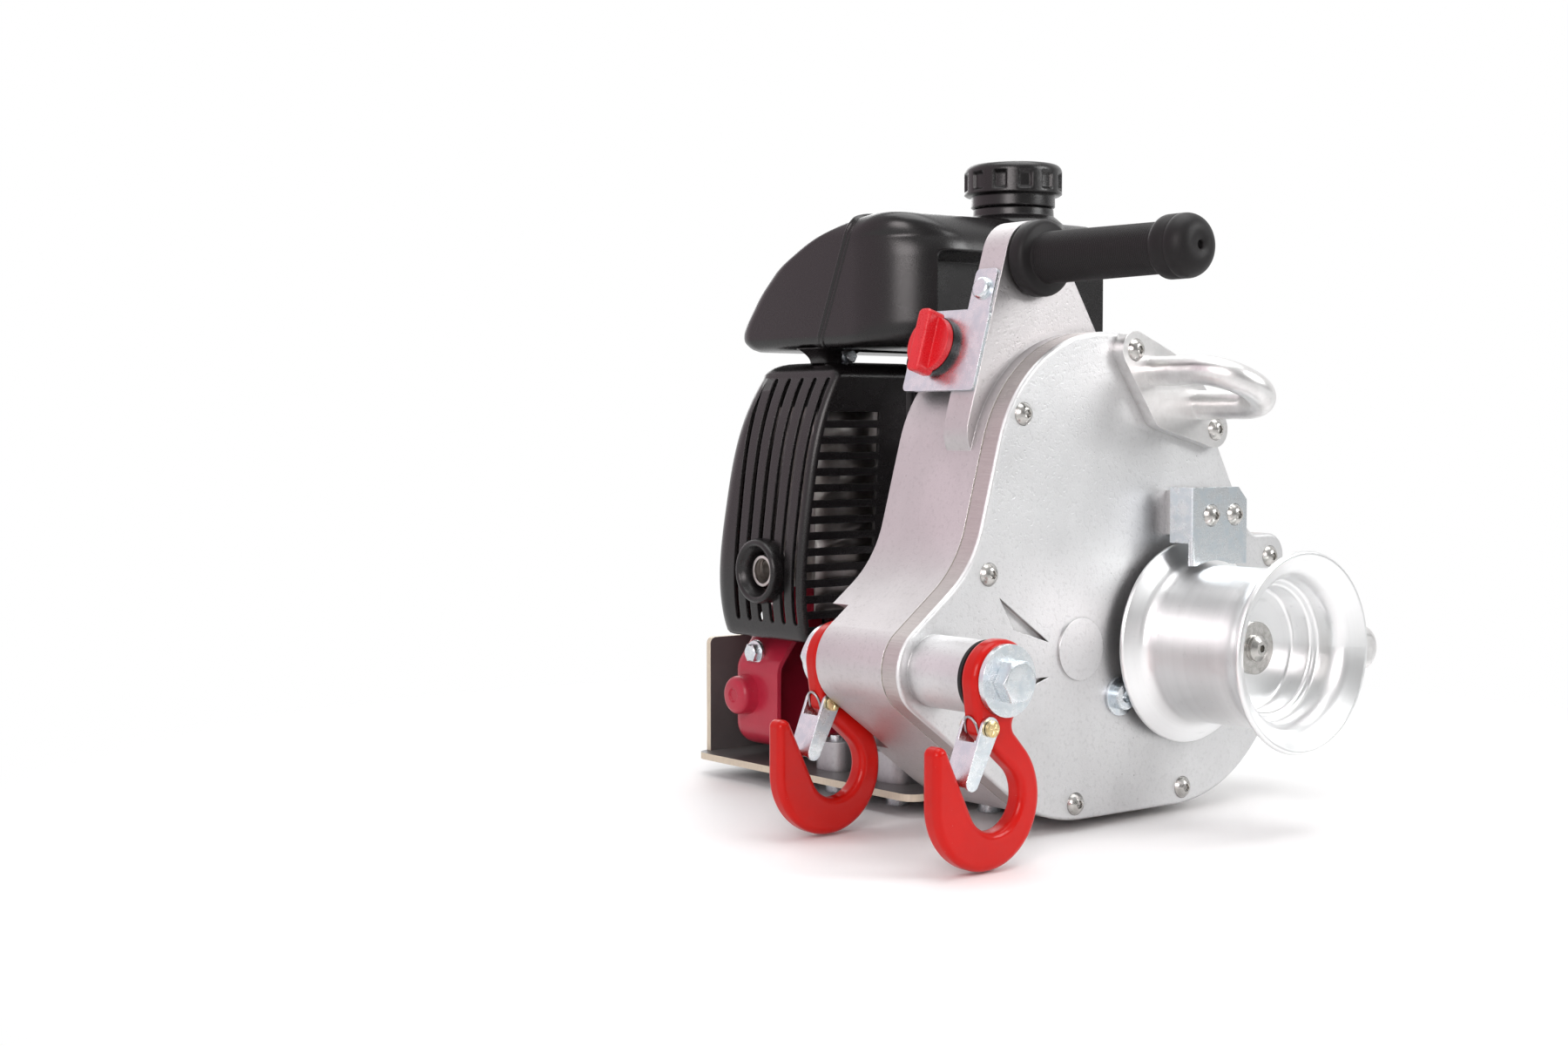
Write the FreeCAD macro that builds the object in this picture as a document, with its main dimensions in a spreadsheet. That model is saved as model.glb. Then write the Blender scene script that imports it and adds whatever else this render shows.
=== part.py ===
"""Petrol-powered capstan winch, as a parametric FreeCAD document.

The survey axes of the model have the anchor bolt's axis at X = 0, Z = 0 and the front face of the
gear cover at Y = 0. X runs towards the rope drum, +Y towards the engine and +Z up. Every piece is
drawn in these axes and placed so that the origin lies on the ground under the middle of the winch.
"""
import FreeCAD, Part
import math
import os

import Sketcher
from FreeCAD import Placement, Rotation, Vector

# Driving sizes in millimetres. A name that ends in share is a ratio, one that ends in count a
# number of copies or teeth, and one that ends in deg an angle in degrees.
SIZES = {
    # Outline of the gear cover and the gear case: tangent circles in the X-Z plane
    "lug_r": 24.0,
    "low_left_x": 106.0,
    "low_left_z": 2.0,
    "low_left_r": 88.5,
    "drum_x": 180.5,
    "drum_z": 3.8,
    "low_right_r": 90.5,
    "boss_x": 257.0,
    "boss_z": 47.0,
    "boss_r": 13.0,
    "boss_hollow_x": 246.0,
    "boss_hollow_z": 70.0,
    "boss_hollow_r": 10.0,
    "upper_right_x": 124.0,
    "upper_right_z": 78.0,
    "upper_right_r": 92.5,
    "upper_left_x": 119.0,
    "upper_left_z": 92.0,
    "upper_left_r": 78.0,
    "neck_x": -26.0,
    "neck_z": 86.0,
    "neck_r": 60.0,
    # Gear cover, gasket and gear case
    "cover_depth": 12.0,
    "cover_edge_round": 2.0,
    "gasket_thickness": 0.8,
    "case_depth": 63.2,
    "case_wall": 6.0,
    "case_back_wall": 10.0,
    "lug_tube_r": 18.0,
    "lug_front_reach": 36.0,
    "lug_rear_setback": 12.5,
    "cover_pad_x": 103.0,
    "cover_pad_z": 4.0,
    "cover_pad_r": 16.5,
    "cover_pad_height": 1.2,
    "recess_depth": 3.0,
    "recess_top_x": 44.0,
    "recess_top_z": 34.0,
    "recess_tip_x": 80.0,
    "recess_tip_z": 9.0,
    "recess_root_x": 54.0,
    "recess_root_z": 17.0,
    "snout_r": 24.0,
    "snout_reach": 4.5,
    "cut_overrun": 2.0,
    # Button-head screws of the cover, and their bosses in the case
    "screw_r": 3.0,
    "screw_head_r": 6.0,
    "screw_head_height": 3.4,
    "screw_head_round": 2.6,
    "screw_socket_r": 2.0,
    "screw_socket_depth": 1.8,
    "screw_grip": 26.0,
    "screw_hole_gap": 0.1,
    "screw_boss_r": 9.0,
    "screw_boss_length": 20.0,
    "screw_left_x": 60.5,
    "screw_left_z": 127.0,
    "screw_neck_x": 36.6,
    "screw_neck_z": 46.0,
    "screw_low_left_x": 100.0,
    "screw_low_left_z": -77.5,
    "screw_low_right_x": 184.0,
    "screw_low_right_z": -77.5,
    # Drain plug
    "plug_x": 133.0,
    "plug_z": -23.0,
    "plug_r": 7.0,
    "plug_head_height": 4.0,
    "plug_washer_r": 10.5,
    "plug_washer_thickness": 1.5,
    "plug_reach": 10.0,
    # Anchor bolt and its stack of washers
    "bolt_r": 6.35,
    "bolt_gap": 0.25,
    "hex_share": 1.1547,
    "bolt_head_flat": 19.0,
    "bolt_head_height": 8.0,
    "nut_height": 11.0,
    "bolt_end": 3.0,
    "washer_r": 17.5,
    "washer_thickness": 3.0,
    "rubber_r": 18.4,
    "rubber_thickness": 2.0,
    "rubber_rear_thickness": 4.5,
    "side_gap": 0.3,
    # Forged hooks, drawn in the plane of the eye with the bolt's axis as origin
    "eye_r": 19.5,
    "eye_thickness": 11.0,
    "hook_bowl_x": -9.5,
    "hook_bowl_z": -57.0,
    "hook_bowl_r": 34.0,
    "hook_throat_x": -5.0,
    "hook_throat_z": -56.0,
    "hook_throat_r": 16.5,
    "hook_tip_z": -33.0,
    "hook_tip_r": 4.2,
    "hook_armpit_r": 6.0,
    "hook_armpit_deg": 60.0,
    "hook_run": 0.2,
    "hook_round": 3.5,
    "hook_sweep_gap": 1.5,
    "hook_sweep_shift": 8.0,
    # Safety latch of a hook
    "latch_x": -11.0,
    "latch_z": -22.0,
    "latch_eye_r": 5.5,
    "latch_pin_r": 2.2,
    "latch_pin_head_r": 4.0,
    "latch_pin_head": 1.6,
    "latch_sheet": 1.6,
    "latch_gap": 0.4,
    "latch_length": 27.4,
    "latch_lean_deg": 25.0,
    "latch_tip_r": 4.0,
    "latch_web_start": 9.0,
    # Gear train: three equal pairs of spur gears
    "gear_module": 2.0,
    "gear_teeth_count": 62,
    "pinion_teeth_count": 13,
    "tooth_tip_share": 0.8,
    "tooth_root_share": 1.2,
    "tooth_play_share": 0.12,
    "pressure_deg": 20.0,
    "lay_b_deg": 182.9,
    "lay_turn_deg": 60.0,
    "half_turn_deg": 180.0,
    "gear_hole_count": 5,
    "gear_hole_r": 11.0,
    "gear_hole_circle_share": 0.56,
    "final_share": 0.4,
    "gear_share": 0.25,
    "gear_float": 13.2,
    "layer_gap": 3.2,
    "lay_shaft_r": 6.5,
    "bearing_r": 13.0,
    "bearing_width": 8.0,
    "running_gap": 0.05,
    "end_float": 0.5,
    "fit_gap": 0.02,
    "drum_shaft_r": 12.0,
    "drum_shaft_tail_r": 9.5,
    "drum_bearing_r": 20.0,
    "seal_lip_gap": 0.08,
    "input_shaft_r": 6.5,
    "pilot_r": 5.0,
    "pilot_length": 9.0,
    # Rope drum
    "drum_gap": 6.0,
    "drum_length": 79.0,
    "drum_barrel_r": 42.5,
    "drum_rear_rim": 12.5,
    "drum_front_rim": 10.5,
    "drum_lip_r": 1.7,
    "drum_rear_fillet": 9.0,
    "drum_front_flare": 15.5,
    "drum_rear_fillet_y": 15.0,
    "drum_front_flare_y": 18.5,
    "drum_hub_depth": 44.0,
    "drum_cup_wall": 9.5,
    "drum_step_wall": 4.5,
    "drum_step_depth": 57.0,
    "drum_mouth_r": 12.0,
    "drum_mouth_y": 15.0,
    "drum_corner": 2.0,
    "drum_bore_break": 0.6,
    "drum_cap_r": 14.0,
    "drum_cap_thickness": 3.0,
    "drum_screw_r": 4.0,
    "drum_screw_head_r": 7.0,
    "drum_screw_head_height": 4.2,
    "drum_screw_reach": 18.0,
    # Rope stop plate over the drum
    "stop_boss_x": 169.0,
    "stop_boss_z": 62.0,
    "stop_boss_width": 35.0,
    "stop_boss_height": 24.0,
    "stop_boss_reach": 22.0,
    "stop_sheet": 3.0,
    "stop_left_overhang": 7.0,
    "stop_right_overhang": 2.0,
    "stop_top_rise": 2.0,
    "stop_side_depth": 16.0,
    "stop_rope_gap": 2.5,
    "stop_corner": 7.0,
    "stop_screw_pitch": 19.0,
    "stop_screw_drop": 13.0,
    "stop_screw_reach": 14.0,
    # Rope guide loop and its plate
    "guide_left_x": 136.5,
    "guide_left_z": 161.0,
    "guide_right_x": 201.0,
    "guide_right_z": 119.0,
    "guide_end_r": 10.0,
    "guide_belly_x": 161.0,
    "guide_belly_z": 131.0,
    "guide_belly_r": 12.0,
    "guide_crown_x": 130.0,
    "guide_crown_z": 82.0,
    "guide_crown_r": 86.0,
    "guide_plate_thickness": 7.0,
    "guide_leg_x": 151.0,
    "guide_leg_z": 150.0,
    "guide_pitch": 42.0,
    "guide_lean_deg": 25.0,
    "guide_bar_r": 7.8,
    "guide_run": 30.0,
    # Guide pin beside the drum, on an ear of the case
    "pin_x": 294.0,
    "pin_z": -5.0,
    "pin_r": 13.0,
    "pin_front": 40.0,
    "pin_round": 6.0,
    "pin_shank_r": 8.0,
    "ear_r": 17.0,
    "ear_root_x": 236.0,
    "ear_root_r": 30.0,
    "ear_start": 20.0,
    "ear_depth": 24.0,
    # Carrying handle on the arch of the case
    "handle_x": 87.0,
    "handle_z": 208.0,
    "arch_r": 20.0,
    "arch_lean_deg": 16.7,
    "arch_front": 7.0,
    "arch_depth": 18.0,
    "arch_left_z": 118.0,
    "arch_right_x": 128.0,
    "arch_right_z": 140.0,
    "arch_right_r": 22.0,
    "handle_bar_r": 9.0,
    "handle_bar_root": 12.0,
    "grip_length": 113.0,
    "grip_r": 15.5,
    "grip_collar_r": 20.0,
    "grip_collar_width": 9.0,
    "grip_bulb_r": 17.5,
    "grip_bulb_width": 22.0,
    "grip_cap": 6.0,
    "grip_round": 5.0,
    "grip_vent_r": 2.5,
    "grip_vent_depth": 3.0,
    # Base plate under the engine
    "plate_left_x": 54.0,
    "plate_right_x": 296.0,
    "plate_front_y": 2.0,
    "plate_rear_gap": 1.0,
    "plate_top_z": -79.0,
    "plate_thickness": 4.0,
    "plate_wall_height": 70.0,
    "plate_corner": 9.0,
    "foot_head_height": 6.5,
    "foot_head_flat": 13.0,
    "foot_washer_r": 9.0,
    "foot_washer_thickness": 2.5,
    "foot_bolt_r": 4.0,
    "foot_left_x": 80.0,
    "foot_right_x": 281.0,
    "foot_front_y": 42.0,
    "foot_rear_y": 96.0,
    "foot_bolt_reach": 24.0,
    "case_foot_setback": 5.0,
    "case_foot_reach": 12.0,
    # Engine: crankcase, cylinder, head
    "engine_front_y": 32.0,
    "engine_rear_y": 128.0,
    "crankcase_left_x": 116.0,
    "crankcase_right_x": 246.0,
    "crankcase_low_z": -68.0,
    "crankcase_top_z": 52.0,
    "crankcase_round": 14.0,
    "crankcase_clearance": 2.5,
    "engine_foot_reach": 46.0,
    "engine_foot_width": 24.0,
    "engine_foot_height": 17.0,
    "cylinder_r": 34.0,
    "cylinder_y": 81.0,
    "fin_left_x": 128.0,
    "fin_right_x": 233.0,
    "fin_front_y": 40.0,
    "fin_rear_y": 122.0,
    "fin_thickness": 3.0,
    "fin_pitch": 8.0,
    "fin_count": 7,
    "fin_round": 10.0,
    "head_height": 26.0,
    "head_round": 8.0,
    "rocker_inset": 8.0,
    "rocker_height": 18.0,
    "rocker_round": 7.0,
    "crank_r": 8.0,
    "crank_nose": 20.0,
    "crank_tail": 34.0,
    # Centrifugal clutch
    "clutch_gap": 4.0,
    "clutch_hub_gap": 1.0,
    "clutch_drum_gap": 6.0,
    "clutch_drum_wall": 3.0,
    "clutch_drum_depth": 22.0,
    "clutch_hub_r": 12.0,
    "clutch_shoe_gap": 1.2,
    "clutch_shoe_width": 14.0,
    "clutch_shoe_slot": 5.0,
    "clutch_web": 5.0,
    "clutch_housing_r": 54.0,
    "clutch_housing_wall": 6.0,
    # Fan cover, flywheel and recoil starter
    "fan_cover_r": 80.0,
    "fan_cover_depth": 44.0,
    "fan_cover_wall": 3.0,
    "fan_clearance": 1.5,
    "fan_ear_x": 75.0,
    "fan_ear_low_z": -57.0,
    "fan_ear_high_z": -26.0,
    "fan_ear_r": 14.0,
    "fan_cover_round": 8.0,
    "flywheel_r": 66.0,
    "flywheel_thickness": 12.0,
    "flywheel_gap": 4.0,
    "fan_blade_count": 12,
    "fan_blade_height": 14.0,
    "fan_blade_thickness": 3.0,
    "fan_blade_inner_r": 40.0,
    "fan_hub_r": 18.0,
    "starter_r": 60.0,
    "starter_depth": 24.0,
    "starter_wall": 2.5,
    "starter_round": 7.0,
    "starter_slot_r": 3.0,
    "starter_slot_circle_r": 46.0,
    "starter_slot_count": 14,
    "pulley_r": 36.0,
    "pulley_width": 9.0,
    "pulley_groove": 3.5,
    "pulley_post_r": 6.0,
    "starter_post_start": 6.0,
    "rope_r": 1.7,
    "rope_guide_r": 6.0,
    "rope_guide_bore": 2.3,
    "starter_eye_rise": 8.0,
    "starter_grip_width": 62.0,
    "starter_grip_height": 18.0,
    "starter_grip_depth": 20.0,
    "starter_grip_round": 7.0,
    "starter_grip_edge": 4.0,
    "rope_show": 4.0,
    # Muffler and its louvred cover
    "muffler_left_x": 66.0,
    "muffler_right_x": 94.0,
    "muffler_front_y": 96.0,
    "muffler_rear_y": 144.0,
    "muffler_low_z": 27.0,
    "muffler_top_z": 132.0,
    "muffler_round": 6.0,
    "port_r": 9.0,
    "port_y": 106.0,
    "exhaust_r": 9.0,
    "exhaust_bore_r": 7.0,
    "exhaust_y": 130.0,
    "exhaust_z": 37.0,
    "shield_low_z": -3.0,
    "shield_top_z": 148.0,
    "shield_low_left_x": 50.0,
    "shield_top_left_x": 63.0,
    "shield_right_x": 124.0,
    "shield_low_front_y": 87.0,
    "shield_low_rear_y": 170.0,
    "shield_top_front_y": 76.0,
    "shield_top_rear_y": 152.0,
    "shield_wall": 2.5,
    "shield_round": 14.0,
    "shield_round_steps": 3,
    "shield_top_round": 6.0,
    "shield_slot_count": 6,
    "shield_slot_width": 4.2,
    "shield_slot_low_inset": 10.0,
    "shield_slot_top_inset": 11.0,
    "shield_slot_low_pitch": 10.0,
    "shield_slot_top_pitch": 11.0,
    "shield_slot_low_z": 8.0,
    "shield_slot_top_z": 160.0,
    "shield_slot_reach": 24.0,
    "shield_louvre_count": 11,
    "shield_louvre_height": 5.0,
    "shield_louvre_reach": 18.0,
    "shield_louvre_low_z": 6.0,
    "shield_louvre_top_z": 132.0,
    "shield_louvre_left_inset": 9.0,
    "shield_louvre_right_inset": 15.0,
    "outlet_ring_r": 19.0,
    "outlet_ring_bore_r": 11.0,
    "outlet_ring_reach": 3.0,
    # Fuel tank and cap
    "tank_left_x": 59.0,
    "tank_right_x": 236.0,
    "tank_front_y": 12.0,
    "tank_rear_y": 164.0,
    "tank_low_z": 167.0,
    "tank_top_z": 244.0,
    "tank_tail_z": 206.0,
    "tank_brow_y": 110.0,
    "tank_notch_y": 34.0,
    "tank_notch_z": 216.0,
    "tank_notch_x": 88.0,
    "tank_plan_r": 50.0,
    "tank_plan_small_r": 22.0,
    "tank_corner_r": 12.0,
    "tank_brow_r": 26.0,
    "tank_end_round": 11.0,
    "tank_neck_x": 174.0,
    "tank_neck_y": 48.0,
    "tank_neck_r": 21.0,
    "tank_neck_height": 8.0,
    "cap_r": 28.5,
    "cap_height": 18.0,
    "cap_skirt_r": 24.5,
    "cap_skirt_height": 7.0,
    "cap_round": 4.0,
    "cap_gap": 0.4,
    "cap_overlap": 4.0,
    "tank_leg_width": 14.0,
    "tank_leg_sheet": 3.0,
    # Air cleaner and carburettor
    "cleaner_left_x": 262.0,
    "cleaner_right_x": 303.0,
    "cleaner_front_y": 44.0,
    "cleaner_rear_y": 130.0,
    "cleaner_low_z": 56.0,
    "cleaner_top_z": 146.0,
    "cleaner_round": 10.0,
    "carb_width": 40.0,
    "carb_height": 44.0,
    "carb_round": 5.0,
    "carb_z": 88.0,
    "choke_pin_r": 2.5,
    "choke_pin_reach": 10.0,
    "choke_arm": 14.0,
    "choke_arm_half": 3.5,
    "choke_sheet": 2.5,
    "choke_knob_r": 3.5,
    # Oil filler cap on the crankcase
    "oil_y": 100.0,
    "oil_z": -43.0,
    "oil_cap_r": 12.0,
    "oil_cap_length": 15.0,
    "oil_stem_r": 7.0,
    "oil_stem_reach": 12.0,
    "oil_rib_count": 10,
    "oil_rib_r": 1.6,
    # Spark plug
    "plug_cap_r": 10.0,
    "plug_cap_length": 24.0,
    "plug_stem_r": 5.0,
    "plug_stem_reach": 12.0,
    "plug_gap": 5.0,
    # Leads and fuel hose
    "lead_r": 2.2,
    "lead_bend_r": 7.0,
    "lead_drop_y": 6.0,
    "lead_deg": 146.4,
    "lead_gap": 2.0,
    "fuel_x": 224.0,
    "fuel_y": 136.0,
    # Engine switch on its bracket
    "switch_y": 54.0,
    "switch_z": 156.0,
    "bracket_sheet": 2.0,
    "bracket_up": 20.0,
    "bracket_down": 24.0,
    "bracket_front": 34.0,
    "bracket_rear": 20.0,
    "bracket_tab_width": 16.0,
    "bracket_lip": 7.0,
    "bracket_tab": 22.0,
    "bracket_corner": 3.0,
    "bracket_screw_reach": 10.0,
    "switch_body_r": 11.0,
    "switch_neck_r": 8.0,
    "switch_body_depth": 9.0,
    "switch_collar_r": 15.5,
    "switch_collar_height": 3.0,
    "knob_r": 15.0,
    "knob_height": 11.0,
    "knob_bar_length": 34.0,
    "knob_bar_width": 9.0,
    "knob_bar_height": 7.0,
    "knob_stem_r": 4.0,
    "knob_corner": 3.0,
    "knob_round": 1.5,
}


class Dim:
    """A size of the sheet, or a sum made of such sizes: its value and its expression."""

    def __init__(self, value, text):
        self.value = float(value)
        self.text = text

    @staticmethod
    def of(other):
        """The other operand as a size; a plain number only ever scales or counts."""
        if isinstance(other, Dim):
            return other
        return Dim(other, "(%r)" % float(other))

    def __add__(self, other):
        other = Dim.of(other)
        return Dim(self.value + other.value, "(%s + %s)" % (self.text, other.text))

    def __sub__(self, other):
        other = Dim.of(other)
        return Dim(self.value - other.value, "(%s - %s)" % (self.text, other.text))

    def __mul__(self, other):
        other = Dim.of(other)
        return Dim(self.value * other.value, "(%s * %s)" % (self.text, other.text))

    def __truediv__(self, other):
        other = Dim.of(other)
        return Dim(self.value / other.value, "(%s / %s)" % (self.text, other.text))

    def __neg__(self):
        return Dim(-self.value, "(0 - %s)" % self.text)

    def __radd__(self, other):
        return Dim.of(other) + self

    def __rsub__(self, other):
        return Dim.of(other) - self

    def __rmul__(self, other):
        return Dim.of(other) * self

    def __float__(self):
        return self.value


def cos(angle):
    """The cosine of an angle size in degrees."""
    return Dim(math.cos(math.radians(angle.value)), "cos(%s)" % angle.text)


def sin(angle):
    """The sine of an angle size in degrees."""
    return Dim(math.sin(math.radians(angle.value)), "sin(%s)" % angle.text)


class Sheet:
    """The spreadsheet of driving sizes; an attribute is the size with that alias."""

    def __init__(self, document, sizes):
        self.table = document.addObject("Spreadsheet::Sheet", "Sizes")
        self.known = {}
        for row, (name, value) in enumerate(sizes.items(), start=1):
            self.table.set("A%d" % row, name)
            self.table.set("B%d" % row, repr(value))
            self.table.setAlias("B%d" % row, name)
            self.known[name] = Dim(value, "Sizes." + name)
        document.recompute()

    def __getattr__(self, name):
        return self.known[name]


os.makedirs("parts", exist_ok=True)
doc = FreeCAD.newDocument("capstan_winch")
S = Sheet(doc, SIZES)
ZERO = Dim(0.0, "0")
PIECES = []

# Stations along Y, front to back
COVER_BACK = S.cover_depth
CASE_FRONT = COVER_BACK + S.gasket_thickness
CASE_BACK = CASE_FRONT + S.case_depth
CASE_FLOOR = CASE_BACK - S.case_back_wall
GEAR_ROOM = S.case_depth - S.case_back_wall - S.gear_float
FINAL_WIDTH = GEAR_ROOM * S.final_share
GEAR_WIDTH = GEAR_ROOM * S.gear_share
FINAL_Y = CASE_FRONT + S.layer_gap
MIDDLE_Y = FINAL_Y + FINAL_WIDTH + S.layer_gap
REAR_Y = MIDDLE_Y + GEAR_WIDTH + S.layer_gap
LUG_REAR = CASE_BACK - S.lug_rear_setback
FRONT_EYE_Y = -(S.lug_front_reach + S.rubber_thickness + S.side_gap + S.eye_thickness / 2)
REAR_EYE_Y = LUG_REAR + S.rubber_rear_thickness + S.side_gap + S.eye_thickness / 2
ARCH_FRONT = CASE_FRONT + S.arch_front
GRIP_FRONT = ARCH_FRONT - S.grip_length
CLUTCH_Y = CASE_BACK + S.clutch_gap

# The engine's stations, which the sheet gives from the back of the case
for name in (
        "plate_front_y", "foot_front_y", "foot_rear_y", "engine_front_y",
        "engine_rear_y", "cylinder_y", "fin_front_y", "fin_rear_y",
        "muffler_front_y", "muffler_rear_y", "port_y", "exhaust_y",
        "shield_low_front_y", "shield_low_rear_y", "shield_top_front_y", "shield_top_rear_y",
        "tank_front_y", "tank_rear_y", "tank_brow_y", "tank_notch_y",
        "tank_neck_y", "cleaner_front_y", "cleaner_rear_y", "oil_y",
        "lead_drop_y", "fuel_y",
):
    S.known[name] = CASE_BACK + S.known[name]
FAN_BACK = S.engine_rear_y + S.fan_cover_depth
PLATE_REAR = FAN_BACK + S.starter_depth + S.plate_rear_gap + S.plate_thickness

# Radii that follow the drum's barrel and the clutch housing
DRUM_REAR_R = S.drum_barrel_r + S.drum_rear_rim
DRUM_FRONT_R = S.drum_barrel_r + S.drum_front_rim
DRUM_CUP_R = S.drum_barrel_r - S.drum_cup_wall
DRUM_STEP_R = S.drum_barrel_r - S.drum_step_wall
CLUTCH_DRUM_R = S.clutch_housing_r - S.clutch_housing_wall - S.clutch_drum_gap
LEAD_R = S.clutch_housing_r + S.lead_r + S.lead_gap
LEAD_END_X = S.drum_x + LEAD_R * cos(S.lead_deg)
LEAD_END_Z = S.drum_z + LEAD_R * sin(S.lead_deg)

# Axes of the gear train in the X-Z plane, at the corners of a triangle
CENTRES = S.gear_module * (S.gear_teeth_count + S.pinion_teeth_count) / 2
LAY_B_X = S.drum_x + CENTRES * cos(S.lay_b_deg)
LAY_B_Z = S.drum_z + CENTRES * sin(S.lay_b_deg)
LAY_A_X = S.drum_x + CENTRES * cos(S.lay_b_deg - S.lay_turn_deg)
LAY_A_Z = S.drum_z + CENTRES * sin(S.lay_b_deg - S.lay_turn_deg)

# The origin: on the ground, under the middle of the winch's length and width
GROUND_Z = S.plate_top_z - S.plate_thickness - S.foot_washer_thickness - S.foot_head_height
LEFT_X = S.hook_bowl_x - S.hook_bowl_r
RIGHT_X = S.pin_x + S.ear_r
ORIGIN_X = (LEFT_X + RIGHT_X) / 2
ORIGIN_Y = (GRIP_FRONT + PLATE_REAR) / 2


def bind(thing, prop, size):
    """Bind a property to a size of the sheet, or to a sum of sizes."""
    thing.setExpression(prop, Dim.of(size).text)


def place(thing, x=ZERO, y=ZERO, z=ZERO, axis=(0, 0, 1), turn=ZERO):
    """Put an object at a point of the survey axes, turned about an axis through that point."""
    thing.Placement = Placement(Vector(0, 0, 0), Rotation(Vector(*axis), float(turn)))
    if float(turn):
        bind(thing, "Placement.Rotation.Angle", turn)
    bind(thing, "Placement.Base.x", x - ORIGIN_X)
    bind(thing, "Placement.Base.y", y - ORIGIN_Y)
    bind(thing, "Placement.Base.z", z - GROUND_Z)
    PIECES.append(thing)


def new_body(label, x=ZERO, y=ZERO, z=ZERO, axis=(0, 0, 1), turn=ZERO):
    """A part-design body that names a piece and its file."""
    body = doc.addObject("PartDesign::Body", label)
    body.Label = label
    body.AllowCompound = True
    place(body, x, y, z, axis, turn)
    return body


def new_feature(label, shape, x=ZERO, y=ZERO, z=ZERO, axis=(0, 0, 1), turn=ZERO):
    """A piece whose shape is computed from the sizes of the sheet."""
    feature = doc.addObject("Part::Feature", label)
    feature.Label = label
    feature.Shape = shape
    place(feature, x, y, z, axis, turn)
    return feature


def new_sketch(body, role, along=ZERO):
    """A sketch on one of the body's own origin planes, moved along X, Y or Z by a size."""
    sketch = body.newObject("Sketcher::SketchObject", body.Label + "_sketch")
    plane = [p for p in body.Origin.OriginFeatures if p.Role == role][0]
    sketch.AttachmentSupport = [(plane, "")]
    sketch.MapMode = "FlatFace"
    bind(sketch, "AttachmentOffset.Base.z", -along if role == "XZ_Plane" else along)
    return sketch


def hold(sketch, kind, geometry, point, size):
    """Hold a point of the sketch at a signed distance from the sketch's origin."""
    index = sketch.addConstraint(Sketcher.Constraint(kind, -1, 1, geometry, point, float(size)))
    sketch.setExpression("Constraints[%d]" % index, Dim.of(size).text)


def hold_radius(sketch, geometry, size):
    """Hold the radius of a circle or an arc."""
    index = sketch.addConstraint(Sketcher.Constraint("Radius", geometry, float(size)))
    sketch.setExpression("Constraints[%d]" % index, Dim.of(size).text)


def draw_polygon(sketch, points):
    """Draw a closed polygon through points given as pairs of sizes."""
    corners = [Vector(float(u), float(v), 0) for u, v in points]
    first = sketch.GeometryCount
    for start, end in zip(corners, corners[1:] + corners[:1]):
        sketch.addGeometry(Part.LineSegment(start, end), False)
    count = len(corners)
    for k in range(count):
        following = first + (k + 1) % count
        sketch.addConstraint(Sketcher.Constraint("Coincident", first + k, 2, following, 1))
    for k, (u, v) in enumerate(points):
        hold(sketch, "DistanceX", first + k, 1, u)
        hold(sketch, "DistanceY", first + k, 1, v)


def draw_box(sketch, left, right, low, high):
    """Draw a rectangle between two pairs of sizes."""
    draw_polygon(sketch, [(left, low), (right, low), (right, high), (left, high)])


def draw_circle(sketch, u, v, radius):
    """Draw a circle round a point given as two sizes."""
    circle = Part.Circle(Vector(float(u), float(v), 0), Vector(0, 0, 1), float(radius))
    geometry = sketch.addGeometry(circle, False)
    hold(sketch, "DistanceX", geometry, 3, u)
    hold(sketch, "DistanceY", geometry, 3, v)
    hold_radius(sketch, geometry, radius)


def tangent_runs(circles):
    """The ends of the straight runs that join circles, with the outline's inside on the left.

    A circle is (u, v, radius, side): side +1 bulges outwards and side -1 is a hollow.
    """
    runs = []
    for (u1, v1, r1, s1), (u2, v2, r2, s2) in zip(circles, circles[1:] + circles[:1]):
        du, dv = float(u2) - float(u1), float(v2) - float(v1)
        lean = math.asin((s2 * float(r2) - s1 * float(r1)) / math.hypot(du, dv))
        heading = math.atan2(dv, du) - lean
        nu, nv = -math.sin(heading), math.cos(heading)
        start = Vector(float(u1) - s1 * float(r1) * nu, float(v1) - s1 * float(r1) * nv, 0)
        end = Vector(float(u2) - s2 * float(r2) * nu, float(v2) - s2 * float(r2) * nv, 0)
        runs.append((start, end))
    return runs


def draw_belt(sketch, circles):
    """Draw the smooth outline that runs round circles, with straight tangent runs between them."""
    runs = tangent_runs(circles)
    first = sketch.GeometryCount
    for k, (u, v, radius, side) in enumerate(circles):
        arrive, leave = runs[k - 1][1], runs[k][0]
        start, end = (arrive, leave) if side > 0 else (leave, arrive)
        angles = [math.atan2(p.y - float(v), p.x - float(u)) for p in (start, end)]
        if angles[1] < angles[0]:
            angles[1] += 2 * math.pi
        circle = Part.Circle(Vector(float(u), float(v), 0), Vector(0, 0, 1), float(radius))
        sketch.addGeometry(Part.ArcOfCircle(circle, angles[0], angles[1]), False)
        sketch.addGeometry(Part.LineSegment(*runs[k]), False)
    for k, (u, v, radius, side) in enumerate(circles):
        arc, line = first + 2 * k, first + 2 * k + 1
        following = first + (2 * k + 2) % (2 * len(circles))
        leaves = 2 if side > 0 else 1
        arrives = 1 if circles[(k + 1) % len(circles)][3] > 0 else 2
        sketch.addConstraint(Sketcher.Constraint("Tangent", arc, leaves, line, 1))
        sketch.addConstraint(Sketcher.Constraint("Tangent", line, 2, following, arrives))
        hold(sketch, "DistanceX", arc, 3, u)
        hold(sketch, "DistanceY", arc, 3, v)
        hold_radius(sketch, arc, radius)


def inset(circles, wall):
    """The same outline, moved inwards by a wall."""
    return [(u, v, r - wall if side > 0 else r + wall, side) for u, v, r, side in circles]


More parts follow.
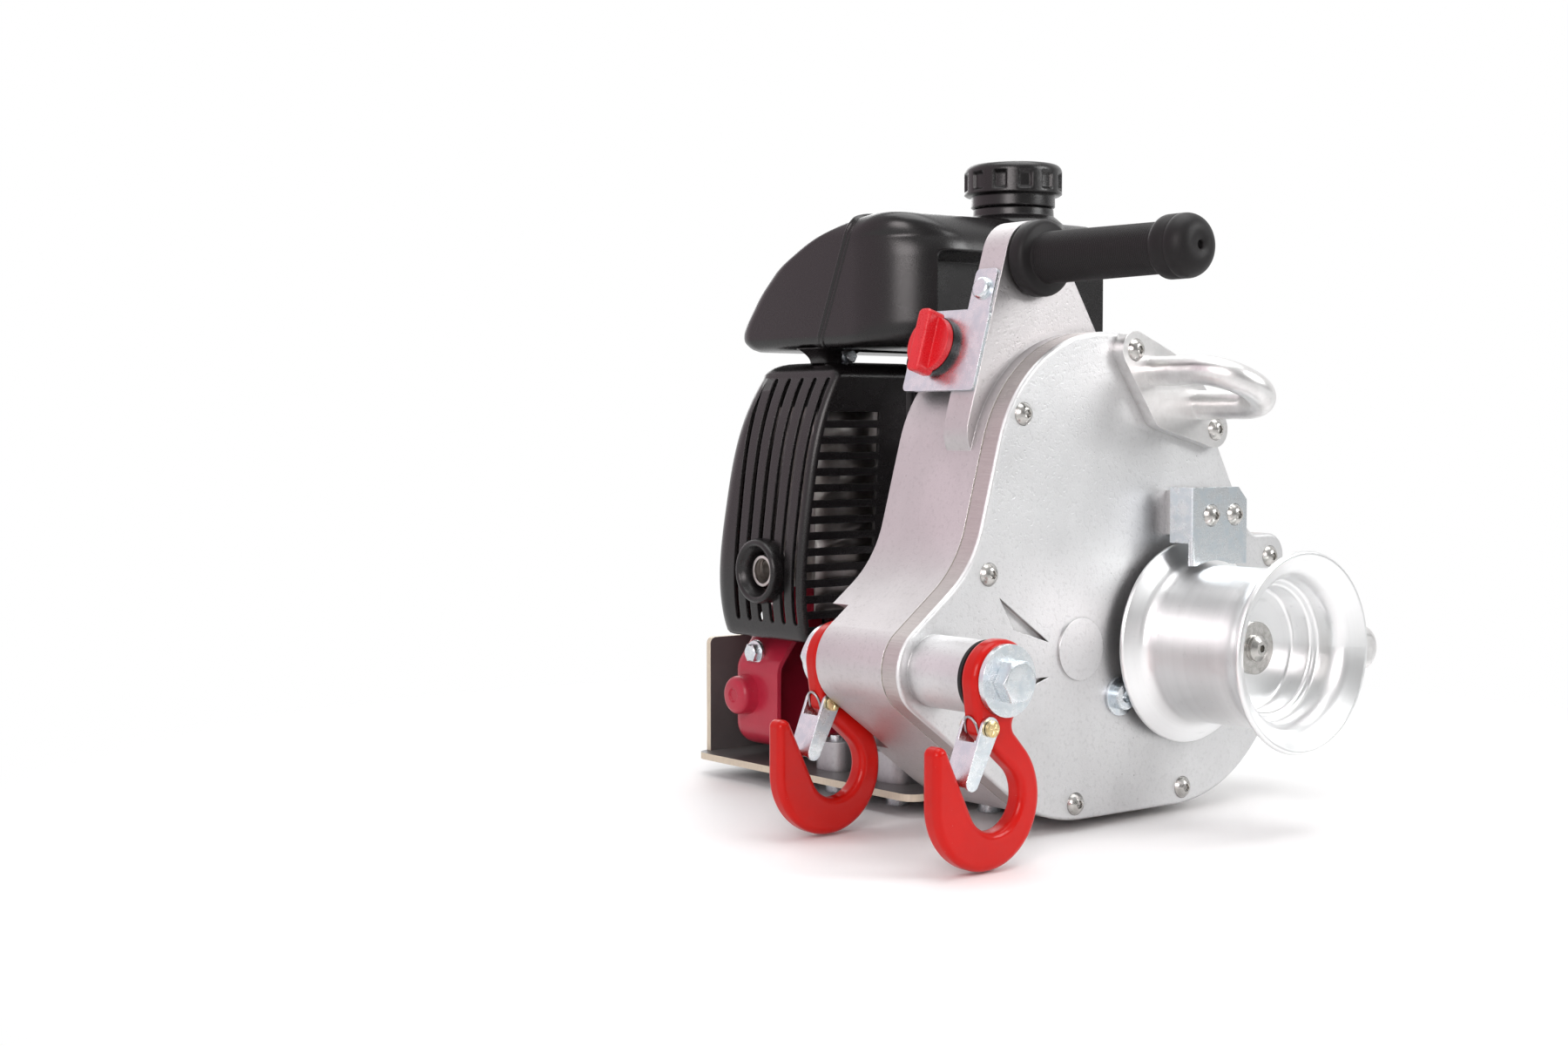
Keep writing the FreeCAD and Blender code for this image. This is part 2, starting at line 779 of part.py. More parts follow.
def rounded_box(left, right, low, high, corner):
    """The circles of a rectangle with round corners."""
    return [
        (left + corner, low + corner, corner, 1),
        (right - corner, low + corner, corner, 1),
        (right - corner, high - corner, corner, 1),
        (left + corner, high - corner, corner, 1),
    ]


def add(body, kind, sketch, length, back, both):
    """Pad or pocket a sketch by a length."""
    feature = body.newObject("PartDesign::" + kind, body.Label + "_" + kind.lower())
    feature.Profile = sketch
    feature.Reversed = back
    feature.Midplane = both
    bind(feature, "Length", length)
    doc.recompute()
    return feature


def pad(body, sketch, length, back=False, both=False):
    """Pad a sketch along its plane's normal, back against it, or both ways."""
    return add(body, "Pad", sketch, length, back, both)


def pocket(body, sketch, length, back=False, both=False):
    """Cut a sketch against its plane's normal, back along it, or both ways."""
    before = body.Shape.Volume
    feature = add(body, "Pocket", sketch, length, back, both)
    assert body.Shape.Volume < before, "a cut in %s misses it" % body.Label
    return feature


def revolve(body, sketch, axis="V_Axis"):
    """Turn a sketch about one of its own axes."""
    feature = body.newObject("PartDesign::Revolution", body.Label + "_revolution")
    feature.Profile = sketch
    feature.ReferenceAxis = (sketch, [axis])
    feature.Angle = 360.0
    doc.recompute()
    return feature


def pattern(body, kind, originals, axis, count, span):
    """Repeat features along or round an origin axis of the body."""
    feature = body.newObject("PartDesign::" + kind, body.Label + "_pattern")
    feature.Originals = originals
    line = [a for a in body.Origin.OriginFeatures if a.Role == axis][0]
    if kind == "PolarPattern":
        feature.Axis = (line, [""])
        feature.Angle = span
    else:
        feature.Direction = (line, [""])
        bind(feature, "Length", span)
    bind(feature, "Occurrences", count)
    body.Tip = feature
    doc.recompute()
    return feature


def round_edges(body, radius, chosen, kind="Fillet"):
    """Round, or break, the edges of a body that a test on the edge picks out."""
    base = body.Tip
    names = ["Edge%d" % k for k, e in enumerate(base.Shape.Edges, start=1) if chosen(e)]
    assert names, "no edge to round on %s" % body.Label
    feature = body.newObject("PartDesign::" + kind, body.Label + "_" + kind.lower())
    feature.Base = (base, names)
    bind(feature, "Radius" if kind == "Fillet" else "Size", radius)
    doc.recompute()
    return feature


def near(value, size):
    """Whether a measured coordinate is that of a size."""
    return abs(value - float(size)) < 1e-4


def flat_at(axis, size):
    """A test for edges that lie in the plane across an axis, at a size along it."""
    def test(edge):
        box = edge.BoundBox
        low, high = getattr(box, axis + "Min"), getattr(box, axis + "Max")
        return near(low, size) and near(high, size)
    return test


def along(axis):
    """A test for straight edges along an axis."""
    def test(edge):
        box = edge.BoundBox
        lengths = {"X": box.XLength, "Y": box.YLength, "Z": box.ZLength}
        return all(v < 1e-4 for k, v in lengths.items() if k != axis)
    return test


def turned(label, profile, x, y, z, about="Y"):
    """A turned piece: a polygon of (radius, distance along the axis), turned about Y, Z or X."""
    body = new_body(label, x, y, z)
    sketch = new_sketch(body, "XZ_Plane" if about == "Z" else "XY_Plane")
    draw_polygon(sketch, [(a, r) for r, a in profile] if about == "X" else profile)
    revolve(body, sketch, "H_Axis" if about == "X" else "V_Axis")
    return body


def hexagon(flat, sketch):
    """Draw a hexagon of a given width across flats round the sketch's origin."""
    reach = flat * S.hex_share / 2
    half = reach / 2
    draw_polygon(sketch, [(reach, ZERO), (half, flat / 2), (-half, flat / 2),
                          (-reach, ZERO), (-half, -flat / 2), (half, -flat / 2)])


def case_outline():
    """The outline that the gear cover, its gasket and the gear case share."""
    return [
        (ZERO, ZERO, S.lug_r, 1),
        (S.low_left_x, S.low_left_z, S.low_left_r, 1),
        (S.drum_x, S.drum_z, S.low_right_r, 1),
        (S.boss_x, S.boss_z, S.boss_r, 1),
        (S.boss_hollow_x, S.boss_hollow_z, S.boss_hollow_r, -1),
        (S.upper_right_x, S.upper_right_z, S.upper_right_r, 1),
        (S.upper_left_x, S.upper_left_z, S.upper_left_r, 1),
        (S.neck_x, S.neck_z, S.neck_r, -1),
    ]


def case_cavity():
    """The hollow of the gear case, one wall inside its outline and clear of the lug."""
    return inset(case_outline()[1:7], S.case_wall)


def cover_screw_places():
    """The screws that hold the cover alone, then the two that the rope guide shares."""
    return [
        (S.screw_left_x, S.screw_left_z),
        (S.screw_neck_x, S.screw_neck_z),
        (S.screw_low_left_x, S.screw_low_left_z),
        (S.screw_low_right_x, S.screw_low_right_z),
        (S.boss_x, S.boss_z),
    ]


def guide_screw_places():
    return [(S.guide_left_x, S.guide_left_z), (S.guide_right_x, S.guide_right_z)]


def drill(body, places, radius, start, depth, plane="XZ_Plane"):
    """Drill a group of equal holes from a station along the plane's normal axis."""
    sketch = new_sketch(body, plane, start)
    for u, v in places:
        draw_circle(sketch, u, v, radius)
    return pocket(body, sketch, depth)


def gear_cover():
    body = new_body("gear_cover")
    outline = new_sketch(body, "XZ_Plane")
    draw_belt(outline, case_outline())
    pad(body, outline, S.cover_depth, back=True)
    round_edges(body, S.cover_edge_round, flat_at("Y", ZERO))
    raised = new_sketch(body, "XZ_Plane", S.cover_depth / 2)
    draw_circle(raised, ZERO, ZERO, S.lug_tube_r)
    pad(body, raised, S.lug_front_reach + S.cover_depth / 2)
    snout = new_sketch(body, "XZ_Plane", S.cover_depth / 2)
    draw_circle(snout, S.drum_x, S.drum_z, S.snout_r)
    pad(body, snout, S.snout_reach + S.cover_depth / 2)
    round_pad = new_sketch(body, "XZ_Plane", S.cover_depth / 2)
    draw_circle(round_pad, S.cover_pad_x, S.cover_pad_z, S.cover_pad_r)
    pad(body, round_pad, S.cover_pad_height + S.cover_depth / 2)
    boss = new_sketch(body, "XZ_Plane", S.cover_depth / 2)
    draw_box(boss, S.stop_boss_x, S.stop_boss_x + S.stop_boss_width,
             S.stop_boss_z, S.stop_boss_z + S.stop_boss_height)
    pad(body, boss, S.stop_boss_reach + S.cover_depth / 2)
    recess = new_sketch(body, "XZ_Plane")
    draw_polygon(recess, [(S.recess_top_x, S.recess_top_z), (S.recess_root_x, S.recess_root_z),
                          (S.recess_tip_x, S.recess_tip_z)])
    draw_polygon(recess, [(S.recess_root_x, -S.recess_root_z), (S.recess_root_x, -S.recess_tip_z),
                          (S.recess_tip_x, -S.recess_tip_z)])
    pocket(body, recess, S.recess_depth)
    drill(body, [(ZERO, ZERO)], S.bolt_r + S.bolt_gap, -S.lug_front_reach,
          S.lug_front_reach + S.cover_depth)
    drill(body, cover_screw_places() + guide_screw_places(), S.screw_r + S.screw_hole_gap,
          ZERO, S.cover_depth)
    drill(body, [(S.plug_x, S.plug_z)], S.plug_r + S.screw_hole_gap, ZERO, S.cover_depth)
    drill(body, [(S.drum_x, S.drum_z)], S.drum_bearing_r + S.fit_gap, -S.snout_reach,
          S.snout_reach + S.cover_depth)
    seats = S.cover_depth - S.bearing_width
    drill(body, [(LAY_A_X, LAY_A_Z), (LAY_B_X, LAY_B_Z)], S.bearing_r + S.fit_gap,
          seats, S.bearing_width)
    stop_screws = [(x, z) for x, z in stop_screw_places()]
    drill(body, stop_screws, S.screw_r + S.screw_hole_gap, -S.stop_boss_reach,
          S.stop_screw_reach + S.cut_overrun)


def stop_screw_places():
    middle = S.stop_boss_x + S.stop_boss_width / 2
    height = S.stop_boss_z + S.stop_boss_height - S.stop_screw_drop
    return [(middle - S.stop_screw_pitch / 2, height), (middle + S.stop_screw_pitch / 2, height)]


def cover_gasket():
    body = new_body("cover_gasket", y=COVER_BACK)
    outline = new_sketch(body, "XZ_Plane")
    draw_belt(outline, case_outline())
    pad(body, outline, S.gasket_thickness, back=True)
    hollow = new_sketch(body, "XZ_Plane")
    draw_belt(hollow, case_cavity())
    pocket(body, hollow, S.gasket_thickness)
    drill(body, cover_screw_places() + guide_screw_places(), S.screw_r + S.screw_hole_gap,
          ZERO, S.gasket_thickness)
    drill(body, [(ZERO, ZERO)], S.bolt_r + S.bolt_gap, ZERO, S.gasket_thickness)


def arch_left_x():
    """The foot of the arch's left flank, which leans at the arch's angle below the handle."""
    drop = S.handle_z - S.arch_left_z
    return S.handle_x - drop * sin(S.arch_lean_deg) / cos(S.arch_lean_deg)


def gear_case():
    body = new_body("gear_case", y=CASE_FRONT)
    outline = new_sketch(body, "XZ_Plane")
    draw_belt(outline, case_outline())
    pad(body, outline, S.case_depth, back=True)
    arch = new_sketch(body, "XZ_Plane", S.arch_front)
    draw_belt(arch, [(S.handle_x, S.handle_z, S.arch_r, 1),
                     (arch_left_x(), S.arch_left_z, S.arch_r, 1),
                     (S.arch_right_x, S.arch_right_z, S.arch_right_r, 1)])
    pad(body, arch, S.arch_depth, back=True)
    ear = new_sketch(body, "XZ_Plane", S.ear_start)
    draw_belt(ear, [(S.ear_root_x, S.pin_z, S.ear_root_r, 1), (S.pin_x, S.pin_z, S.ear_r, 1)])
    pad(body, ear, S.ear_depth, back=True)
    hollow = new_sketch(body, "XZ_Plane")
    draw_belt(hollow, case_cavity())
    pocket(body, hollow, S.case_depth - S.case_back_wall)
    bosses = new_sketch(body, "XZ_Plane")
    for x, z in cover_screw_places() + guide_screw_places():
        draw_circle(bosses, x, z, S.screw_boss_r)
    pad(body, bosses, S.screw_boss_length, back=True)
    outside = new_sketch(body, "XZ_Plane", S.case_depth - S.lug_rear_setback)
    draw_belt(outside, [(-S.hook_sweep_shift, ZERO,
                         S.eye_r + S.hook_sweep_gap + S.hook_sweep_shift, 1),
                        (S.hook_bowl_x, S.hook_bowl_z, S.hook_bowl_r + S.hook_sweep_gap, 1)])
    pocket(body, outside, S.lug_rear_setback)
    drill(body, [(ZERO, ZERO)], S.bolt_r + S.bolt_gap, ZERO, S.case_depth)
    drill(body, cover_screw_places() + guide_screw_places(), S.screw_r + S.screw_hole_gap,
          ZERO, S.screw_boss_length - S.cut_overrun)
    floor = S.case_depth - S.case_back_wall
    drill(body, [(LAY_A_X, LAY_A_Z), (LAY_B_X, LAY_B_Z)], S.bearing_r + S.fit_gap, floor,
          S.bearing_width)
    drill(body, [(S.drum_x, S.drum_z)], S.bearing_r + S.fit_gap, floor, S.case_back_wall)
    drill(body, [(S.pin_x, S.pin_z)], S.pin_shank_r + S.fit_gap, S.ear_start, S.ear_depth)
    drill(body, [(S.handle_x, S.handle_z)], S.handle_bar_r + S.fit_gap, S.arch_front,
          S.handle_bar_root)
    for x, y, low in case_foot_places():
        foot = new_sketch(body, "XY_Plane", low)
        draw_circle(foot, x, y - CASE_FRONT, S.foot_bolt_r + S.screw_hole_gap)
        pocket(body, foot, S.case_foot_reach, back=True)
    flank = new_sketch(body, "XY_Plane")
    flank_x, flank_z = switch_origin()
    flank.AttachmentOffset = Placement(Vector(0, 0, 0), Rotation(Vector(0, 1, 0), -1.0))
    bind(flank, "AttachmentOffset.Base.x", flank_x)
    bind(flank, "AttachmentOffset.Base.y", S.switch_y - CASE_FRONT)
    bind(flank, "AttachmentOffset.Base.z", flank_z)
    bind(flank, "AttachmentOffset.Rotation.Angle", switch_turn())
    draw_circle(flank, S.bracket_up + S.bracket_tab / 2, bracket_screw_y(),
                S.screw_r + S.screw_hole_gap)
    pocket(body, flank, S.bracket_screw_reach)


def screws(body, places, y, reach):
    """Add a group of button-head screws along Y, with their heads at the front."""
    heads = new_sketch(body, "XZ_Plane", y)
    for x, z in places:
        draw_circle(heads, x, z, S.screw_head_r)
    pad(body, heads, S.screw_head_height)
    round_edges(body, S.screw_head_round, flat_at("Y", y - S.screw_head_height))
    shanks = new_sketch(body, "XZ_Plane", y)
    for x, z in places:
        draw_circle(shanks, x, z, S.screw_r)
    pad(body, shanks, reach, back=True)
    drill(body, places, S.screw_socket_r, y - S.screw_head_height, S.screw_socket_depth)


def cover_fasteners():
    cover = new_body("cover_screws")
    screws(cover, cover_screw_places(), ZERO, S.screw_grip)
    screws(cover, guide_screw_places(), -S.guide_plate_thickness,
           S.guide_plate_thickness + S.screw_grip)
    stop = new_body("rope_stop_screws")
    screws(stop, stop_screw_places(), -(S.stop_boss_reach + S.stop_sheet),
           S.stop_screw_reach + S.stop_sheet)
    under = S.plug_washer_thickness
    turned("drain_plug", [
        (ZERO, S.plug_reach), (S.plug_r, S.plug_reach), (S.plug_r, ZERO),
        (S.plug_washer_r, ZERO), (S.plug_washer_r, -under), (S.plug_r, -under),
        (S.plug_r, -under - S.plug_head_height), (S.screw_head_r / 2, -under - S.plug_head_height),
        (S.screw_head_r / 2, -under), (ZERO, -under)], S.plug_x, ZERO, S.plug_z)


def anchor():
    """The anchor bolt that carries both hooks, with its nut, steel and rubber washers."""
    head_y = FRONT_EYE_Y - S.eye_thickness / 2 - S.side_gap - S.washer_thickness
    nut_y = REAR_EYE_Y + S.eye_thickness / 2 + S.side_gap + S.washer_thickness
    bolt = new_body("anchor_bolt", y=head_y)
    shank = new_sketch(bolt, "XZ_Plane")
    draw_circle(shank, ZERO, ZERO, S.bolt_r)
    pad(bolt, shank, nut_y + S.nut_height + S.bolt_end - head_y, back=True)
    head = new_sketch(bolt, "XZ_Plane")
    hexagon(S.bolt_head_flat, head)
    pad(bolt, head, S.bolt_head_height)
    nut = new_body("anchor_nut", y=nut_y)
    outside = new_sketch(nut, "XZ_Plane")
    hexagon(S.bolt_head_flat, outside)
    draw_circle(outside, ZERO, ZERO, S.bolt_r + S.fit_gap)
    pad(nut, outside, S.nut_height, back=True)
    bore = S.bolt_r + S.bolt_gap
    washers = new_body("anchor_washers")
    for y in (head_y, nut_y - S.washer_thickness):
        ring(washers, ZERO, y, ZERO, S.washer_r, bore, S.washer_thickness)
    rubbers = new_body("anchor_rubber_washers")
    ring(rubbers, ZERO, -S.lug_front_reach - S.rubber_thickness, ZERO, S.rubber_r, bore,
         S.rubber_thickness)
    ring(rubbers, ZERO, LUG_REAR, ZERO, S.rubber_r, bore, S.rubber_rear_thickness)


def hook_outline():
    """A forged hook seen along the bolt: eye, latch boss, throat, tip, bowl and heel."""
    reach = S.eye_r + S.hook_armpit_r + S.hook_run
    return [
        (ZERO, ZERO, S.eye_r, 1),
        (S.latch_x, S.latch_z, S.latch_eye_r, 1),
        (S.hook_throat_x, S.hook_throat_z, S.hook_throat_r, -1),
        (LEFT_X + S.hook_tip_r, S.hook_tip_z, S.hook_tip_r, 1),
        (S.hook_bowl_x, S.hook_bowl_z, S.hook_bowl_r, 1),
        (reach * cos(S.hook_armpit_deg), -(reach * sin(S.hook_armpit_deg)), S.hook_armpit_r, -1),
    ]


def hook(side, y):
    """One hook with its latch and the rivet that the latch turns on."""
    body = new_body(side + "_hook", y=y)
    outline = new_sketch(body, "XZ_Plane")
    draw_belt(outline, hook_outline())
    pad(body, outline, S.eye_thickness, both=True)
    half = S.eye_thickness / 2
    front, rear = flat_at("Y", -half), flat_at("Y", half)
    round_edges(body, S.hook_round, lambda edge: front(edge) or rear(edge))
    bore = new_sketch(body, "XZ_Plane")
    draw_circle(bore, ZERO, ZERO, S.bolt_r + S.side_gap)
    draw_circle(bore, S.latch_x, S.latch_z, S.latch_pin_r + S.fit_gap)
    pocket(body, bore, S.eye_thickness, both=True)
    inner = S.eye_thickness + 2 * S.latch_gap
    width = inner + 2 * S.latch_sheet
    rivet = new_body(side + "_latch_rivet", S.latch_x, y, S.latch_z)
    stem = new_sketch(rivet, "XZ_Plane")
    draw_circle(stem, ZERO, ZERO, S.latch_pin_r)
    pad(rivet, stem, width + 2 * S.latch_gap, both=True)
    for station in (width / 2 + S.latch_gap, -(width / 2 + S.latch_gap) - S.latch_pin_head):
        cap = new_sketch(rivet, "XZ_Plane", station)
        draw_circle(cap, ZERO, ZERO, S.latch_pin_head_r)
        pad(rivet, cap, S.latch_pin_head, back=True)
    latch = new_body(side + "_latch", S.latch_x, y, S.latch_z, (0, 1, 0), S.latch_lean_deg)
    cheeks = new_sketch(latch, "XZ_Plane")
    draw_belt(cheeks, [(ZERO, ZERO, S.latch_eye_r, 1), (ZERO, -S.latch_length, S.latch_tip_r, 1)])
    pad(latch, cheeks, width, both=True)
    past = S.latch_eye_r + S.cut_overrun
    gap = new_sketch(latch, "XZ_Plane")
    draw_polygon(gap, [
        (-past, past), (-past, -S.latch_web_start),
        (S.latch_sheet - S.latch_tip_r, -S.latch_web_start),
        (S.latch_sheet - S.latch_tip_r, -S.latch_length - past),
        (past, -S.latch_length - past), (past, past)])
    pocket(latch, gap, inner, both=True)
    bore = new_sketch(latch, "XZ_Plane")
    draw_circle(bore, ZERO, ZERO, S.latch_pin_r + S.running_gap)
    pocket(latch, bore, width, both=True)


def toothed(teeth, width, turn, y):
    """The toothed rim of a spur gear as a solid along Y.

    The flanks run straight between the involute's thickness at the root and at the tip. A tooth
    lies at the angle turn, in degrees from X towards Z.
    """
    module = float(S.gear_module)
    pitch_r = module * float(teeth) / 2
    base_r = pitch_r * math.cos(math.radians(float(S.pressure_deg)))
    tip_r = pitch_r + module * float(S.tooth_tip_share)
    root_r = pitch_r - module * float(S.tooth_root_share)
    play = float(S.tooth_play_share) * module / (2 * pitch_r)

    def involute(angle):
        return math.tan(angle) - angle

    def half(radius):
        flank = involute(math.acos(min(1.0, base_r / radius)))
        start = math.pi / (2 * float(teeth)) + involute(math.radians(float(S.pressure_deg)))
        return start - play - flank

    root_half, tip_half = half(max(root_r, base_r)), half(tip_r)
    corners = []
    for k in range(int(float(teeth))):
        middle = math.radians(float(turn)) + 2 * math.pi * k / float(teeth)
        for radius, angle in ((root_r, middle - root_half), (tip_r, middle - tip_half),
                              (tip_r, middle + tip_half), (root_r, middle + root_half)):
            corners.append(Vector(radius * math.cos(angle), float(y), radius * math.sin(angle)))
    face = Part.Face(Part.makePolygon(corners + corners[:1]))
    return face.extrude(Vector(0, float(width), 0))


def rod(radius, y, length):
    """A round bar along Y."""
    return Part.makeCylinder(float(radius), float(length), Vector(0, float(y), 0), Vector(0, 1, 0))


def gear_train():
    """Three pairs of equal gears between the clutch and the drum, with their shafts."""
    to_a = S.lay_b_deg - S.lay_turn_deg
    a_to_b = S.lay_b_deg + S.lay_turn_deg
    b_to_drum = S.lay_b_deg + S.half_turn_deg
    opposite = S.half_turn_deg + S.half_turn_deg / S.gear_teeth_count
    wheels = (
        ("final_gear", b_to_drum, FINAL_Y, FINAL_WIDTH, S.drum_shaft_r, S.drum_x, S.drum_z),
        ("lay_gear_b", a_to_b, MIDDLE_Y, GEAR_WIDTH, S.lay_shaft_r, LAY_B_X, LAY_B_Z),
        ("lay_gear_a", to_a, REAR_Y, GEAR_WIDTH, S.lay_shaft_r, LAY_A_X, LAY_A_Z),
    )
    for label, heading, y, width, bore, x, z in wheels:
        rim = toothed(S.gear_teeth_count, width, heading + opposite, ZERO)
        shape = rim.cut(rod(bore + S.fit_gap, ZERO, width))
        holes_r = S.gear_hole_circle_share * S.gear_module * S.gear_teeth_count / 2
        for k in range(int(float(S.gear_hole_count))):
            turn = 2 * math.pi * k / float(S.gear_hole_count)
            hole = rod(S.gear_hole_r, ZERO, width)
            hole.translate(Vector(float(holes_r) * math.cos(turn), 0,
                                  float(holes_r) * math.sin(turn)))
            shape = shape.cut(hole)
        new_feature(label, shape, x, y, z)
    front = S.cover_depth - S.bearing_width + S.end_float
    back = CASE_FLOOR + S.bearing_width - S.end_float
    lays = (("lay_shaft_b", b_to_drum, FINAL_Y, FINAL_WIDTH, LAY_B_X, LAY_B_Z),
            ("lay_shaft_a", a_to_b, MIDDLE_Y, GEAR_WIDTH, LAY_A_X, LAY_A_Z))
    for label, heading, y, width, x, z in lays:
        shape = toothed(S.pinion_teeth_count, width, heading, y)
        shape = shape.fuse(rod(S.lay_shaft_r, front, back - front)).removeSplitter()
        new_feature(label, shape, x, ZERO, z)
    tail_end = REAR_Y - S.end_float
    shape = toothed(S.pinion_teeth_count, GEAR_WIDTH, to_a, REAR_Y)
    shape = shape.fuse(rod(S.input_shaft_r, REAR_Y, CLUTCH_Y + S.clutch_web - REAR_Y))
    shape = shape.fuse(rod(S.pilot_r, tail_end - S.pilot_length, S.pilot_length + GEAR_WIDTH))
    new_feature("input_shaft", shape.removeSplitter(), S.drum_x, ZERO, S.drum_z)
    start = -(S.drum_gap + S.drum_hub_depth) + S.end_float
    shoulder = FINAL_Y + FINAL_WIDTH
    screw_r = S.drum_screw_r + S.fit_gap
    screw_end = start + S.drum_screw_reach
    pilot_r = S.pilot_r + S.running_gap
    pilot_end = tail_end - S.pilot_length - S.end_float
    turned("drum_shaft", [
        (screw_r, start), (S.drum_shaft_r, start), (S.drum_shaft_r, shoulder),
        (S.drum_shaft_tail_r, shoulder), (S.drum_shaft_tail_r, tail_end), (pilot_r, tail_end),
        (pilot_r, pilot_end), (ZERO, pilot_end), (ZERO, screw_end), (screw_r, screw_end)],
        S.drum_x, ZERO, S.drum_z)


def ring(body, x, y, z, outer, inner, width):
    """Add a plain ring round an axis along Y to a body."""
    sketch = new_sketch(body, "XZ_Plane", y)
    draw_circle(sketch, x, z, outer)
    draw_circle(sketch, x, z, inner)
    pad(body, sketch, width, back=True)


def bearings():
    body = new_body("shaft_bearings")
    seal_width = S.bearing_width / 2
    rear_seal = S.case_back_wall - S.bearing_width
    lay_bore = S.lay_shaft_r + S.running_gap
    input_bore = S.input_shaft_r + S.running_gap
    drum_bore = S.drum_shaft_r + S.running_gap
    for x, z in ((LAY_A_X, LAY_A_Z), (LAY_B_X, LAY_B_Z)):
        ring(body, x, S.cover_depth - S.bearing_width, z, S.bearing_r, lay_bore, S.bearing_width)
        ring(body, x, CASE_FLOOR, z, S.bearing_r, lay_bore, S.bearing_width)
    ring(body, S.drum_x, CASE_FLOOR, S.drum_z, S.bearing_r, input_bore, S.bearing_width)
    ring(body, S.drum_x, seal_width - S.snout_reach, S.drum_z, S.drum_bearing_r, drum_bore,
         S.cover_depth + S.snout_reach - seal_width)
    seals = new_body("shaft_seals")
    ring(seals, S.drum_x, -S.snout_reach, S.drum_z, S.drum_bearing_r,
         S.drum_shaft_r + S.seal_lip_gap, seal_width)
    ring(seals, S.drum_x, CASE_BACK - rear_seal, S.drum_z, S.bearing_r,
         S.input_shaft_r + S.seal_lip_gap, rear_seal)


def drum():
    """The rope drum, turned round the drum shaft, and the disc and screw that hold it."""
    body = new_body("capstan_drum", S.drum_x, ZERO, S.drum_z)
    rear = -S.drum_gap
    front = rear - S.drum_length
    hub = rear - S.drum_hub_depth
    step = rear - S.drum_step_depth
    bore = S.drum_shaft_r + S.fit_gap
    lip, corner, broken = S.drum_lip_r, S.drum_corner, S.drum_bore_break
    section = new_sketch(body, "XY_Plane")
    draw_belt(section, [
        (bore + broken, rear - broken, broken, 1),
        (bore + broken, hub + broken, broken, 1),
        (DRUM_CUP_R - corner, hub - corner, corner, -1),
        (DRUM_CUP_R + corner, step + corner, corner, 1),
        (DRUM_STEP_R - corner, step - corner, corner, -1),
        (DRUM_STEP_R + S.drum_mouth_r, front + S.drum_mouth_y, S.drum_mouth_r, 1),
        (DRUM_FRONT_R - lip, front + lip, lip, 1),
        (S.drum_barrel_r + S.drum_front_flare, front + S.drum_front_flare_y,
         S.drum_front_flare, -1),
        (S.drum_barrel_r + S.drum_rear_fillet, rear - S.drum_rear_fillet_y,
         S.drum_rear_fillet, -1),
        (DRUM_REAR_R - lip, rear - lip, lip, 1),
    ])
    revolve(body, section)
    under = hub - S.drum_cap_thickness
    top = under - S.drum_screw_head_height
    reach = hub + S.drum_screw_reach
    socket = S.drum_screw_r / 2
    turned("drum_screw", [
        (ZERO, reach), (S.drum_screw_r, reach), (S.drum_screw_r, hub), (S.drum_cap_r, hub),
        (S.drum_cap_r, under), (S.drum_screw_head_r, under),
        (S.drum_screw_head_r, under - S.drum_screw_head_height / 2), (S.drum_screw_r, top),
        (socket, top), (socket, under), (ZERO, under)], S.drum_x, ZERO, S.drum_z)


def rope_stop():
    """The sheet plate that keeps the rope on the drum, with a flange on its left."""
    body = new_body("rope_stop_plate", y=-S.stop_boss_reach)
    left = S.stop_boss_x - S.stop_left_overhang
    right = S.stop_boss_x + S.stop_boss_width + S.stop_right_overhang
    top = S.stop_boss_z + S.stop_boss_height + S.stop_top_rise
    low = S.drum_z + S.drum_barrel_r
    sheet = new_sketch(body, "XZ_Plane")
    corner = S.stop_corner
    draw_polygon(sheet, [(left, low), (right, low), (right, top - corner), (right - corner, top),
                         (left, top)])
    pad(body, sheet, S.stop_sheet)
    flange = new_sketch(body, "XZ_Plane", -S.stop_sheet)
    draw_box(flange, left, left + S.stop_sheet, low, top)
    pad(body, flange, S.stop_side_depth, back=True)
    swept = new_sketch(body, "XZ_Plane", -S.stop_sheet)
    draw_circle(swept, S.drum_x, S.drum_z, S.drum_barrel_r + S.stop_rope_gap)
    pocket(body, swept, S.stop_sheet)
    behind = new_sketch(body, "XZ_Plane")
    draw_circle(behind, S.drum_x, S.drum_z, DRUM_REAR_R + S.stop_rope_gap)
    pocket(body, behind, S.stop_side_depth)
    drill(body, stop_screw_places(), S.screw_r + S.screw_hole_gap, -S.stop_sheet, S.stop_sheet)
    round_edges(body, S.stop_sheet / 2, lambda edge: along("Z")(edge)
                and near(edge.BoundBox.XMin, left) and near(edge.BoundBox.YMin, -S.stop_sheet))


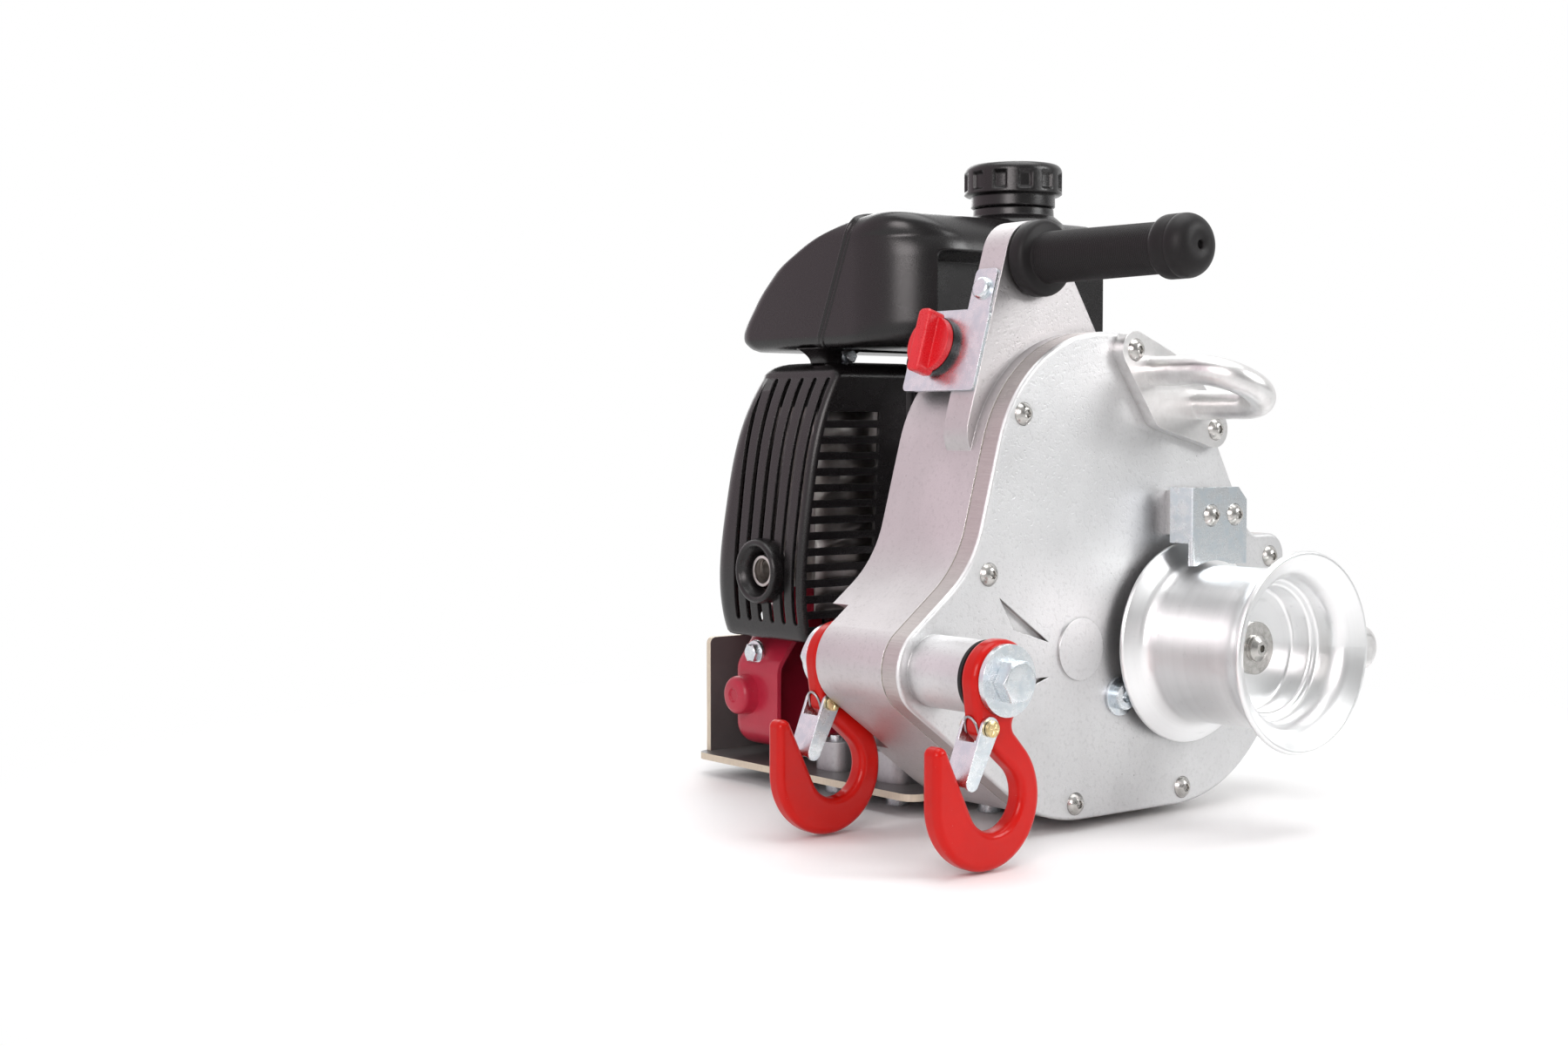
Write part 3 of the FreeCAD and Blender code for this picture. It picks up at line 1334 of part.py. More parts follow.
def rope_guide():
    """The lens-shaped plate on the cover and the bent bar that the rope passes through."""
    body = new_body("rope_guide", S.guide_leg_x, -S.guide_plate_thickness, S.guide_leg_z,
                    (0, 1, 0), S.guide_lean_deg)
    across = cos(S.guide_lean_deg)
    lift = sin(S.guide_lean_deg)

    def local(x, z):
        dx, dz = x - S.guide_leg_x, z - S.guide_leg_z
        return dx * across - dz * lift, dx * lift + dz * across

    lens = new_sketch(body, "XZ_Plane")
    ends = [(S.guide_left_x, S.guide_left_z, S.guide_end_r),
            (S.guide_right_x, S.guide_right_z, S.guide_end_r),
            (S.guide_crown_x, S.guide_crown_z, S.guide_crown_r)]
    left, right = local(ends[0][0], ends[0][1]), local(ends[1][0], ends[1][1])
    belly = local(S.guide_belly_x, S.guide_belly_z)
    draw_belt(lens, [(left[0], left[1], S.guide_end_r, 1),
                     (belly[0], belly[1], S.guide_belly_r, 1),
                     (right[0], right[1], S.guide_end_r, 1),
                     (local(S.guide_crown_x, S.guide_crown_z) + (S.guide_crown_r, 1))])
    pad(body, lens, S.guide_plate_thickness, back=True)
    drill(body, [left, right], S.screw_r + S.screw_hole_gap, ZERO, S.guide_plate_thickness)
    spine = new_sketch(body, "XY_Plane")
    run = S.guide_run
    bend = S.guide_pitch / 2
    start, turn = Vector(0, 0, 0), Vector(0, -float(run), 0)
    middle = Vector(float(bend), -float(run), 0)
    far, end = Vector(float(S.guide_pitch), -float(run), 0), Vector(float(S.guide_pitch), 0, 0)
    first = spine.addGeometry(Part.LineSegment(start, turn), False)
    arc = spine.addGeometry(Part.ArcOfCircle(
        Part.Circle(middle, Vector(0, 0, 1), float(bend)), math.pi, 2 * math.pi), False)
    last = spine.addGeometry(Part.LineSegment(far, end), False)
    spine.addConstraint(Sketcher.Constraint("Tangent", first, 2, arc, 1))
    spine.addConstraint(Sketcher.Constraint("Tangent", arc, 2, last, 1))
    spine.addConstraint(Sketcher.Constraint("Coincident", first, 1, -1, 1))
    hold(spine, "DistanceX", arc, 3, bend)
    hold(spine, "DistanceY", arc, 3, -run)
    hold_radius(spine, arc, bend)
    hold(spine, "DistanceY", last, 2, ZERO)
    profile = new_sketch(body, "XZ_Plane")
    draw_circle(profile, ZERO, ZERO, S.guide_bar_r)
    bar = body.newObject("PartDesign::AdditivePipe", "rope_guide_bar")
    bar.Profile = profile
    bar.Spine = (spine, [])
    doc.recompute()


def guide_pin():
    seat = CASE_FRONT + S.ear_start
    front = -S.pin_front
    body = turned("guide_pin", [
        (ZERO, front), (S.pin_r, front), (S.pin_r, seat), (S.pin_shank_r, seat),
        (S.pin_shank_r, seat + S.ear_depth), (ZERO, seat + S.ear_depth)], S.pin_x, ZERO, S.pin_z)
    round_edges(body, S.pin_round, flat_at("Y", front))


def handle():
    """The bar screwed into the arch of the case and the rubber grip over it."""
    root = ARCH_FRONT + S.handle_bar_root
    turned("handle_bar", [
        (ZERO, root), (ZERO, GRIP_FRONT + S.grip_cap), (S.handle_bar_r, GRIP_FRONT + S.grip_cap),
        (S.handle_bar_r, root)], S.handle_x, ZERO, S.handle_z)
    collar = ARCH_FRONT - S.grip_collar_width
    bulb = GRIP_FRONT + S.grip_bulb_width
    slope = S.grip_bulb_r - S.grip_r
    bore = S.handle_bar_r + S.fit_gap
    grip = turned("handle_grip", [
        (ZERO, GRIP_FRONT), (S.grip_bulb_r, GRIP_FRONT), (S.grip_bulb_r, bulb),
        (S.grip_r, bulb + slope), (S.grip_r, collar - slope), (S.grip_collar_r, collar),
        (S.grip_collar_r, ARCH_FRONT), (bore, ARCH_FRONT), (bore, GRIP_FRONT + S.grip_cap),
        (ZERO, GRIP_FRONT + S.grip_cap)], S.handle_x, ZERO, S.handle_z)
    round_edges(grip, S.grip_round, flat_at("Y", GRIP_FRONT))
    drill(grip, [(ZERO, ZERO)], S.grip_vent_r, GRIP_FRONT, S.grip_vent_depth)


def block(label, left, right, front, rear, low, high, corner, edge=None):
    """A rectangular piece with round corners, seen from above, and a rounded top and bottom."""
    body = new_body(label)
    outline = new_sketch(body, "XY_Plane", low)
    draw_belt(outline, rounded_box(left, right, front, rear, corner))
    pad(body, outline, high - low)
    if edge is not None:
        top, bottom = flat_at("Z", high), flat_at("Z", low)
        round_edges(body, edge, lambda e: top(e) or bottom(e))
    return body


def foot_places():
    """The four bolts of the engine's feet."""
    return [(x, y) for x in (S.foot_left_x, S.foot_right_x)
            for y in (S.foot_front_y, S.foot_rear_y)]


def case_foot_places():
    """The two bolts under the gear case: X, Y and the height of the case's underside."""
    y = CASE_BACK - S.case_foot_setback
    return [(S.low_left_x, y, S.low_left_z - S.low_left_r),
            (S.drum_x, y, S.drum_z - S.low_right_r)]


def base():
    """The base plate with its upright rear wall, and the bolts that the winch stands on."""
    low = S.plate_top_z - S.plate_thickness
    body = new_body("base_plate")
    sheet = new_sketch(body, "XY_Plane", low)
    draw_belt(sheet, rounded_box(S.plate_left_x, S.plate_right_x, S.plate_front_y,
                                 PLATE_REAR, S.plate_corner))
    pad(body, sheet, S.plate_thickness)
    wall = new_sketch(body, "XZ_Plane", PLATE_REAR)
    draw_belt(wall, rounded_box(S.plate_left_x + S.plate_corner, S.plate_right_x - S.plate_corner,
                                low, S.plate_top_z + S.plate_wall_height, S.plate_thickness))
    pad(body, wall, S.plate_thickness)
    drill(body, foot_places(), S.foot_bolt_r + S.screw_hole_gap, S.plate_top_z,
          S.plate_thickness, "XY_Plane")
    bolts = new_body("foot_bolts")
    under = low - S.foot_washer_thickness
    heads = new_sketch(bolts, "XY_Plane", GROUND_Z)
    for x, y in foot_places():
        draw_circle(heads, x, y, S.foot_head_flat / 2)
    pad(bolts, heads, under - GROUND_Z)
    washers = new_sketch(bolts, "XY_Plane", under)
    for x, y in foot_places():
        draw_circle(washers, x, y, S.foot_washer_r)
    pad(bolts, washers, S.foot_washer_thickness)
    shanks = new_sketch(bolts, "XY_Plane", low)
    for x, y in foot_places():
        draw_circle(shanks, x, y, S.foot_bolt_r)
    pad(bolts, shanks, S.foot_bolt_reach)
    for x, y, top in case_foot_places():
        head = new_sketch(bolts, "XY_Plane", GROUND_Z)
        draw_circle(head, x, y, S.foot_head_flat / 2)
        pad(bolts, head, top - GROUND_Z)
        shank = new_sketch(bolts, "XY_Plane", GROUND_Z)
        draw_circle(shank, x, y, S.foot_bolt_r)
        pad(bolts, shank, top - GROUND_Z + S.case_foot_reach)


def engine_block():
    """The crankcase with its feet, and the cylinder with fins, head and rocker cover."""
    body = new_body("crankcase")
    outline = new_sketch(body, "XZ_Plane", S.engine_front_y)
    draw_belt(outline, rounded_box(S.crankcase_left_x, S.crankcase_right_x, S.crankcase_low_z,
                                   S.crankcase_top_z, S.crankcase_round))
    pad(body, outline, S.engine_rear_y - S.engine_front_y, back=True)
    feet = new_sketch(body, "XY_Plane", S.plate_top_z)
    for y in (S.foot_front_y, S.foot_rear_y):
        half = S.engine_foot_width / 2
        draw_belt(feet, rounded_box(S.crankcase_left_x - S.engine_foot_reach,
                                    S.crankcase_right_x + S.engine_foot_reach,
                                    y - half, y + half, S.plate_corner))
    pad(body, feet, S.engine_foot_height)
    drill(body, foot_places(), S.foot_bolt_r + S.screw_hole_gap,
          S.plate_top_z + S.engine_foot_height, S.engine_foot_height, "XY_Plane")
    drill(body, [(S.drum_x, S.drum_z)], S.crank_r + S.running_gap, S.engine_front_y,
          S.engine_rear_y - S.engine_front_y)
    filler = new_sketch(body, "YZ_Plane", S.crankcase_left_x)
    draw_circle(filler, S.oil_y, S.oil_z, S.oil_stem_r + S.running_gap)
    pocket(body, filler, S.oil_stem_reach, back=True)
    fins = new_body("cylinder")
    core = new_sketch(fins, "XY_Plane", S.crankcase_top_z)
    draw_circle(core, S.drum_x, S.cylinder_y, S.cylinder_r)
    head_z = S.crankcase_top_z + S.fin_pitch * S.fin_count
    pad(fins, core, head_z - S.crankcase_top_z)
    fin = new_sketch(fins, "XY_Plane", S.crankcase_top_z + S.fin_pitch - S.fin_thickness)
    draw_belt(fin, rounded_box(S.fin_left_x, S.fin_right_x, S.fin_front_y, S.fin_rear_y,
                               S.fin_round))
    one = pad(fins, fin, S.fin_thickness)
    pattern(fins, "LinearPattern", [one], "Z_Axis", S.fin_count,
            S.fin_pitch * (S.fin_count - 1))
    head = new_sketch(fins, "XY_Plane", head_z)
    draw_belt(head, rounded_box(S.fin_left_x, S.fin_right_x, S.fin_front_y, S.fin_rear_y,
                                S.head_round))
    pad(fins, head, S.head_height)
    inner = S.rocker_inset
    rocker = new_sketch(fins, "XY_Plane", head_z + S.head_height)
    draw_belt(rocker, rounded_box(S.fin_left_x + inner, S.fin_right_x - inner,
                                  S.fin_front_y + inner, S.fin_rear_y - inner, S.head_round))
    pad(fins, rocker, S.rocker_height)
    round_edges(fins, S.rocker_round, flat_at("Z", head_z + S.head_height + S.rocker_height))
    plug = new_sketch(fins, "XZ_Plane", S.fin_front_y)
    draw_circle(plug, S.drum_x, head_z + S.head_height / 2, S.plug_stem_r + S.fit_gap)
    pocket(fins, plug, S.plug_stem_reach)


def head_middle_z():
    """The height of the middle of the cylinder head."""
    return S.crankcase_top_z + S.fin_pitch * S.fin_count + S.head_height / 2


def tank_bracket():
    """The sheet bridge that stands on the cylinder head and carries the tank."""
    low = head_middle_z() + S.head_height / 2
    left = S.fin_left_x + S.tank_leg_sheet / 2
    right = S.fin_right_x - S.tank_leg_sheet / 2
    body = new_body("tank_bracket", y=S.cylinder_y)
    bridge = new_sketch(body, "XZ_Plane")
    draw_polygon(bridge, [
        (left, low), (left + S.tank_leg_sheet, low),
        (left + S.tank_leg_sheet, S.tank_low_z - S.tank_leg_sheet),
        (right - S.tank_leg_sheet, S.tank_low_z - S.tank_leg_sheet),
        (right - S.tank_leg_sheet, low), (right, low), (right, S.tank_low_z),
        (left, S.tank_low_z)])
    pad(body, bridge, S.tank_leg_width, both=True)


def drive():
    """The crankshaft, the centrifugal clutch and the clutch housing."""
    x, z = S.drum_x, S.drum_z
    nose = S.engine_front_y - S.crank_nose
    tail = S.engine_rear_y + S.crank_tail
    turned("crankshaft", [(ZERO, nose), (S.crank_r, nose), (S.crank_r, tail), (ZERO, tail)],
           x, ZERO, z)
    rim, inner = CLUTCH_DRUM_R, CLUTCH_DRUM_R - S.clutch_drum_wall
    web = CLUTCH_Y + S.clutch_web
    mouth = CLUTCH_Y + S.clutch_drum_depth
    hub = CASE_BACK + S.clutch_hub_gap
    bore = S.input_shaft_r + S.fit_gap
    turned("clutch_drum", [
        (bore, hub), (S.clutch_hub_r, hub), (S.clutch_hub_r, CLUTCH_Y), (rim, CLUTCH_Y),
        (rim, mouth), (inner, mouth), (inner, web), (bore, web)], x, ZERO, z)
    shoes = new_body("clutch_shoes", x, nose, z)
    disc = new_sketch(shoes, "XZ_Plane")
    draw_circle(disc, ZERO, ZERO, inner - S.clutch_shoe_gap)
    pad(shoes, disc, S.clutch_shoe_width, back=True)
    slots = new_sketch(shoes, "XZ_Plane")
    half = S.clutch_shoe_slot / 2
    draw_box(slots, S.clutch_hub_r, rim, -half, half)
    draw_box(slots, -rim, -S.clutch_hub_r, -half, half)
    pocket(shoes, slots, S.clutch_shoe_width)
    drill(shoes, [(ZERO, ZERO)], S.crank_r + S.fit_gap, ZERO, S.clutch_shoe_width)
    housing = new_body("clutch_housing", x, CASE_BACK, z)
    ring(housing, ZERO, ZERO, ZERO, S.clutch_housing_r,
         S.clutch_housing_r - S.clutch_housing_wall, S.engine_front_y - CASE_BACK)


def fan_outline():
    """The fan cover's outline round the flywheel and its two ears."""
    return [(S.drum_x, S.drum_z, S.fan_cover_r, 1),
            (S.fan_ear_x, S.fan_ear_high_z, S.fan_ear_r, 1),
            (S.fan_ear_x, S.fan_ear_low_z, S.fan_ear_r, 1)]


def fan():
    """The fan cover with its two ears, and the flywheel whose blades draw the cooling air."""
    x, z = S.drum_x, S.drum_z
    body = new_body("fan_cover", y=S.engine_rear_y)
    circles = fan_outline()
    outline = new_sketch(body, "XZ_Plane")
    draw_belt(outline, circles)
    pad(body, outline, S.fan_cover_depth, back=True)
    round_edges(body, S.fan_cover_round, flat_at("Y", S.fan_cover_depth))
    hollow = new_sketch(body, "XZ_Plane")
    draw_belt(hollow, inset(circles, S.fan_cover_wall))
    pocket(body, hollow, S.fan_cover_depth - S.fan_cover_wall)
    drill(body, [(x, z)], S.starter_r - S.fan_cover_round, ZERO, S.fan_cover_depth)
    wheel = new_body("flywheel", x, S.engine_rear_y + S.flywheel_gap, z)
    bore = S.crank_r + S.fit_gap
    section = new_sketch(wheel, "XY_Plane")
    deep = S.flywheel_thickness + S.fan_blade_height
    draw_polygon(section, [(bore, ZERO), (S.flywheel_r, ZERO),
                           (S.flywheel_r, S.flywheel_thickness),
                           (S.fan_hub_r, S.flywheel_thickness), (S.fan_hub_r, deep),
                           (bore, deep)])
    revolve(wheel, section)
    blade = new_sketch(wheel, "XZ_Plane", S.flywheel_thickness)
    half = S.fan_blade_thickness / 2
    draw_box(blade, S.fan_blade_inner_r, S.flywheel_r - half, -half, half)
    one = pad(wheel, blade, S.fan_blade_height, back=True)
    pattern(wheel, "PolarPattern", [one], "Y_Axis", S.fan_blade_count, 360.0)


def starter():
    """The recoil starter: its case, the pulley on a post, the rope and the grip."""
    x, z = S.drum_x, S.drum_z
    rope_x = x + S.pulley_r - S.pulley_groove + S.rope_r + S.side_gap
    rope_y = FAN_BACK + S.starter_depth / 2
    body = new_body("starter_case", x, FAN_BACK, z)
    disc = new_sketch(body, "XZ_Plane")
    draw_circle(disc, ZERO, ZERO, S.starter_r)
    pad(body, disc, S.starter_depth, back=True)
    round_edges(body, S.starter_round, flat_at("Y", S.starter_depth))
    eye = new_sketch(body, "XY_Plane")
    draw_circle(eye, rope_x - x, S.starter_depth / 2, S.rope_guide_r)
    pad(body, eye, S.starter_r + S.starter_eye_rise)
    hollow = new_sketch(body, "XZ_Plane")
    draw_circle(hollow, ZERO, ZERO, S.starter_r - S.starter_wall)
    pocket(body, hollow, S.starter_depth - S.starter_wall)
    post = new_sketch(body, "XZ_Plane", S.starter_post_start)
    draw_circle(post, ZERO, ZERO, S.pulley_post_r)
    pad(body, post, S.starter_depth - S.starter_post_start, back=True)
    drill(body, [(rope_x - x, S.starter_depth / 2)], S.rope_guide_bore,
          S.starter_r + S.starter_eye_rise, S.starter_r, "XY_Plane")
    slot = new_sketch(body, "XZ_Plane", S.starter_depth - S.starter_wall)
    draw_circle(slot, S.starter_slot_circle_r, ZERO, S.starter_slot_r)
    one = pocket(body, slot, S.starter_wall)
    pattern(body, "PolarPattern", [one], "Y_Axis", S.starter_slot_count, 360.0)
    half = S.pulley_width / 2
    lip = S.pulley_groove
    bore = S.pulley_post_r + S.running_gap
    turned("starter_pulley", [
        (bore, -half), (S.pulley_r, -half), (S.pulley_r - lip, -S.rope_r),
        (S.pulley_r - lip, S.rope_r), (S.pulley_r, half), (bore, half)], x, rope_y, z)
    grip_z = z + S.starter_r + S.starter_eye_rise + S.rope_show
    rope = new_body("starter_rope", rope_x, rope_y, z)
    strand = new_sketch(rope, "XY_Plane")
    draw_circle(strand, ZERO, ZERO, S.rope_r)
    pad(rope, strand, grip_z - z)
    grip = new_body("starter_grip", rope_x, rope_y, grip_z)
    shape = new_sketch(grip, "XZ_Plane")
    wide = S.starter_grip_width / 2
    draw_belt(shape, rounded_box(-wide, wide, ZERO, S.starter_grip_height, S.starter_grip_round))
    pad(grip, shape, S.starter_grip_depth, both=True)
    deep = S.starter_grip_depth / 2
    front, rear = flat_at("Y", -deep), flat_at("Y", deep)
    round_edges(grip, S.starter_grip_edge, lambda edge: front(edge) or rear(edge))


def muffler():
    """The muffler with its outlet, its port to the head and the plate behind its cover."""
    body = block("muffler", S.muffler_left_x, S.muffler_right_x, S.muffler_front_y,
                 S.muffler_rear_y, S.muffler_low_z, S.muffler_top_z, S.muffler_round)
    port = new_sketch(body, "YZ_Plane", S.muffler_right_x)
    draw_circle(port, S.port_y, head_middle_z(), S.port_r)
    pad(body, port, S.fin_left_x - S.muffler_right_x)
    plate = new_sketch(body, "YZ_Plane", S.shield_right_x)
    draw_box(plate, S.shield_low_front_y, S.engine_rear_y - S.fan_clearance,
             S.crankcase_top_z + S.crankcase_clearance, S.shield_top_z)
    pad(body, plate, S.shield_wall)
    outlet = new_sketch(body, "YZ_Plane", S.muffler_left_x)
    draw_circle(outlet, S.exhaust_y, S.exhaust_z, S.exhaust_r)
    pad(body, outlet, S.muffler_left_x - exhaust_tip_x(), back=True)
    bore = new_sketch(body, "YZ_Plane", exhaust_tip_x())
    draw_circle(bore, S.exhaust_y, S.exhaust_z, S.exhaust_bore_r)
    pocket(body, bore, S.muffler_left_x - exhaust_tip_x(), back=True)


def exhaust_tip_x():
    """The outer end of the exhaust, just inside the cover's leaning left wall."""
    rise = (S.exhaust_z + S.exhaust_r - S.shield_low_z) / (S.shield_top_z - S.shield_low_z)
    lean = (S.shield_top_left_x - S.shield_low_left_x) * rise
    return S.shield_low_left_x + S.shield_wall + lean + S.side_gap


def muffler_shield():
    """The louvred cover round the muffler, open towards the engine and underneath."""
    body = new_body("muffler_shield")

    def section(height, left, front, rear, wall):
        sketch = new_sketch(body, "XY_Plane", height)
        right, corner = S.shield_right_x, S.shield_round
        x = left + wall + corner
        steps = int(float(S.shield_round_steps))
        turns = [S.half_turn_deg / 2 * k / steps for k in range(steps + 1)]
        draw_polygon(sketch, [(right, front + wall), (right, rear - wall)]
                     + [(x - corner * sin(t), rear - wall - corner + corner * cos(t)) for t in turns]
                     + [(x - corner * cos(t), front + wall + corner - corner * sin(t))
                        for t in turns])
        return sketch

    for kind, wall in (("AdditiveLoft", ZERO), ("SubtractiveLoft", S.shield_wall)):
        low = section(S.shield_low_z, S.shield_low_left_x, S.shield_low_front_y,
                      S.shield_low_rear_y, wall)
        shoulder, top = [section(S.shield_top_z - wall - drop, S.shield_top_left_x,
                                 S.shield_top_front_y, S.shield_top_rear_y, wall + taper)
                         for drop, taper in ((S.shield_top_round, ZERO),
                                             (ZERO, S.shield_top_round))]
        skin = body.newObject("PartDesign::" + kind, "muffler_shield_" + kind.lower())
        skin.Profile = low
        skin.Sections = [shoulder, top]
        skin.Ruled = True
        doc.recompute()
    slots = new_sketch(body, "YZ_Plane", S.shield_low_left_x)
    half = S.shield_slot_width / 2
    foot = S.shield_low_front_y + S.shield_slot_low_inset
    crown = S.shield_top_front_y + S.shield_slot_top_inset
    for k in range(int(float(S.shield_slot_count))):
        low_y, top_y = foot + S.shield_slot_low_pitch * k, crown + S.shield_slot_top_pitch * k
        draw_polygon(slots, [
            (low_y - half, S.shield_slot_low_z), (low_y + half, S.shield_slot_low_z),
            (top_y + half, S.shield_slot_top_z), (top_y - half, S.shield_slot_top_z)])
    pocket(body, slots, S.shield_slot_reach, back=True)
    start = S.engine_rear_y - S.fan_clearance
    around_fan = new_sketch(body, "XZ_Plane", start)
    draw_belt(around_fan, inset(fan_outline(), -S.fan_clearance))
    pocket(body, around_fan, S.shield_low_rear_y - start + S.fan_clearance)
    around_block = new_sketch(body, "XZ_Plane", S.shield_top_front_y)
    draw_box(around_block, S.crankcase_left_x - S.crankcase_clearance,
             S.shield_right_x + S.crankcase_clearance, S.shield_low_z - S.crankcase_clearance,
             S.crankcase_top_z + S.crankcase_clearance)
    pocket(body, around_block, S.shield_low_rear_y - S.shield_top_front_y)
    louvres = new_sketch(body, "XZ_Plane", S.shield_top_front_y)
    rise = (S.shield_louvre_top_z - S.shield_louvre_low_z) / (S.shield_louvre_count - 1)
    for k in range(int(float(S.shield_louvre_count))):
        low = S.shield_louvre_low_z + rise * k
        draw_box(louvres, S.shield_top_left_x + S.shield_louvre_left_inset,
                 S.shield_right_x - S.shield_louvre_right_inset, low,
                 low + S.shield_louvre_height)
    pocket(body, louvres, S.shield_louvre_reach)
    wall_x = exhaust_tip_x() - S.side_gap - S.shield_wall
    rim = new_sketch(body, "YZ_Plane", wall_x - S.outlet_ring_reach)
    draw_circle(rim, S.exhaust_y, S.exhaust_z, S.outlet_ring_r)
    pad(body, rim, S.outlet_ring_reach + S.shield_wall)
    hole = new_sketch(body, "YZ_Plane", S.shield_low_left_x)
    draw_circle(hole, S.exhaust_y, S.exhaust_z, S.outlet_ring_bore_r)
    pocket(body, hole, S.shield_slot_reach, back=True)


def tank():
    """The fuel tank with its neck, and the cap that closes the neck."""
    low, top, tail_z = S.tank_low_z, S.tank_top_z, S.tank_tail_z
    left, right, front, rear = S.tank_left_x, S.tank_right_x, S.tank_front_y, S.tank_rear_y
    wide, small, past = S.tank_plan_r, S.tank_plan_small_r, S.tank_corner_r
    body = new_body("fuel_tank")
    plan = new_sketch(body, "XY_Plane", low)
    draw_belt(plan, [
        (left + wide, front + wide, wide, 1), (right - small, front + small, small, 1),
        (right - small, rear - small, small, 1), (left + small, rear - small, small, 1)])
    pad(body, plan, top - low)
    tail = new_sketch(body, "YZ_Plane", left)
    draw_polygon(tail, [(S.tank_brow_y, top), (rear, tail_z), (rear + past, tail_z),
                        (rear + past, top + past), (S.tank_brow_y, top + past)])
    pocket(body, tail, right - left, back=True)
    across = along("X")
    round_edges(body, S.tank_brow_r, lambda edge: across(edge)
                and near(edge.BoundBox.YMin, S.tank_brow_y))
    outer = [flat_at("Z", top), flat_at("Z", low)]
    ring_low = float(tail_z - small)

    def upper(edge):
        box = edge.BoundBox
        inside = across(edge) and float(front) + 1 < box.YMin < float(rear) - 1
        return box.ZMin > ring_low and not inside and box.ZLength < float(top - tail_z) - 0.1 \
            and not along("Z")(edge)

    round_edges(body, S.tank_end_round, lambda edge: upper(edge) or outer[1](edge))
    notch = new_sketch(body, "XZ_Plane", front)
    draw_box(notch, S.tank_notch_x, right + past, low - past, S.tank_notch_z)
    pocket(body, notch, S.tank_notch_y - front)
    neck = new_sketch(body, "XY_Plane", top - S.tank_corner_r)
    draw_circle(neck, S.tank_neck_x, S.tank_neck_y, S.tank_neck_r)
    pad(body, neck, S.tank_corner_r + S.tank_neck_height)
    base_z = top + S.tank_neck_height - S.cap_overlap
    inside = S.tank_neck_r + S.cap_gap
    ceiling = S.cap_overlap + S.cap_gap
    full = S.cap_skirt_height + S.cap_height
    cap = turned("fuel_cap", [
        (inside, ZERO), (S.cap_skirt_r, ZERO), (S.cap_skirt_r, S.cap_skirt_height),
        (S.cap_r, S.cap_skirt_height), (S.cap_r, full), (ZERO, full), (ZERO, ceiling),
        (inside, ceiling)], S.tank_neck_x, S.tank_neck_y, base_z, "Z")
    round_edges(cap, S.cap_round, flat_at("Z", full))


def intake():
    """The air cleaner, the carburettor and its choke lever."""
    block("air_cleaner", S.cleaner_left_x, S.cleaner_right_x, S.cleaner_front_y,
          S.cleaner_rear_y, S.cleaner_low_z, S.cleaner_top_z, S.cleaner_round, S.carb_round)
    middle = (S.cleaner_front_y + S.cleaner_rear_y) / 2
    front = middle - S.carb_width / 2
    body = new_body("carburettor", y=middle)
    outline = new_sketch(body, "XZ_Plane")
    half = S.carb_height / 2
    draw_box(outline, S.fin_right_x, S.cleaner_left_x, S.carb_z - half, S.carb_z + half)
    pad(body, outline, S.carb_width, both=True)
    pivot_x = (S.fin_right_x + S.cleaner_left_x) / 2
    drill(body, [(pivot_x, S.carb_z)], S.choke_pin_r + S.running_gap, -S.carb_width / 2,
          S.choke_pin_reach)
    lever = new_body("choke_lever", pivot_x, front - S.side_gap, S.carb_z)
    arm = new_sketch(lever, "XZ_Plane")
    draw_belt(arm, [(ZERO, ZERO, S.choke_arm_half, 1), (ZERO, S.choke_arm, S.choke_arm_half, 1)])
    pad(lever, arm, S.choke_sheet)
    pin = new_sketch(lever, "XZ_Plane")
    draw_circle(pin, ZERO, ZERO, S.choke_pin_r)
    pad(lever, pin, S.choke_pin_reach, back=True)
    knob = new_sketch(lever, "XZ_Plane", -S.choke_sheet)
    draw_circle(knob, ZERO, S.choke_arm, S.choke_knob_r)
    pad(lever, knob, S.choke_knob_r)


def oil_cap():
    """The ribbed filler cap on the crankcase, along X."""
    body = new_body("oil_cap", S.crankcase_left_x - S.side_gap, S.oil_y, S.oil_z)
    rim = new_sketch(body, "YZ_Plane")
    draw_circle(rim, ZERO, ZERO, S.oil_cap_r)
    pad(body, rim, S.oil_cap_length, back=True)
    stem = new_sketch(body, "YZ_Plane")
    draw_circle(stem, ZERO, ZERO, S.oil_stem_r)
    pad(body, stem, S.oil_stem_reach)
    groove = new_sketch(body, "YZ_Plane")
    draw_circle(groove, S.oil_cap_r, ZERO, S.oil_rib_r)
    one = pocket(body, groove, S.oil_cap_length, back=False)
    pattern(body, "PolarPattern", [one], "X_Axis", S.oil_rib_count, 360.0)


def bent(points, bend, radius):
    """A round lead along straight runs with tangent arcs at their corners."""
    stations = [Vector(*(float(c) for c in point)) for point in points]
    edges, start = [], stations[0]
    for before, corner, after in zip(stations, stations[1:], stations[2:]):
        arrive = (corner - before).normalize()
        leave = (after - corner).normalize()
        reach = float(bend) * math.tan(arrive.getAngle(leave) / 2)
        one, two = corner - arrive * reach, corner + leave * reach
        inward = (leave - arrive).normalize()
        depth = float(bend) / math.cos(arrive.getAngle(leave) / 2) - float(bend)
        edges.append(Part.LineSegment(start, one).toShape())
        edges.append(Part.Arc(one, corner + inward * depth, two).toShape())
        start = two
    edges.append(Part.LineSegment(start, stations[-1]).toShape())
    heading = (stations[1] - stations[0]).normalize()
    section = Part.Wire(Part.Circle(stations[0], heading, float(radius)).toShape())
    return Part.Wire(edges).makePipeShell([section], True, False)


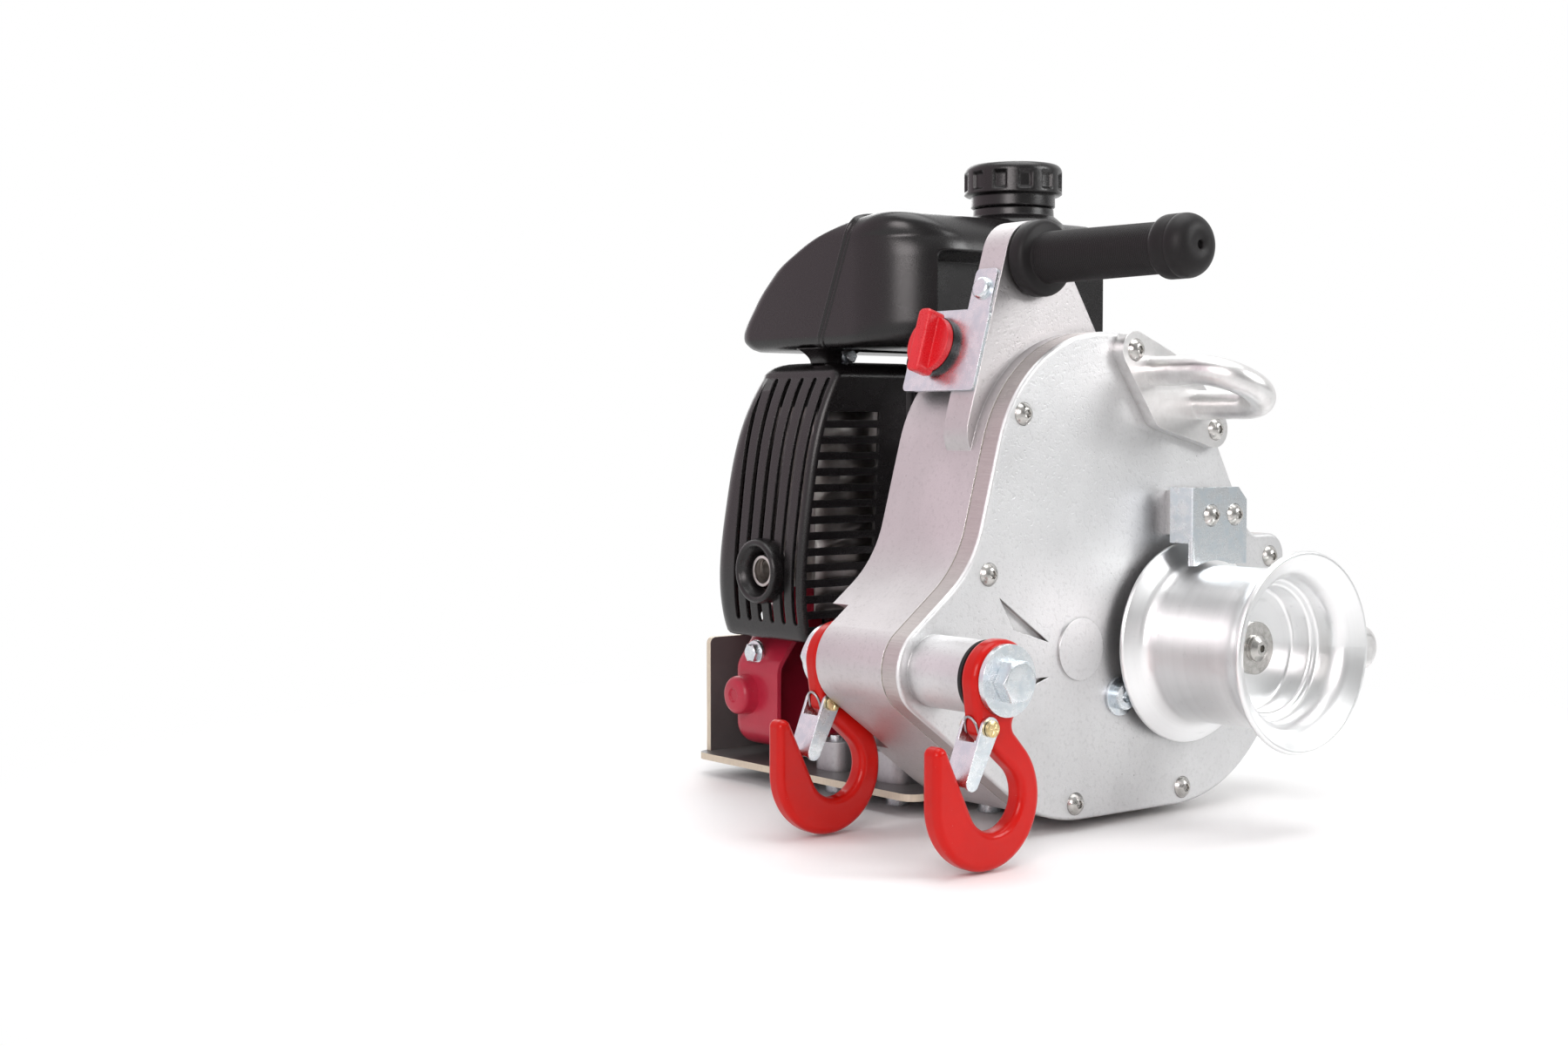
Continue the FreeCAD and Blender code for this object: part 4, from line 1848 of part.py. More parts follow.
def leads():
    """The switch's lead, the plug's ignition lead and the fuel hose."""
    x, z = switch_origin()
    deep = S.switch_body_depth / 2
    start_x = x + deep * cos(S.arch_lean_deg)
    start_z = z - deep * sin(S.arch_lean_deg)
    front = S.engine_front_y
    switch = [(start_x, S.switch_y + S.switch_body_r, start_z), (start_x, S.lead_drop_y, start_z),
              (start_x, S.lead_drop_y, LEAD_END_Z), (LEAD_END_X, S.lead_drop_y, LEAD_END_Z),
              (LEAD_END_X, front, LEAD_END_Z)]
    plug_y = S.fin_front_y - S.plug_gap - S.plug_cap_length / 2
    height = head_middle_z()
    far = S.drum_x * 2 - LEAD_END_X
    ignition = [(S.drum_x + S.plug_cap_r, plug_y, height), (far, plug_y, height),
                (far, plug_y, LEAD_END_Z), (far, front, LEAD_END_Z)]
    carb_x = (S.fin_right_x + S.cleaner_left_x) / 2
    carb_rear = (S.cleaner_front_y + S.cleaner_rear_y) / 2 + S.carb_width / 2
    fuel = [(S.fuel_x, S.fuel_y, S.tank_low_z), (S.fuel_x, S.fuel_y, S.carb_z),
            (carb_x, S.fuel_y, S.carb_z), (carb_x, carb_rear, S.carb_z)]
    shapes = [bent(points, S.lead_bend_r, S.lead_r) for points in (switch, ignition, fuel)]
    new_feature("engine_leads", Part.makeCompound(shapes))


def spark_plug():
    plug_y = S.fin_front_y - S.plug_gap
    turned("spark_plug", [
        (ZERO, S.fin_front_y + S.plug_stem_reach), (S.plug_stem_r, S.fin_front_y + S.plug_stem_reach),
        (S.plug_stem_r, plug_y), (S.plug_cap_r, plug_y), (S.plug_cap_r, plug_y - S.plug_cap_length),
        (ZERO, plug_y - S.plug_cap_length)][::-1], S.drum_x, ZERO, head_middle_z())


def switch_origin():
    """X and Z of the switch's axis on the arch's leaning flank."""
    lean = S.arch_lean_deg
    drop = S.handle_z - S.switch_z
    x = S.handle_x - drop * sin(lean) / cos(lean) - S.arch_r * cos(lean)
    return x, S.switch_z + S.arch_r * sin(lean)


def switch_turn():
    """The turn about Y that lays a switch piece's Z across the arch's flank."""
    return S.arch_lean_deg - S.half_turn_deg / 2


def switch():
    """The engine switch: bracket on the arch, body with its collar, and the turning knob."""
    x, z = switch_origin()
    where = (x, S.switch_y, z, (0, 1, 0), switch_turn())
    body = new_body("switch_bracket", *where)
    sheet = new_sketch(body, "XY_Plane")
    draw_belt(sheet, rounded_box(-S.bracket_down, S.bracket_up, -S.bracket_front,
                                 S.bracket_rear, S.bracket_corner))
    pad(body, sheet, S.bracket_sheet)
    tab_y = bracket_screw_y()
    half = S.bracket_tab_width / 2
    tab = new_sketch(body, "XY_Plane")
    draw_belt(tab, rounded_box(S.bracket_up - S.bracket_tab, S.bracket_up + S.bracket_tab,
                               tab_y - half, tab_y + half, S.bracket_corner))
    pad(body, tab, S.bracket_sheet)
    lip = new_sketch(body, "XY_Plane")
    draw_box(lip, S.bracket_corner - S.bracket_down, S.bracket_up - S.bracket_corner,
             S.bracket_rear - S.bracket_sheet, S.bracket_rear)
    pad(body, lip, S.bracket_lip, back=True)
    way = new_sketch(body, "XZ_Plane", S.bracket_rear - S.bracket_sheet)
    draw_circle(way, ZERO, -S.switch_body_depth / 2, S.lead_r + S.screw_hole_gap)
    pocket(body, way, S.bracket_sheet)
    neck = new_sketch(body, "XY_Plane", S.bracket_sheet)
    draw_circle(neck, ZERO, ZERO, S.switch_neck_r + S.fit_gap)
    pocket(body, neck, S.bracket_sheet)
    screw_x = S.bracket_up + S.bracket_tab / 2
    head = new_sketch(body, "XY_Plane", S.bracket_sheet)
    draw_circle(head, screw_x, tab_y, S.screw_head_r)
    pad(body, head, S.screw_head_height)
    round_edges(body, S.screw_head_round, flat_at("Z", S.bracket_sheet + S.screw_head_height))
    shank = new_sketch(body, "XY_Plane")
    draw_circle(shank, screw_x, tab_y, S.screw_r)
    pad(body, shank, S.bracket_screw_reach, back=True)
    collar = S.bracket_sheet + S.switch_collar_height
    bore = S.knob_stem_r + S.running_gap
    turned_body = new_body("switch_body", *where)
    section = new_sketch(turned_body, "XZ_Plane")
    draw_polygon(section, [
        (bore, ZERO), (S.switch_neck_r, ZERO), (S.switch_neck_r, S.bracket_sheet),
        (S.switch_collar_r, S.bracket_sheet), (S.switch_collar_r, collar), (bore, collar)])
    revolve(turned_body, section)
    back = new_sketch(turned_body, "XY_Plane")
    draw_circle(back, ZERO, ZERO, S.switch_body_r)
    pad(turned_body, back, S.switch_body_depth, back=True)
    knob = new_body("switch_knob", *where)
    base = collar + S.side_gap
    disc = new_sketch(knob, "XY_Plane", base)
    draw_circle(disc, ZERO, ZERO, S.knob_r)
    pad(knob, disc, S.knob_height - S.knob_bar_height)
    bar = new_sketch(knob, "XY_Plane", base)
    half_length, half_width = S.knob_bar_length / 2, S.knob_bar_width / 2
    draw_belt(bar, rounded_box(-half_length, half_length, -half_width, half_width, S.knob_corner))
    pad(knob, bar, S.knob_height)
    round_edges(knob, S.knob_round, flat_at("Z", base + S.knob_height))
    stem = new_sketch(knob, "XY_Plane", base)
    draw_circle(stem, ZERO, ZERO, S.knob_stem_r)
    pad(knob, stem, base - S.end_float, back=True)


def bracket_screw_y():
    """The bracket's screw, in the middle of the arch's depth, from the switch's axis."""
    return ARCH_FRONT + S.arch_depth / 2 - S.switch_y


def export():
    """Check every piece and write it to its own file."""
    doc.recompute()
    for thing in doc.Objects:
        broken = [word for word in thing.State if word in ("Invalid", "Error")]
        assert not broken, "%s is %s" % (thing.Label, broken)
    for piece in PIECES:
        assert not piece.Shape.isNull() and piece.Shape.isValid(), piece.Label
        piece.Shape.exportStep("parts/%s.step" % piece.Label)
    print("%d pieces" % len(PIECES))


def main():
    """Draw the winch from front to back and write its pieces."""
    gear_cover()
    cover_gasket()
    gear_case()
    cover_fasteners()
    anchor()
    hook("front", FRONT_EYE_Y)
    hook("rear", REAR_EYE_Y)
    gear_train()
    bearings()
    drum()
    rope_stop()
    rope_guide()
    guide_pin()
    handle()
    base()
    engine_block()
    tank_bracket()
    drive()
    fan()
    starter()
    muffler()
    muffler_shield()
    tank()
    intake()
    oil_cap()
    spark_plug()
    leads()
    switch()
    export()


main()
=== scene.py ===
"""Looks of a portable capstan winch: finishes for its solids, and the fine forms that ride on them."""

import functools
import logging
import math
import operator
from abc import ABC, abstractmethod
from dataclasses import dataclass, field
from enum import Enum
from typing import Iterable, Mapping, Sequence, Union

import bmesh
import bpy
import numpy as np
from mathutils import Matrix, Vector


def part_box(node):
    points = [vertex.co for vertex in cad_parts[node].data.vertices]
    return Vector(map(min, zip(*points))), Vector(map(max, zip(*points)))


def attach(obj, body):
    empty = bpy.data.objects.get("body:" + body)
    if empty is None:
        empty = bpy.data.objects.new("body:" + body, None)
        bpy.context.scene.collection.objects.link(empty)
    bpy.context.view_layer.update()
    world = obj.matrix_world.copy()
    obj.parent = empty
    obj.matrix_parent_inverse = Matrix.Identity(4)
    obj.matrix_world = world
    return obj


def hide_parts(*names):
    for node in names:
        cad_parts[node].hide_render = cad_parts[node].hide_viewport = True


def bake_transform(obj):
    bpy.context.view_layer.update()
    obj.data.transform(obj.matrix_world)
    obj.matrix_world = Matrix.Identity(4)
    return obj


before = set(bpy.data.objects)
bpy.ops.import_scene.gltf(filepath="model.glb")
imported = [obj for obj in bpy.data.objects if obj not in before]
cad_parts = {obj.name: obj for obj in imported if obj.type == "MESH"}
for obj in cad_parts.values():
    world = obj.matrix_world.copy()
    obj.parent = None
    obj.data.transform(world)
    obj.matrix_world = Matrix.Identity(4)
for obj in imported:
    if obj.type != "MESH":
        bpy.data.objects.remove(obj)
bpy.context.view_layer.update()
NODES: dict[str, bpy.types.Object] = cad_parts

Array = np.ndarray
Colour = tuple[float, float, float]
Point = tuple[float, float, float]
Number = Union[float, Array]
Value = Union["Wire", float, tuple]

log = logging.getLogger("winch")


class Axis(Enum):
    """The three directions of the frame, as places in a point."""

    X = 0
    Y = 1
    Z = 2


class Wire:
    """A socket of a node tree, which Python arithmetic extends with Math nodes."""

    def __init__(self, tree: "Tree", socket: bpy.types.NodeSocket) -> None:
        """Keeps the tree and the socket."""
        self.tree = tree
        self.socket = socket

    def _math(self, operation: str, first: Value, second: Value = 0.0) -> "Wire":
        """Adds one Math node.

        Args:
            operation: the Math node's operation.
            first: its first value.
            second: its second value.

        Returns:
            The node's result.
        """
        return self.tree.wire("ShaderNodeMath", {"operation": operation}, {0: first, 1: second})

    def __add__(self, other: Value) -> "Wire":
        """This value plus another."""
        return self._math("ADD", self, other)

    def __radd__(self, other: Value) -> "Wire":
        """Another value plus this one."""
        return self._math("ADD", other, self)

    def __sub__(self, other: Value) -> "Wire":
        """This value less another."""
        return self._math("SUBTRACT", self, other)

    def __rsub__(self, other: Value) -> "Wire":
        """Another value less this one."""
        return self._math("SUBTRACT", other, self)

    def __mul__(self, other: Value) -> "Wire":
        """This value times another."""
        return self._math("MULTIPLY", self, other)

    def __abs__(self) -> "Wire":
        """This value without its sign."""
        return self._math("ABSOLUTE", self)

    def most(self, other: Value) -> "Wire":
        """The larger of this value and another."""
        return self._math("MAXIMUM", self, other)

    def least(self, other: Value) -> "Wire":
        """The smaller of this value and another."""
        return self._math("MINIMUM", self, other)

    def sine(self) -> "Wire":
        """The sine of this value."""
        return self._math("SINE", self)

    def root(self) -> "Wire":
        """The square root of this value."""
        return self._math("SQRT", self)

    def step(self, low: float, high: float) -> "Wire":
        """A smooth step from 0 at low to 1 at high.

        Args:
            low: the value that gives 0.
            high: the value that gives 1.

        Returns:
            The stepped value, held between 0 and 1.
        """
        settings = {"interpolation_type": "SMOOTHSTEP", "clamp": True}
        return self.tree.wire("ShaderNodeMapRange", settings, {0: self, 1: low, 2: high, 3: 0.0, 4: 1.0})

    def part(self, axis: Axis) -> "Wire":
        """One coordinate of this vector."""
        return self.tree.wire("ShaderNodeSeparateXYZ", {}, {0: self}, axis.value)


class Tree:
    """A node tree that is built up node by node."""

    def __init__(self, tree: bpy.types.NodeTree) -> None:
        """Empties the tree."""
        self.tree = tree
        self.tree.nodes.clear()

    def put(self, socket: bpy.types.NodeSocket, value: Value) -> None:
        """Links a wire to a socket, or sets the socket's own value.

        Args:
            socket: the input socket.
            value: a wire, a number, a vector or a colour.
        """
        if isinstance(value, Wire):
            self.tree.links.new(value.socket, socket)
            return
        if isinstance(value, tuple) and len(value) == 3 and socket.type == "RGBA":
            value = (*value, 1.0)
        socket.default_value = value

    def node(self, kind: str, settings: Mapping[str, object], sockets: Mapping) -> bpy.types.Node:
        """Adds any node.

        Args:
            kind: the node's type.
            settings: its properties, which are set first.
            sockets: the values or wires of its input sockets, by name or place.

        Returns:
            The node.
        """
        made = self.tree.nodes.new(kind)
        for key, value in settings.items():
            setattr(made, key, value)
        for key, value in sockets.items():
            self.put(made.inputs[key], value)
        return made

    def wire(self, kind: str, settings: Mapping[str, object], sockets: Mapping,
             out: Union[str, int] = 0) -> Wire:
        """Adds any node and takes one of its outputs.

        Args:
            kind: the node's type.
            settings: its properties.
            sockets: its inputs.
            out: the output's name or place.

        Returns:
            The output.
        """
        return Wire(self, self.node(kind, settings, sockets).outputs[out])

    def link(self, start: bpy.types.Node, socket: bpy.types.NodeSocket) -> None:
        """Links a node's first output to a socket."""
        self.tree.links.new(start.outputs[0], socket)

    def dot(self, first: Value, second: Value) -> Wire:
        """The dot product of two vectors."""
        return self.wire("ShaderNodeVectorMath", {"operation": "DOT_PRODUCT"}, {0: first, 1: second}, 1)

    def rays(self, *kinds: str) -> Wire:
        """A mask that is 1 for light paths of any of these kinds."""
        path = self.node("ShaderNodeLightPath", {}, {})
        return functools.reduce(Wire.most, [Wire(self, path.outputs[kind]) for kind in kinds])

    def blend(self, factor: Value, low: Value, high: Value) -> Wire:
        """A colour between two.

        Args:
            factor: 0 gives low and 1 gives high.
            low: a colour.
            high: a colour.

        Returns:
            The mixed colour.
        """
        settings = {"data_type": "RGBA", "clamp_factor": True}
        return self.wire("ShaderNodeMix", settings, {0: factor, 6: low, 7: high}, 2)


class Recipe(Tree):
    """One material's node tree, with the few nodes that the finishes share."""

    def __init__(self, name: str) -> None:
        """Starts a material that has only a Principled shader.

        Args:
            name: the material's name.
        """
        self.material = bpy.data.materials.new(name)
        self.material.use_nodes = True
        super().__init__(self.material.node_tree)
        self.output = self.node("ShaderNodeOutputMaterial", {}, {})
        self.shader = self.node("ShaderNodeBsdfPrincipled", {}, {})
        self.link(self.shader, self.output.inputs[0])
        self._place: Wire | None = None

    def place(self) -> Wire:
        """The point in Object coordinates, in metres."""
        if self._place is None:
            self._place = self.wire("ShaderNodeTexCoord", {}, {}, "Object")
        return self._place

    def facing(self) -> Wire:
        """The surface's own normal."""
        return self.wire("ShaderNodeNewGeometry", {}, {}, "Normal")

    def stretched(self, factors: Colour) -> Wire:
        """The point with each coordinate scaled.

        Args:
            factors: the scale along X, Y and Z.

        Returns:
            The scaled point.
        """
        return self.wire("ShaderNodeVectorMath", {"operation": "MULTIPLY"}, {0: self.place(), 1: factors})

    def noise(self, size: float, detail: float = 2.0, at: Wire | None = None) -> Wire:
        """Cloudy noise from 0 to 1.

        Args:
            size: the width of its blotches in metres.
            detail: the octaves.
            at: where it is read, Object coordinates if not given.

        Returns:
            The noise.
        """
        sockets = {"Vector": at or self.place(), "Scale": 1.0 / size, "Detail": detail, "Roughness": 0.55}
        return self.wire("ShaderNodeTexNoise", {}, sockets)

    def specks(self, size: float, share: float) -> Wire:
        """Small round spots, 1 at their middle.

        Args:
            size: the spacing of the spots in metres.
            share: the radius of a spot as a share of the spacing.

        Returns:
            The mask.
        """
        far = self.wire("ShaderNodeTexVoronoi", {}, {"Vector": self.place(), "Scale": 1.0 / size}, "Distance")
        return 1.0 - far.step(0.3 * share, share)

    def radius(self, centre: Point, axis: Axis) -> Wire:
        """The distance from a line.

        Args:
            centre: a point of the line.
            axis: the line's direction.

        Returns:
            The distance in metres.
        """
        across = [other for other in Axis if other is not axis]
        first, second = (self.place().part(other) - centre[other.value] for other in across)
        return (first * first + second * second).root()

    def rounded(self, radius: float) -> tuple[Wire, Wire]:
        """Softens sharp edges.

        Args:
            radius: the radius that the edges look rounded to.

        Returns:
            The softened normal, and a mask that is 1 along the edges.
        """
        soft = self.wire("ShaderNodeBevel", {"samples": 4}, {"Radius": radius})
        return soft, (1.0 - self.dot(soft, self.facing())).step(0.015, 0.22)

    def painted_crevice_shade(self, reach: float) -> Wire:
        """A painted-shade mask that is 1 deep in corners and grooves, where shade falls.

        Args:
            reach: the distance in metres within which walls darken a point.

        Returns:
            The mask.
        """
        free = self.wire("ShaderNodeAmbientOcclusion", {"samples": 6}, {"Distance": reach}, "AO")
        return (1.0 - free).step(0.08, 0.7)

    def bump(self, height: Wire, depth: float, normal: Wire | None = None) -> Wire:
        """A normal that follows a height.

        Args:
            height: the height, from 0 to 1.
            depth: the depth of the relief in metres.
            normal: the normal that the relief is added to.

        Returns:
            The normal.
        """
        sockets = {"Height": height, "Distance": depth, "Strength": 1.0}
        if normal is not None:
            sockets["Normal"] = normal
        return self.wire("ShaderNodeBump", {}, sockets)

    def feed(self, **sockets: Value) -> None:
        """Sets the shader's sockets.

        Args:
            sockets: values by socket name, with _ for a space.
        """
        for key, value in sockets.items():
            self.put(self.shader.inputs[key.replace("_", " ")], value)


def shade(colour: Colour, factor: float) -> Colour:
    """A colour made lighter or darker.

    Args:
        colour: the colour.
        factor: the share of it.

    Returns:
        The new colour.
    """
    return tuple(min(1.0, part * factor) for part in colour)


class Finish(ABC):
    """A surface finish, which is mixed from a material's nodes."""

    def material(self, name: str) -> bpy.types.Material:
        """Makes the material.

        Args:
            name: its name.

        Returns:
            The material.
        """
        mix = Recipe(name)
        self.lay(mix)
        return mix.material

    @abstractmethod
    def lay(self, mix: Recipe) -> None:
        """Mixes the finish.

        Args:
            mix: the recipe of the material that takes it.
        """


@dataclass(frozen=True)
class CastMetal(Finish):
    """A blasted light-metal casting: fine grain, cloudy tone, small pits, rubbed edges, and painted shade
    darkening its corners and grooves.
    """

    tone: Colour
    roughness: float
    grain: float = 0.0007
    edge: float = 0.0008
    rim: tuple[float, float] | None = None

    def lay(self, mix: Recipe) -> None:
        """Mixes the finish."""
        cloud = mix.noise(0.045, 4.0)
        grain = mix.noise(self.grain, 2.0)
        pits = mix.specks(0.006, 0.10) * mix.noise(0.03, 2.0).step(0.48, 0.7)
        soft, edge = mix.rounded(self.edge)
        streak = mix.noise(0.012, 3.0, mix.stretched((1.0, 1.0, 0.18)))
        patch = mix.noise(0.11, 5.0).step(0.46, 0.66)
        grit = mix.noise(0.0022, 3.0).step(0.5, 0.72)
        tone = mix.blend(cloud * 0.6 + streak * 0.4, shade(self.tone, 0.80), shade(self.tone, 1.08))
        tone = mix.blend(patch * 0.55, tone, shade(self.tone, 0.74))
        tone = mix.blend(grain * 0.5, tone, shade(self.tone, 0.74))
        tone = mix.blend(grit * 0.28, tone, shade(self.tone, 0.6))
        tone = mix.blend(pits * 0.7, tone, shade(self.tone, 0.35))
        tone = mix.blend(edge * 0.7, tone, shade(self.tone, 1.2))
        # painted shade: corners and grooves are darkened towards a third of the tone
        tone = mix.blend(mix.painted_crevice_shade(0.007) * 0.6, tone, shade(self.tone, 0.3))
        rough = self.roughness + (cloud - 0.5) * 0.16 + (grain - 0.5) * 0.12 - edge * 0.16 + patch * 0.06
        relief = grain * 0.6 + cloud * 0.8 - pits * 2.0 - grit * 0.5
        if self.rim is not None:
            depth = mix.place().part(Axis.Y)
            band = (1.0 - abs(mix.facing().part(Axis.Y))).step(0.75, 0.95)
            start, stop = (depth.step(place, place + 0.0004) for place in self.rim)
            band = band * start * (1.0 - stop)
            brush = mix.noise(0.0008, 3.0, mix.stretched((1.0, 0.06, 1.0)))
            tone = mix.blend(band * 0.75, tone, mix.blend(brush, (0.34, 0.30, 0.285), (0.56, 0.51, 0.49)))
            rough = rough + band * (brush - 0.6) * 0.25
            relief = relief + band * brush * 1.5
        mix.feed(Base_Color=tone, Metallic=1.0, Roughness=rough, Normal=mix.bump(relief, 0.00012, soft))


@dataclass(frozen=True)
class TurnedMetal(Finish):
    """Metal turned on a lathe: fine rings about an axis, bands of tone and a few scuffs."""

    tone: Colour
    roughness: float
    centre: Point
    axis: Axis = Axis.Y
    ring: float = 0.0004

    def lay(self, mix: Recipe) -> None:
        """Mixes the finish."""
        along = mix.place().part(self.axis)
        out = mix.radius(self.centre, self.axis)
        turned = mix.wire("ShaderNodeCombineXYZ", {}, {0: along, 1: out, 2: 0.0})
        rings = mix.noise(self.ring, 2.0, turned)
        bands = mix.noise(0.006, 3.0, turned)
        smear = mix.noise(0.03, 3.0)
        scuffs = mix.noise(0.004, 3.0, mix.stretched((0.2, 1.0, 1.0))).step(0.62, 0.74)
        soft, edge = mix.rounded(0.0005)
        tone = mix.blend(bands, shade(self.tone, 0.9), shade(self.tone, 1.06))
        tone = mix.blend(scuffs * 0.25, tone, shade(self.tone, 0.72))
        tone = mix.blend(edge * 0.4, tone, shade(self.tone, 1.15))
        rough = self.roughness + (bands - 0.5) * 0.10 + (smear - 0.5) * 0.10 + scuffs * 0.08
        mix.feed(Base_Color=tone, Metallic=1.0, Roughness=rough, Anisotropic=0.35,
                 Normal=mix.bump(rings, 0.000018, soft))


@dataclass(frozen=True)
class PlatedSteel(Finish):
    """Plated or bare steel: a mottled bright skin, tool marks and brighter edges."""

    tone: Colour
    tint: Colour
    roughness: float
    mottle: float = 0.006

    def lay(self, mix: Recipe) -> None:
        """Mixes the finish."""
        mottle = mix.noise(self.mottle, 4.0)
        fine = mix.noise(0.0006, 2.0)
        rub = mix.noise(0.0015, 2.0, mix.stretched((0.15, 1.0, 1.0)))
        soft, edge = mix.rounded(0.0004)
        tone = mix.blend(mottle.step(0.35, 0.7), self.tone, self.tint)
        tone = mix.blend(rub.step(0.55, 0.8) * 0.3, tone, shade(self.tone, 0.7))
        tone = mix.blend(edge * 0.6, tone, shade(self.tone, 1.2))
        rough = self.roughness + (mottle - 0.5) * 0.2 + (fine - 0.5) * 0.1
        relief = fine * 0.4 + rub * 0.6
        mix.feed(Base_Color=tone, Metallic=1.0, Roughness=rough, Normal=mix.bump(relief, 0.00002, soft))


@dataclass(frozen=True)
class GlossPaint(Finish):
    """Paint or enamel on metal: slight orange peel, runs of tone, and rubbed edges."""

    tone: Colour
    roughness: float
    bare: Colour
    wear: float = 0.25
    coat: float = 0.4
    gloss: float = 0.35

    def lay(self, mix: Recipe) -> None:
        """Mixes the finish."""
        peel = mix.noise(0.0022, 2.0)
        cloud = mix.noise(0.02, 3.0)
        soft, edge = mix.rounded(0.0009)
        chips = (edge * mix.noise(0.003, 3.0).step(0.56, 0.66)) * self.wear
        dust = mix.specks(0.004, 0.07) * mix.noise(0.02, 2.0).step(0.45, 0.65)
        tone = mix.blend(cloud, shade(self.tone, 0.82), shade(self.tone, 1.08))
        tone = mix.blend(edge * 0.35, tone, shade(self.tone, 1.25))
        tone = mix.blend(chips, tone, self.bare)
        tone = mix.blend(dust * 0.35, tone, (0.5, 0.46, 0.43))
        rough = self.roughness + (cloud - 0.5) * 0.12 + chips * 0.2 + dust * 0.3
        mix.feed(Base_Color=tone, Roughness=rough, Coat_Weight=self.coat, Coat_Roughness=0.08,
                 Specular_IOR_Level=self.gloss, Normal=mix.bump(peel, 0.00005, soft))


@dataclass(frozen=True)
class MouldedPlastic(Finish):
    """Moulded plastic: a fine spark grain, soft flow marks, dust and lighter rubbed edges."""

    tone: Colour
    roughness: float
    grain: float = 0.0005
    relief: float = 0.00004
    dust: float = 0.2
    gloss: float = 0.32

    def lay(self, mix: Recipe) -> None:
        """Mixes the finish."""
        grain = mix.noise(self.grain, 2.0)
        flow = mix.noise(0.03, 3.0)
        soft, edge = mix.rounded(0.0012)
        dust = mix.specks(0.0055, 0.06) * mix.noise(0.03, 2.0).step(0.5, 0.7) * self.dust
        tone = mix.blend(flow, shade(self.tone, 0.75), shade(self.tone, 1.3))
        tone = mix.blend(edge * 0.5, tone, shade(self.tone, 2.0))
        tone = mix.blend(dust, tone, (0.32, 0.30, 0.28))
        rough = self.roughness + (flow - 0.5) * 0.14 + (grain - 0.5) * 0.1 - edge * 0.05 + dust * 0.3
        mix.feed(Base_Color=tone, Roughness=rough, Specular_IOR_Level=self.gloss,
                 Normal=mix.bump(grain, self.relief, soft))


@dataclass(frozen=True)
class CutPlate(Finish):
    """Black painted plate whose cut edges are bare, as left by the saw."""

    tone: Colour
    edge_tone: Colour
    rear: float

    def lay(self, mix: Recipe) -> None:
        """Mixes the finish.

        A cut edge is where the surface faces sideways, or forwards, or upwards on the turned-up rear wall.
        """
        facing = mix.facing()
        side = abs(facing.part(Axis.X)).step(0.5, 0.8)
        ahead = (self.rear - 0.02 - mix.place().part(Axis.Y)).step(0.0, 0.004)
        front = (0.0 - facing.part(Axis.Y)).step(0.5, 0.8) * ahead
        top = facing.part(Axis.Z).step(0.5, 0.8) * mix.place().part(Axis.Z).step(0.02, 0.03)
        cut = side.most(front).most(top)
        cloud = mix.noise(0.03, 4.0)
        scuff = mix.noise(0.004, 3.0, mix.stretched((0.25, 1.0, 1.0))).step(0.58, 0.72)
        saw = mix.noise(0.0007, 2.0, mix.stretched((1.0, 1.0, 0.1)))
        tone = mix.blend(cloud, shade(self.tone, 0.7), shade(self.tone, 1.5))
        tone = mix.blend(scuff * 0.3, tone, (0.09, 0.085, 0.08))
        bare = mix.blend(saw, shade(self.edge_tone, 0.78), self.edge_tone)
        tone = mix.blend(cut, tone, bare)
        rough = 0.38 + (cloud - 0.5) * 0.2 + scuff * 0.12 + cut * 0.1
        mix.feed(Base_Color=tone, Roughness=rough, Metallic=cut * 0.15,
                 Normal=mix.bump(saw * cut + cloud * 0.3, 0.00005))


@dataclass(frozen=True)
class Fibre(Finish):
    """Twisted fibre or pressed paper: strands across one direction, a fuzzy tone, and painted shade in the
    grooves between strands.
    """

    tone: Colour
    fleck: Colour
    pitch: float

    def lay(self, mix: Recipe) -> None:
        """Mixes the finish."""
        height = mix.place().part(Axis.Z)
        side = mix.place().part(Axis.X) + mix.place().part(Axis.Y)
        strand = ((height + side) * (2.0 * math.pi / self.pitch)).sine() * 0.5 + 0.5
        fuzz = mix.noise(0.0006, 3.0)
        fleck = mix.noise(0.003, 2.0).step(0.55, 0.65)
        tone = mix.blend(fuzz, shade(self.tone, 0.7), self.tone)
        tone = mix.blend(fleck * 0.5, tone, self.fleck)
        # painted shade: darker where the strands' relief is low, in the grooves between them
        tone = mix.blend(strand * 0.5, shade(self.tone, 0.5), tone)
        relief = strand + fuzz * 0.4
        mix.feed(Base_Color=tone, Roughness=0.8 + fuzz * 0.15, Normal=mix.bump(relief, 0.0002))


def dress(material: bpy.types.Material, *names: str) -> None:
    """Gives CAD nodes a material.

    Args:
        material: the material.
        names: the nodes.
    """
    for name in names:
        node = NODES[name]
        if not node.material_slots:
            node.data.materials.append(material)
        for place in node.material_slots:
            place.material = material
        log.info("dressed %s in %s", name, material.name)


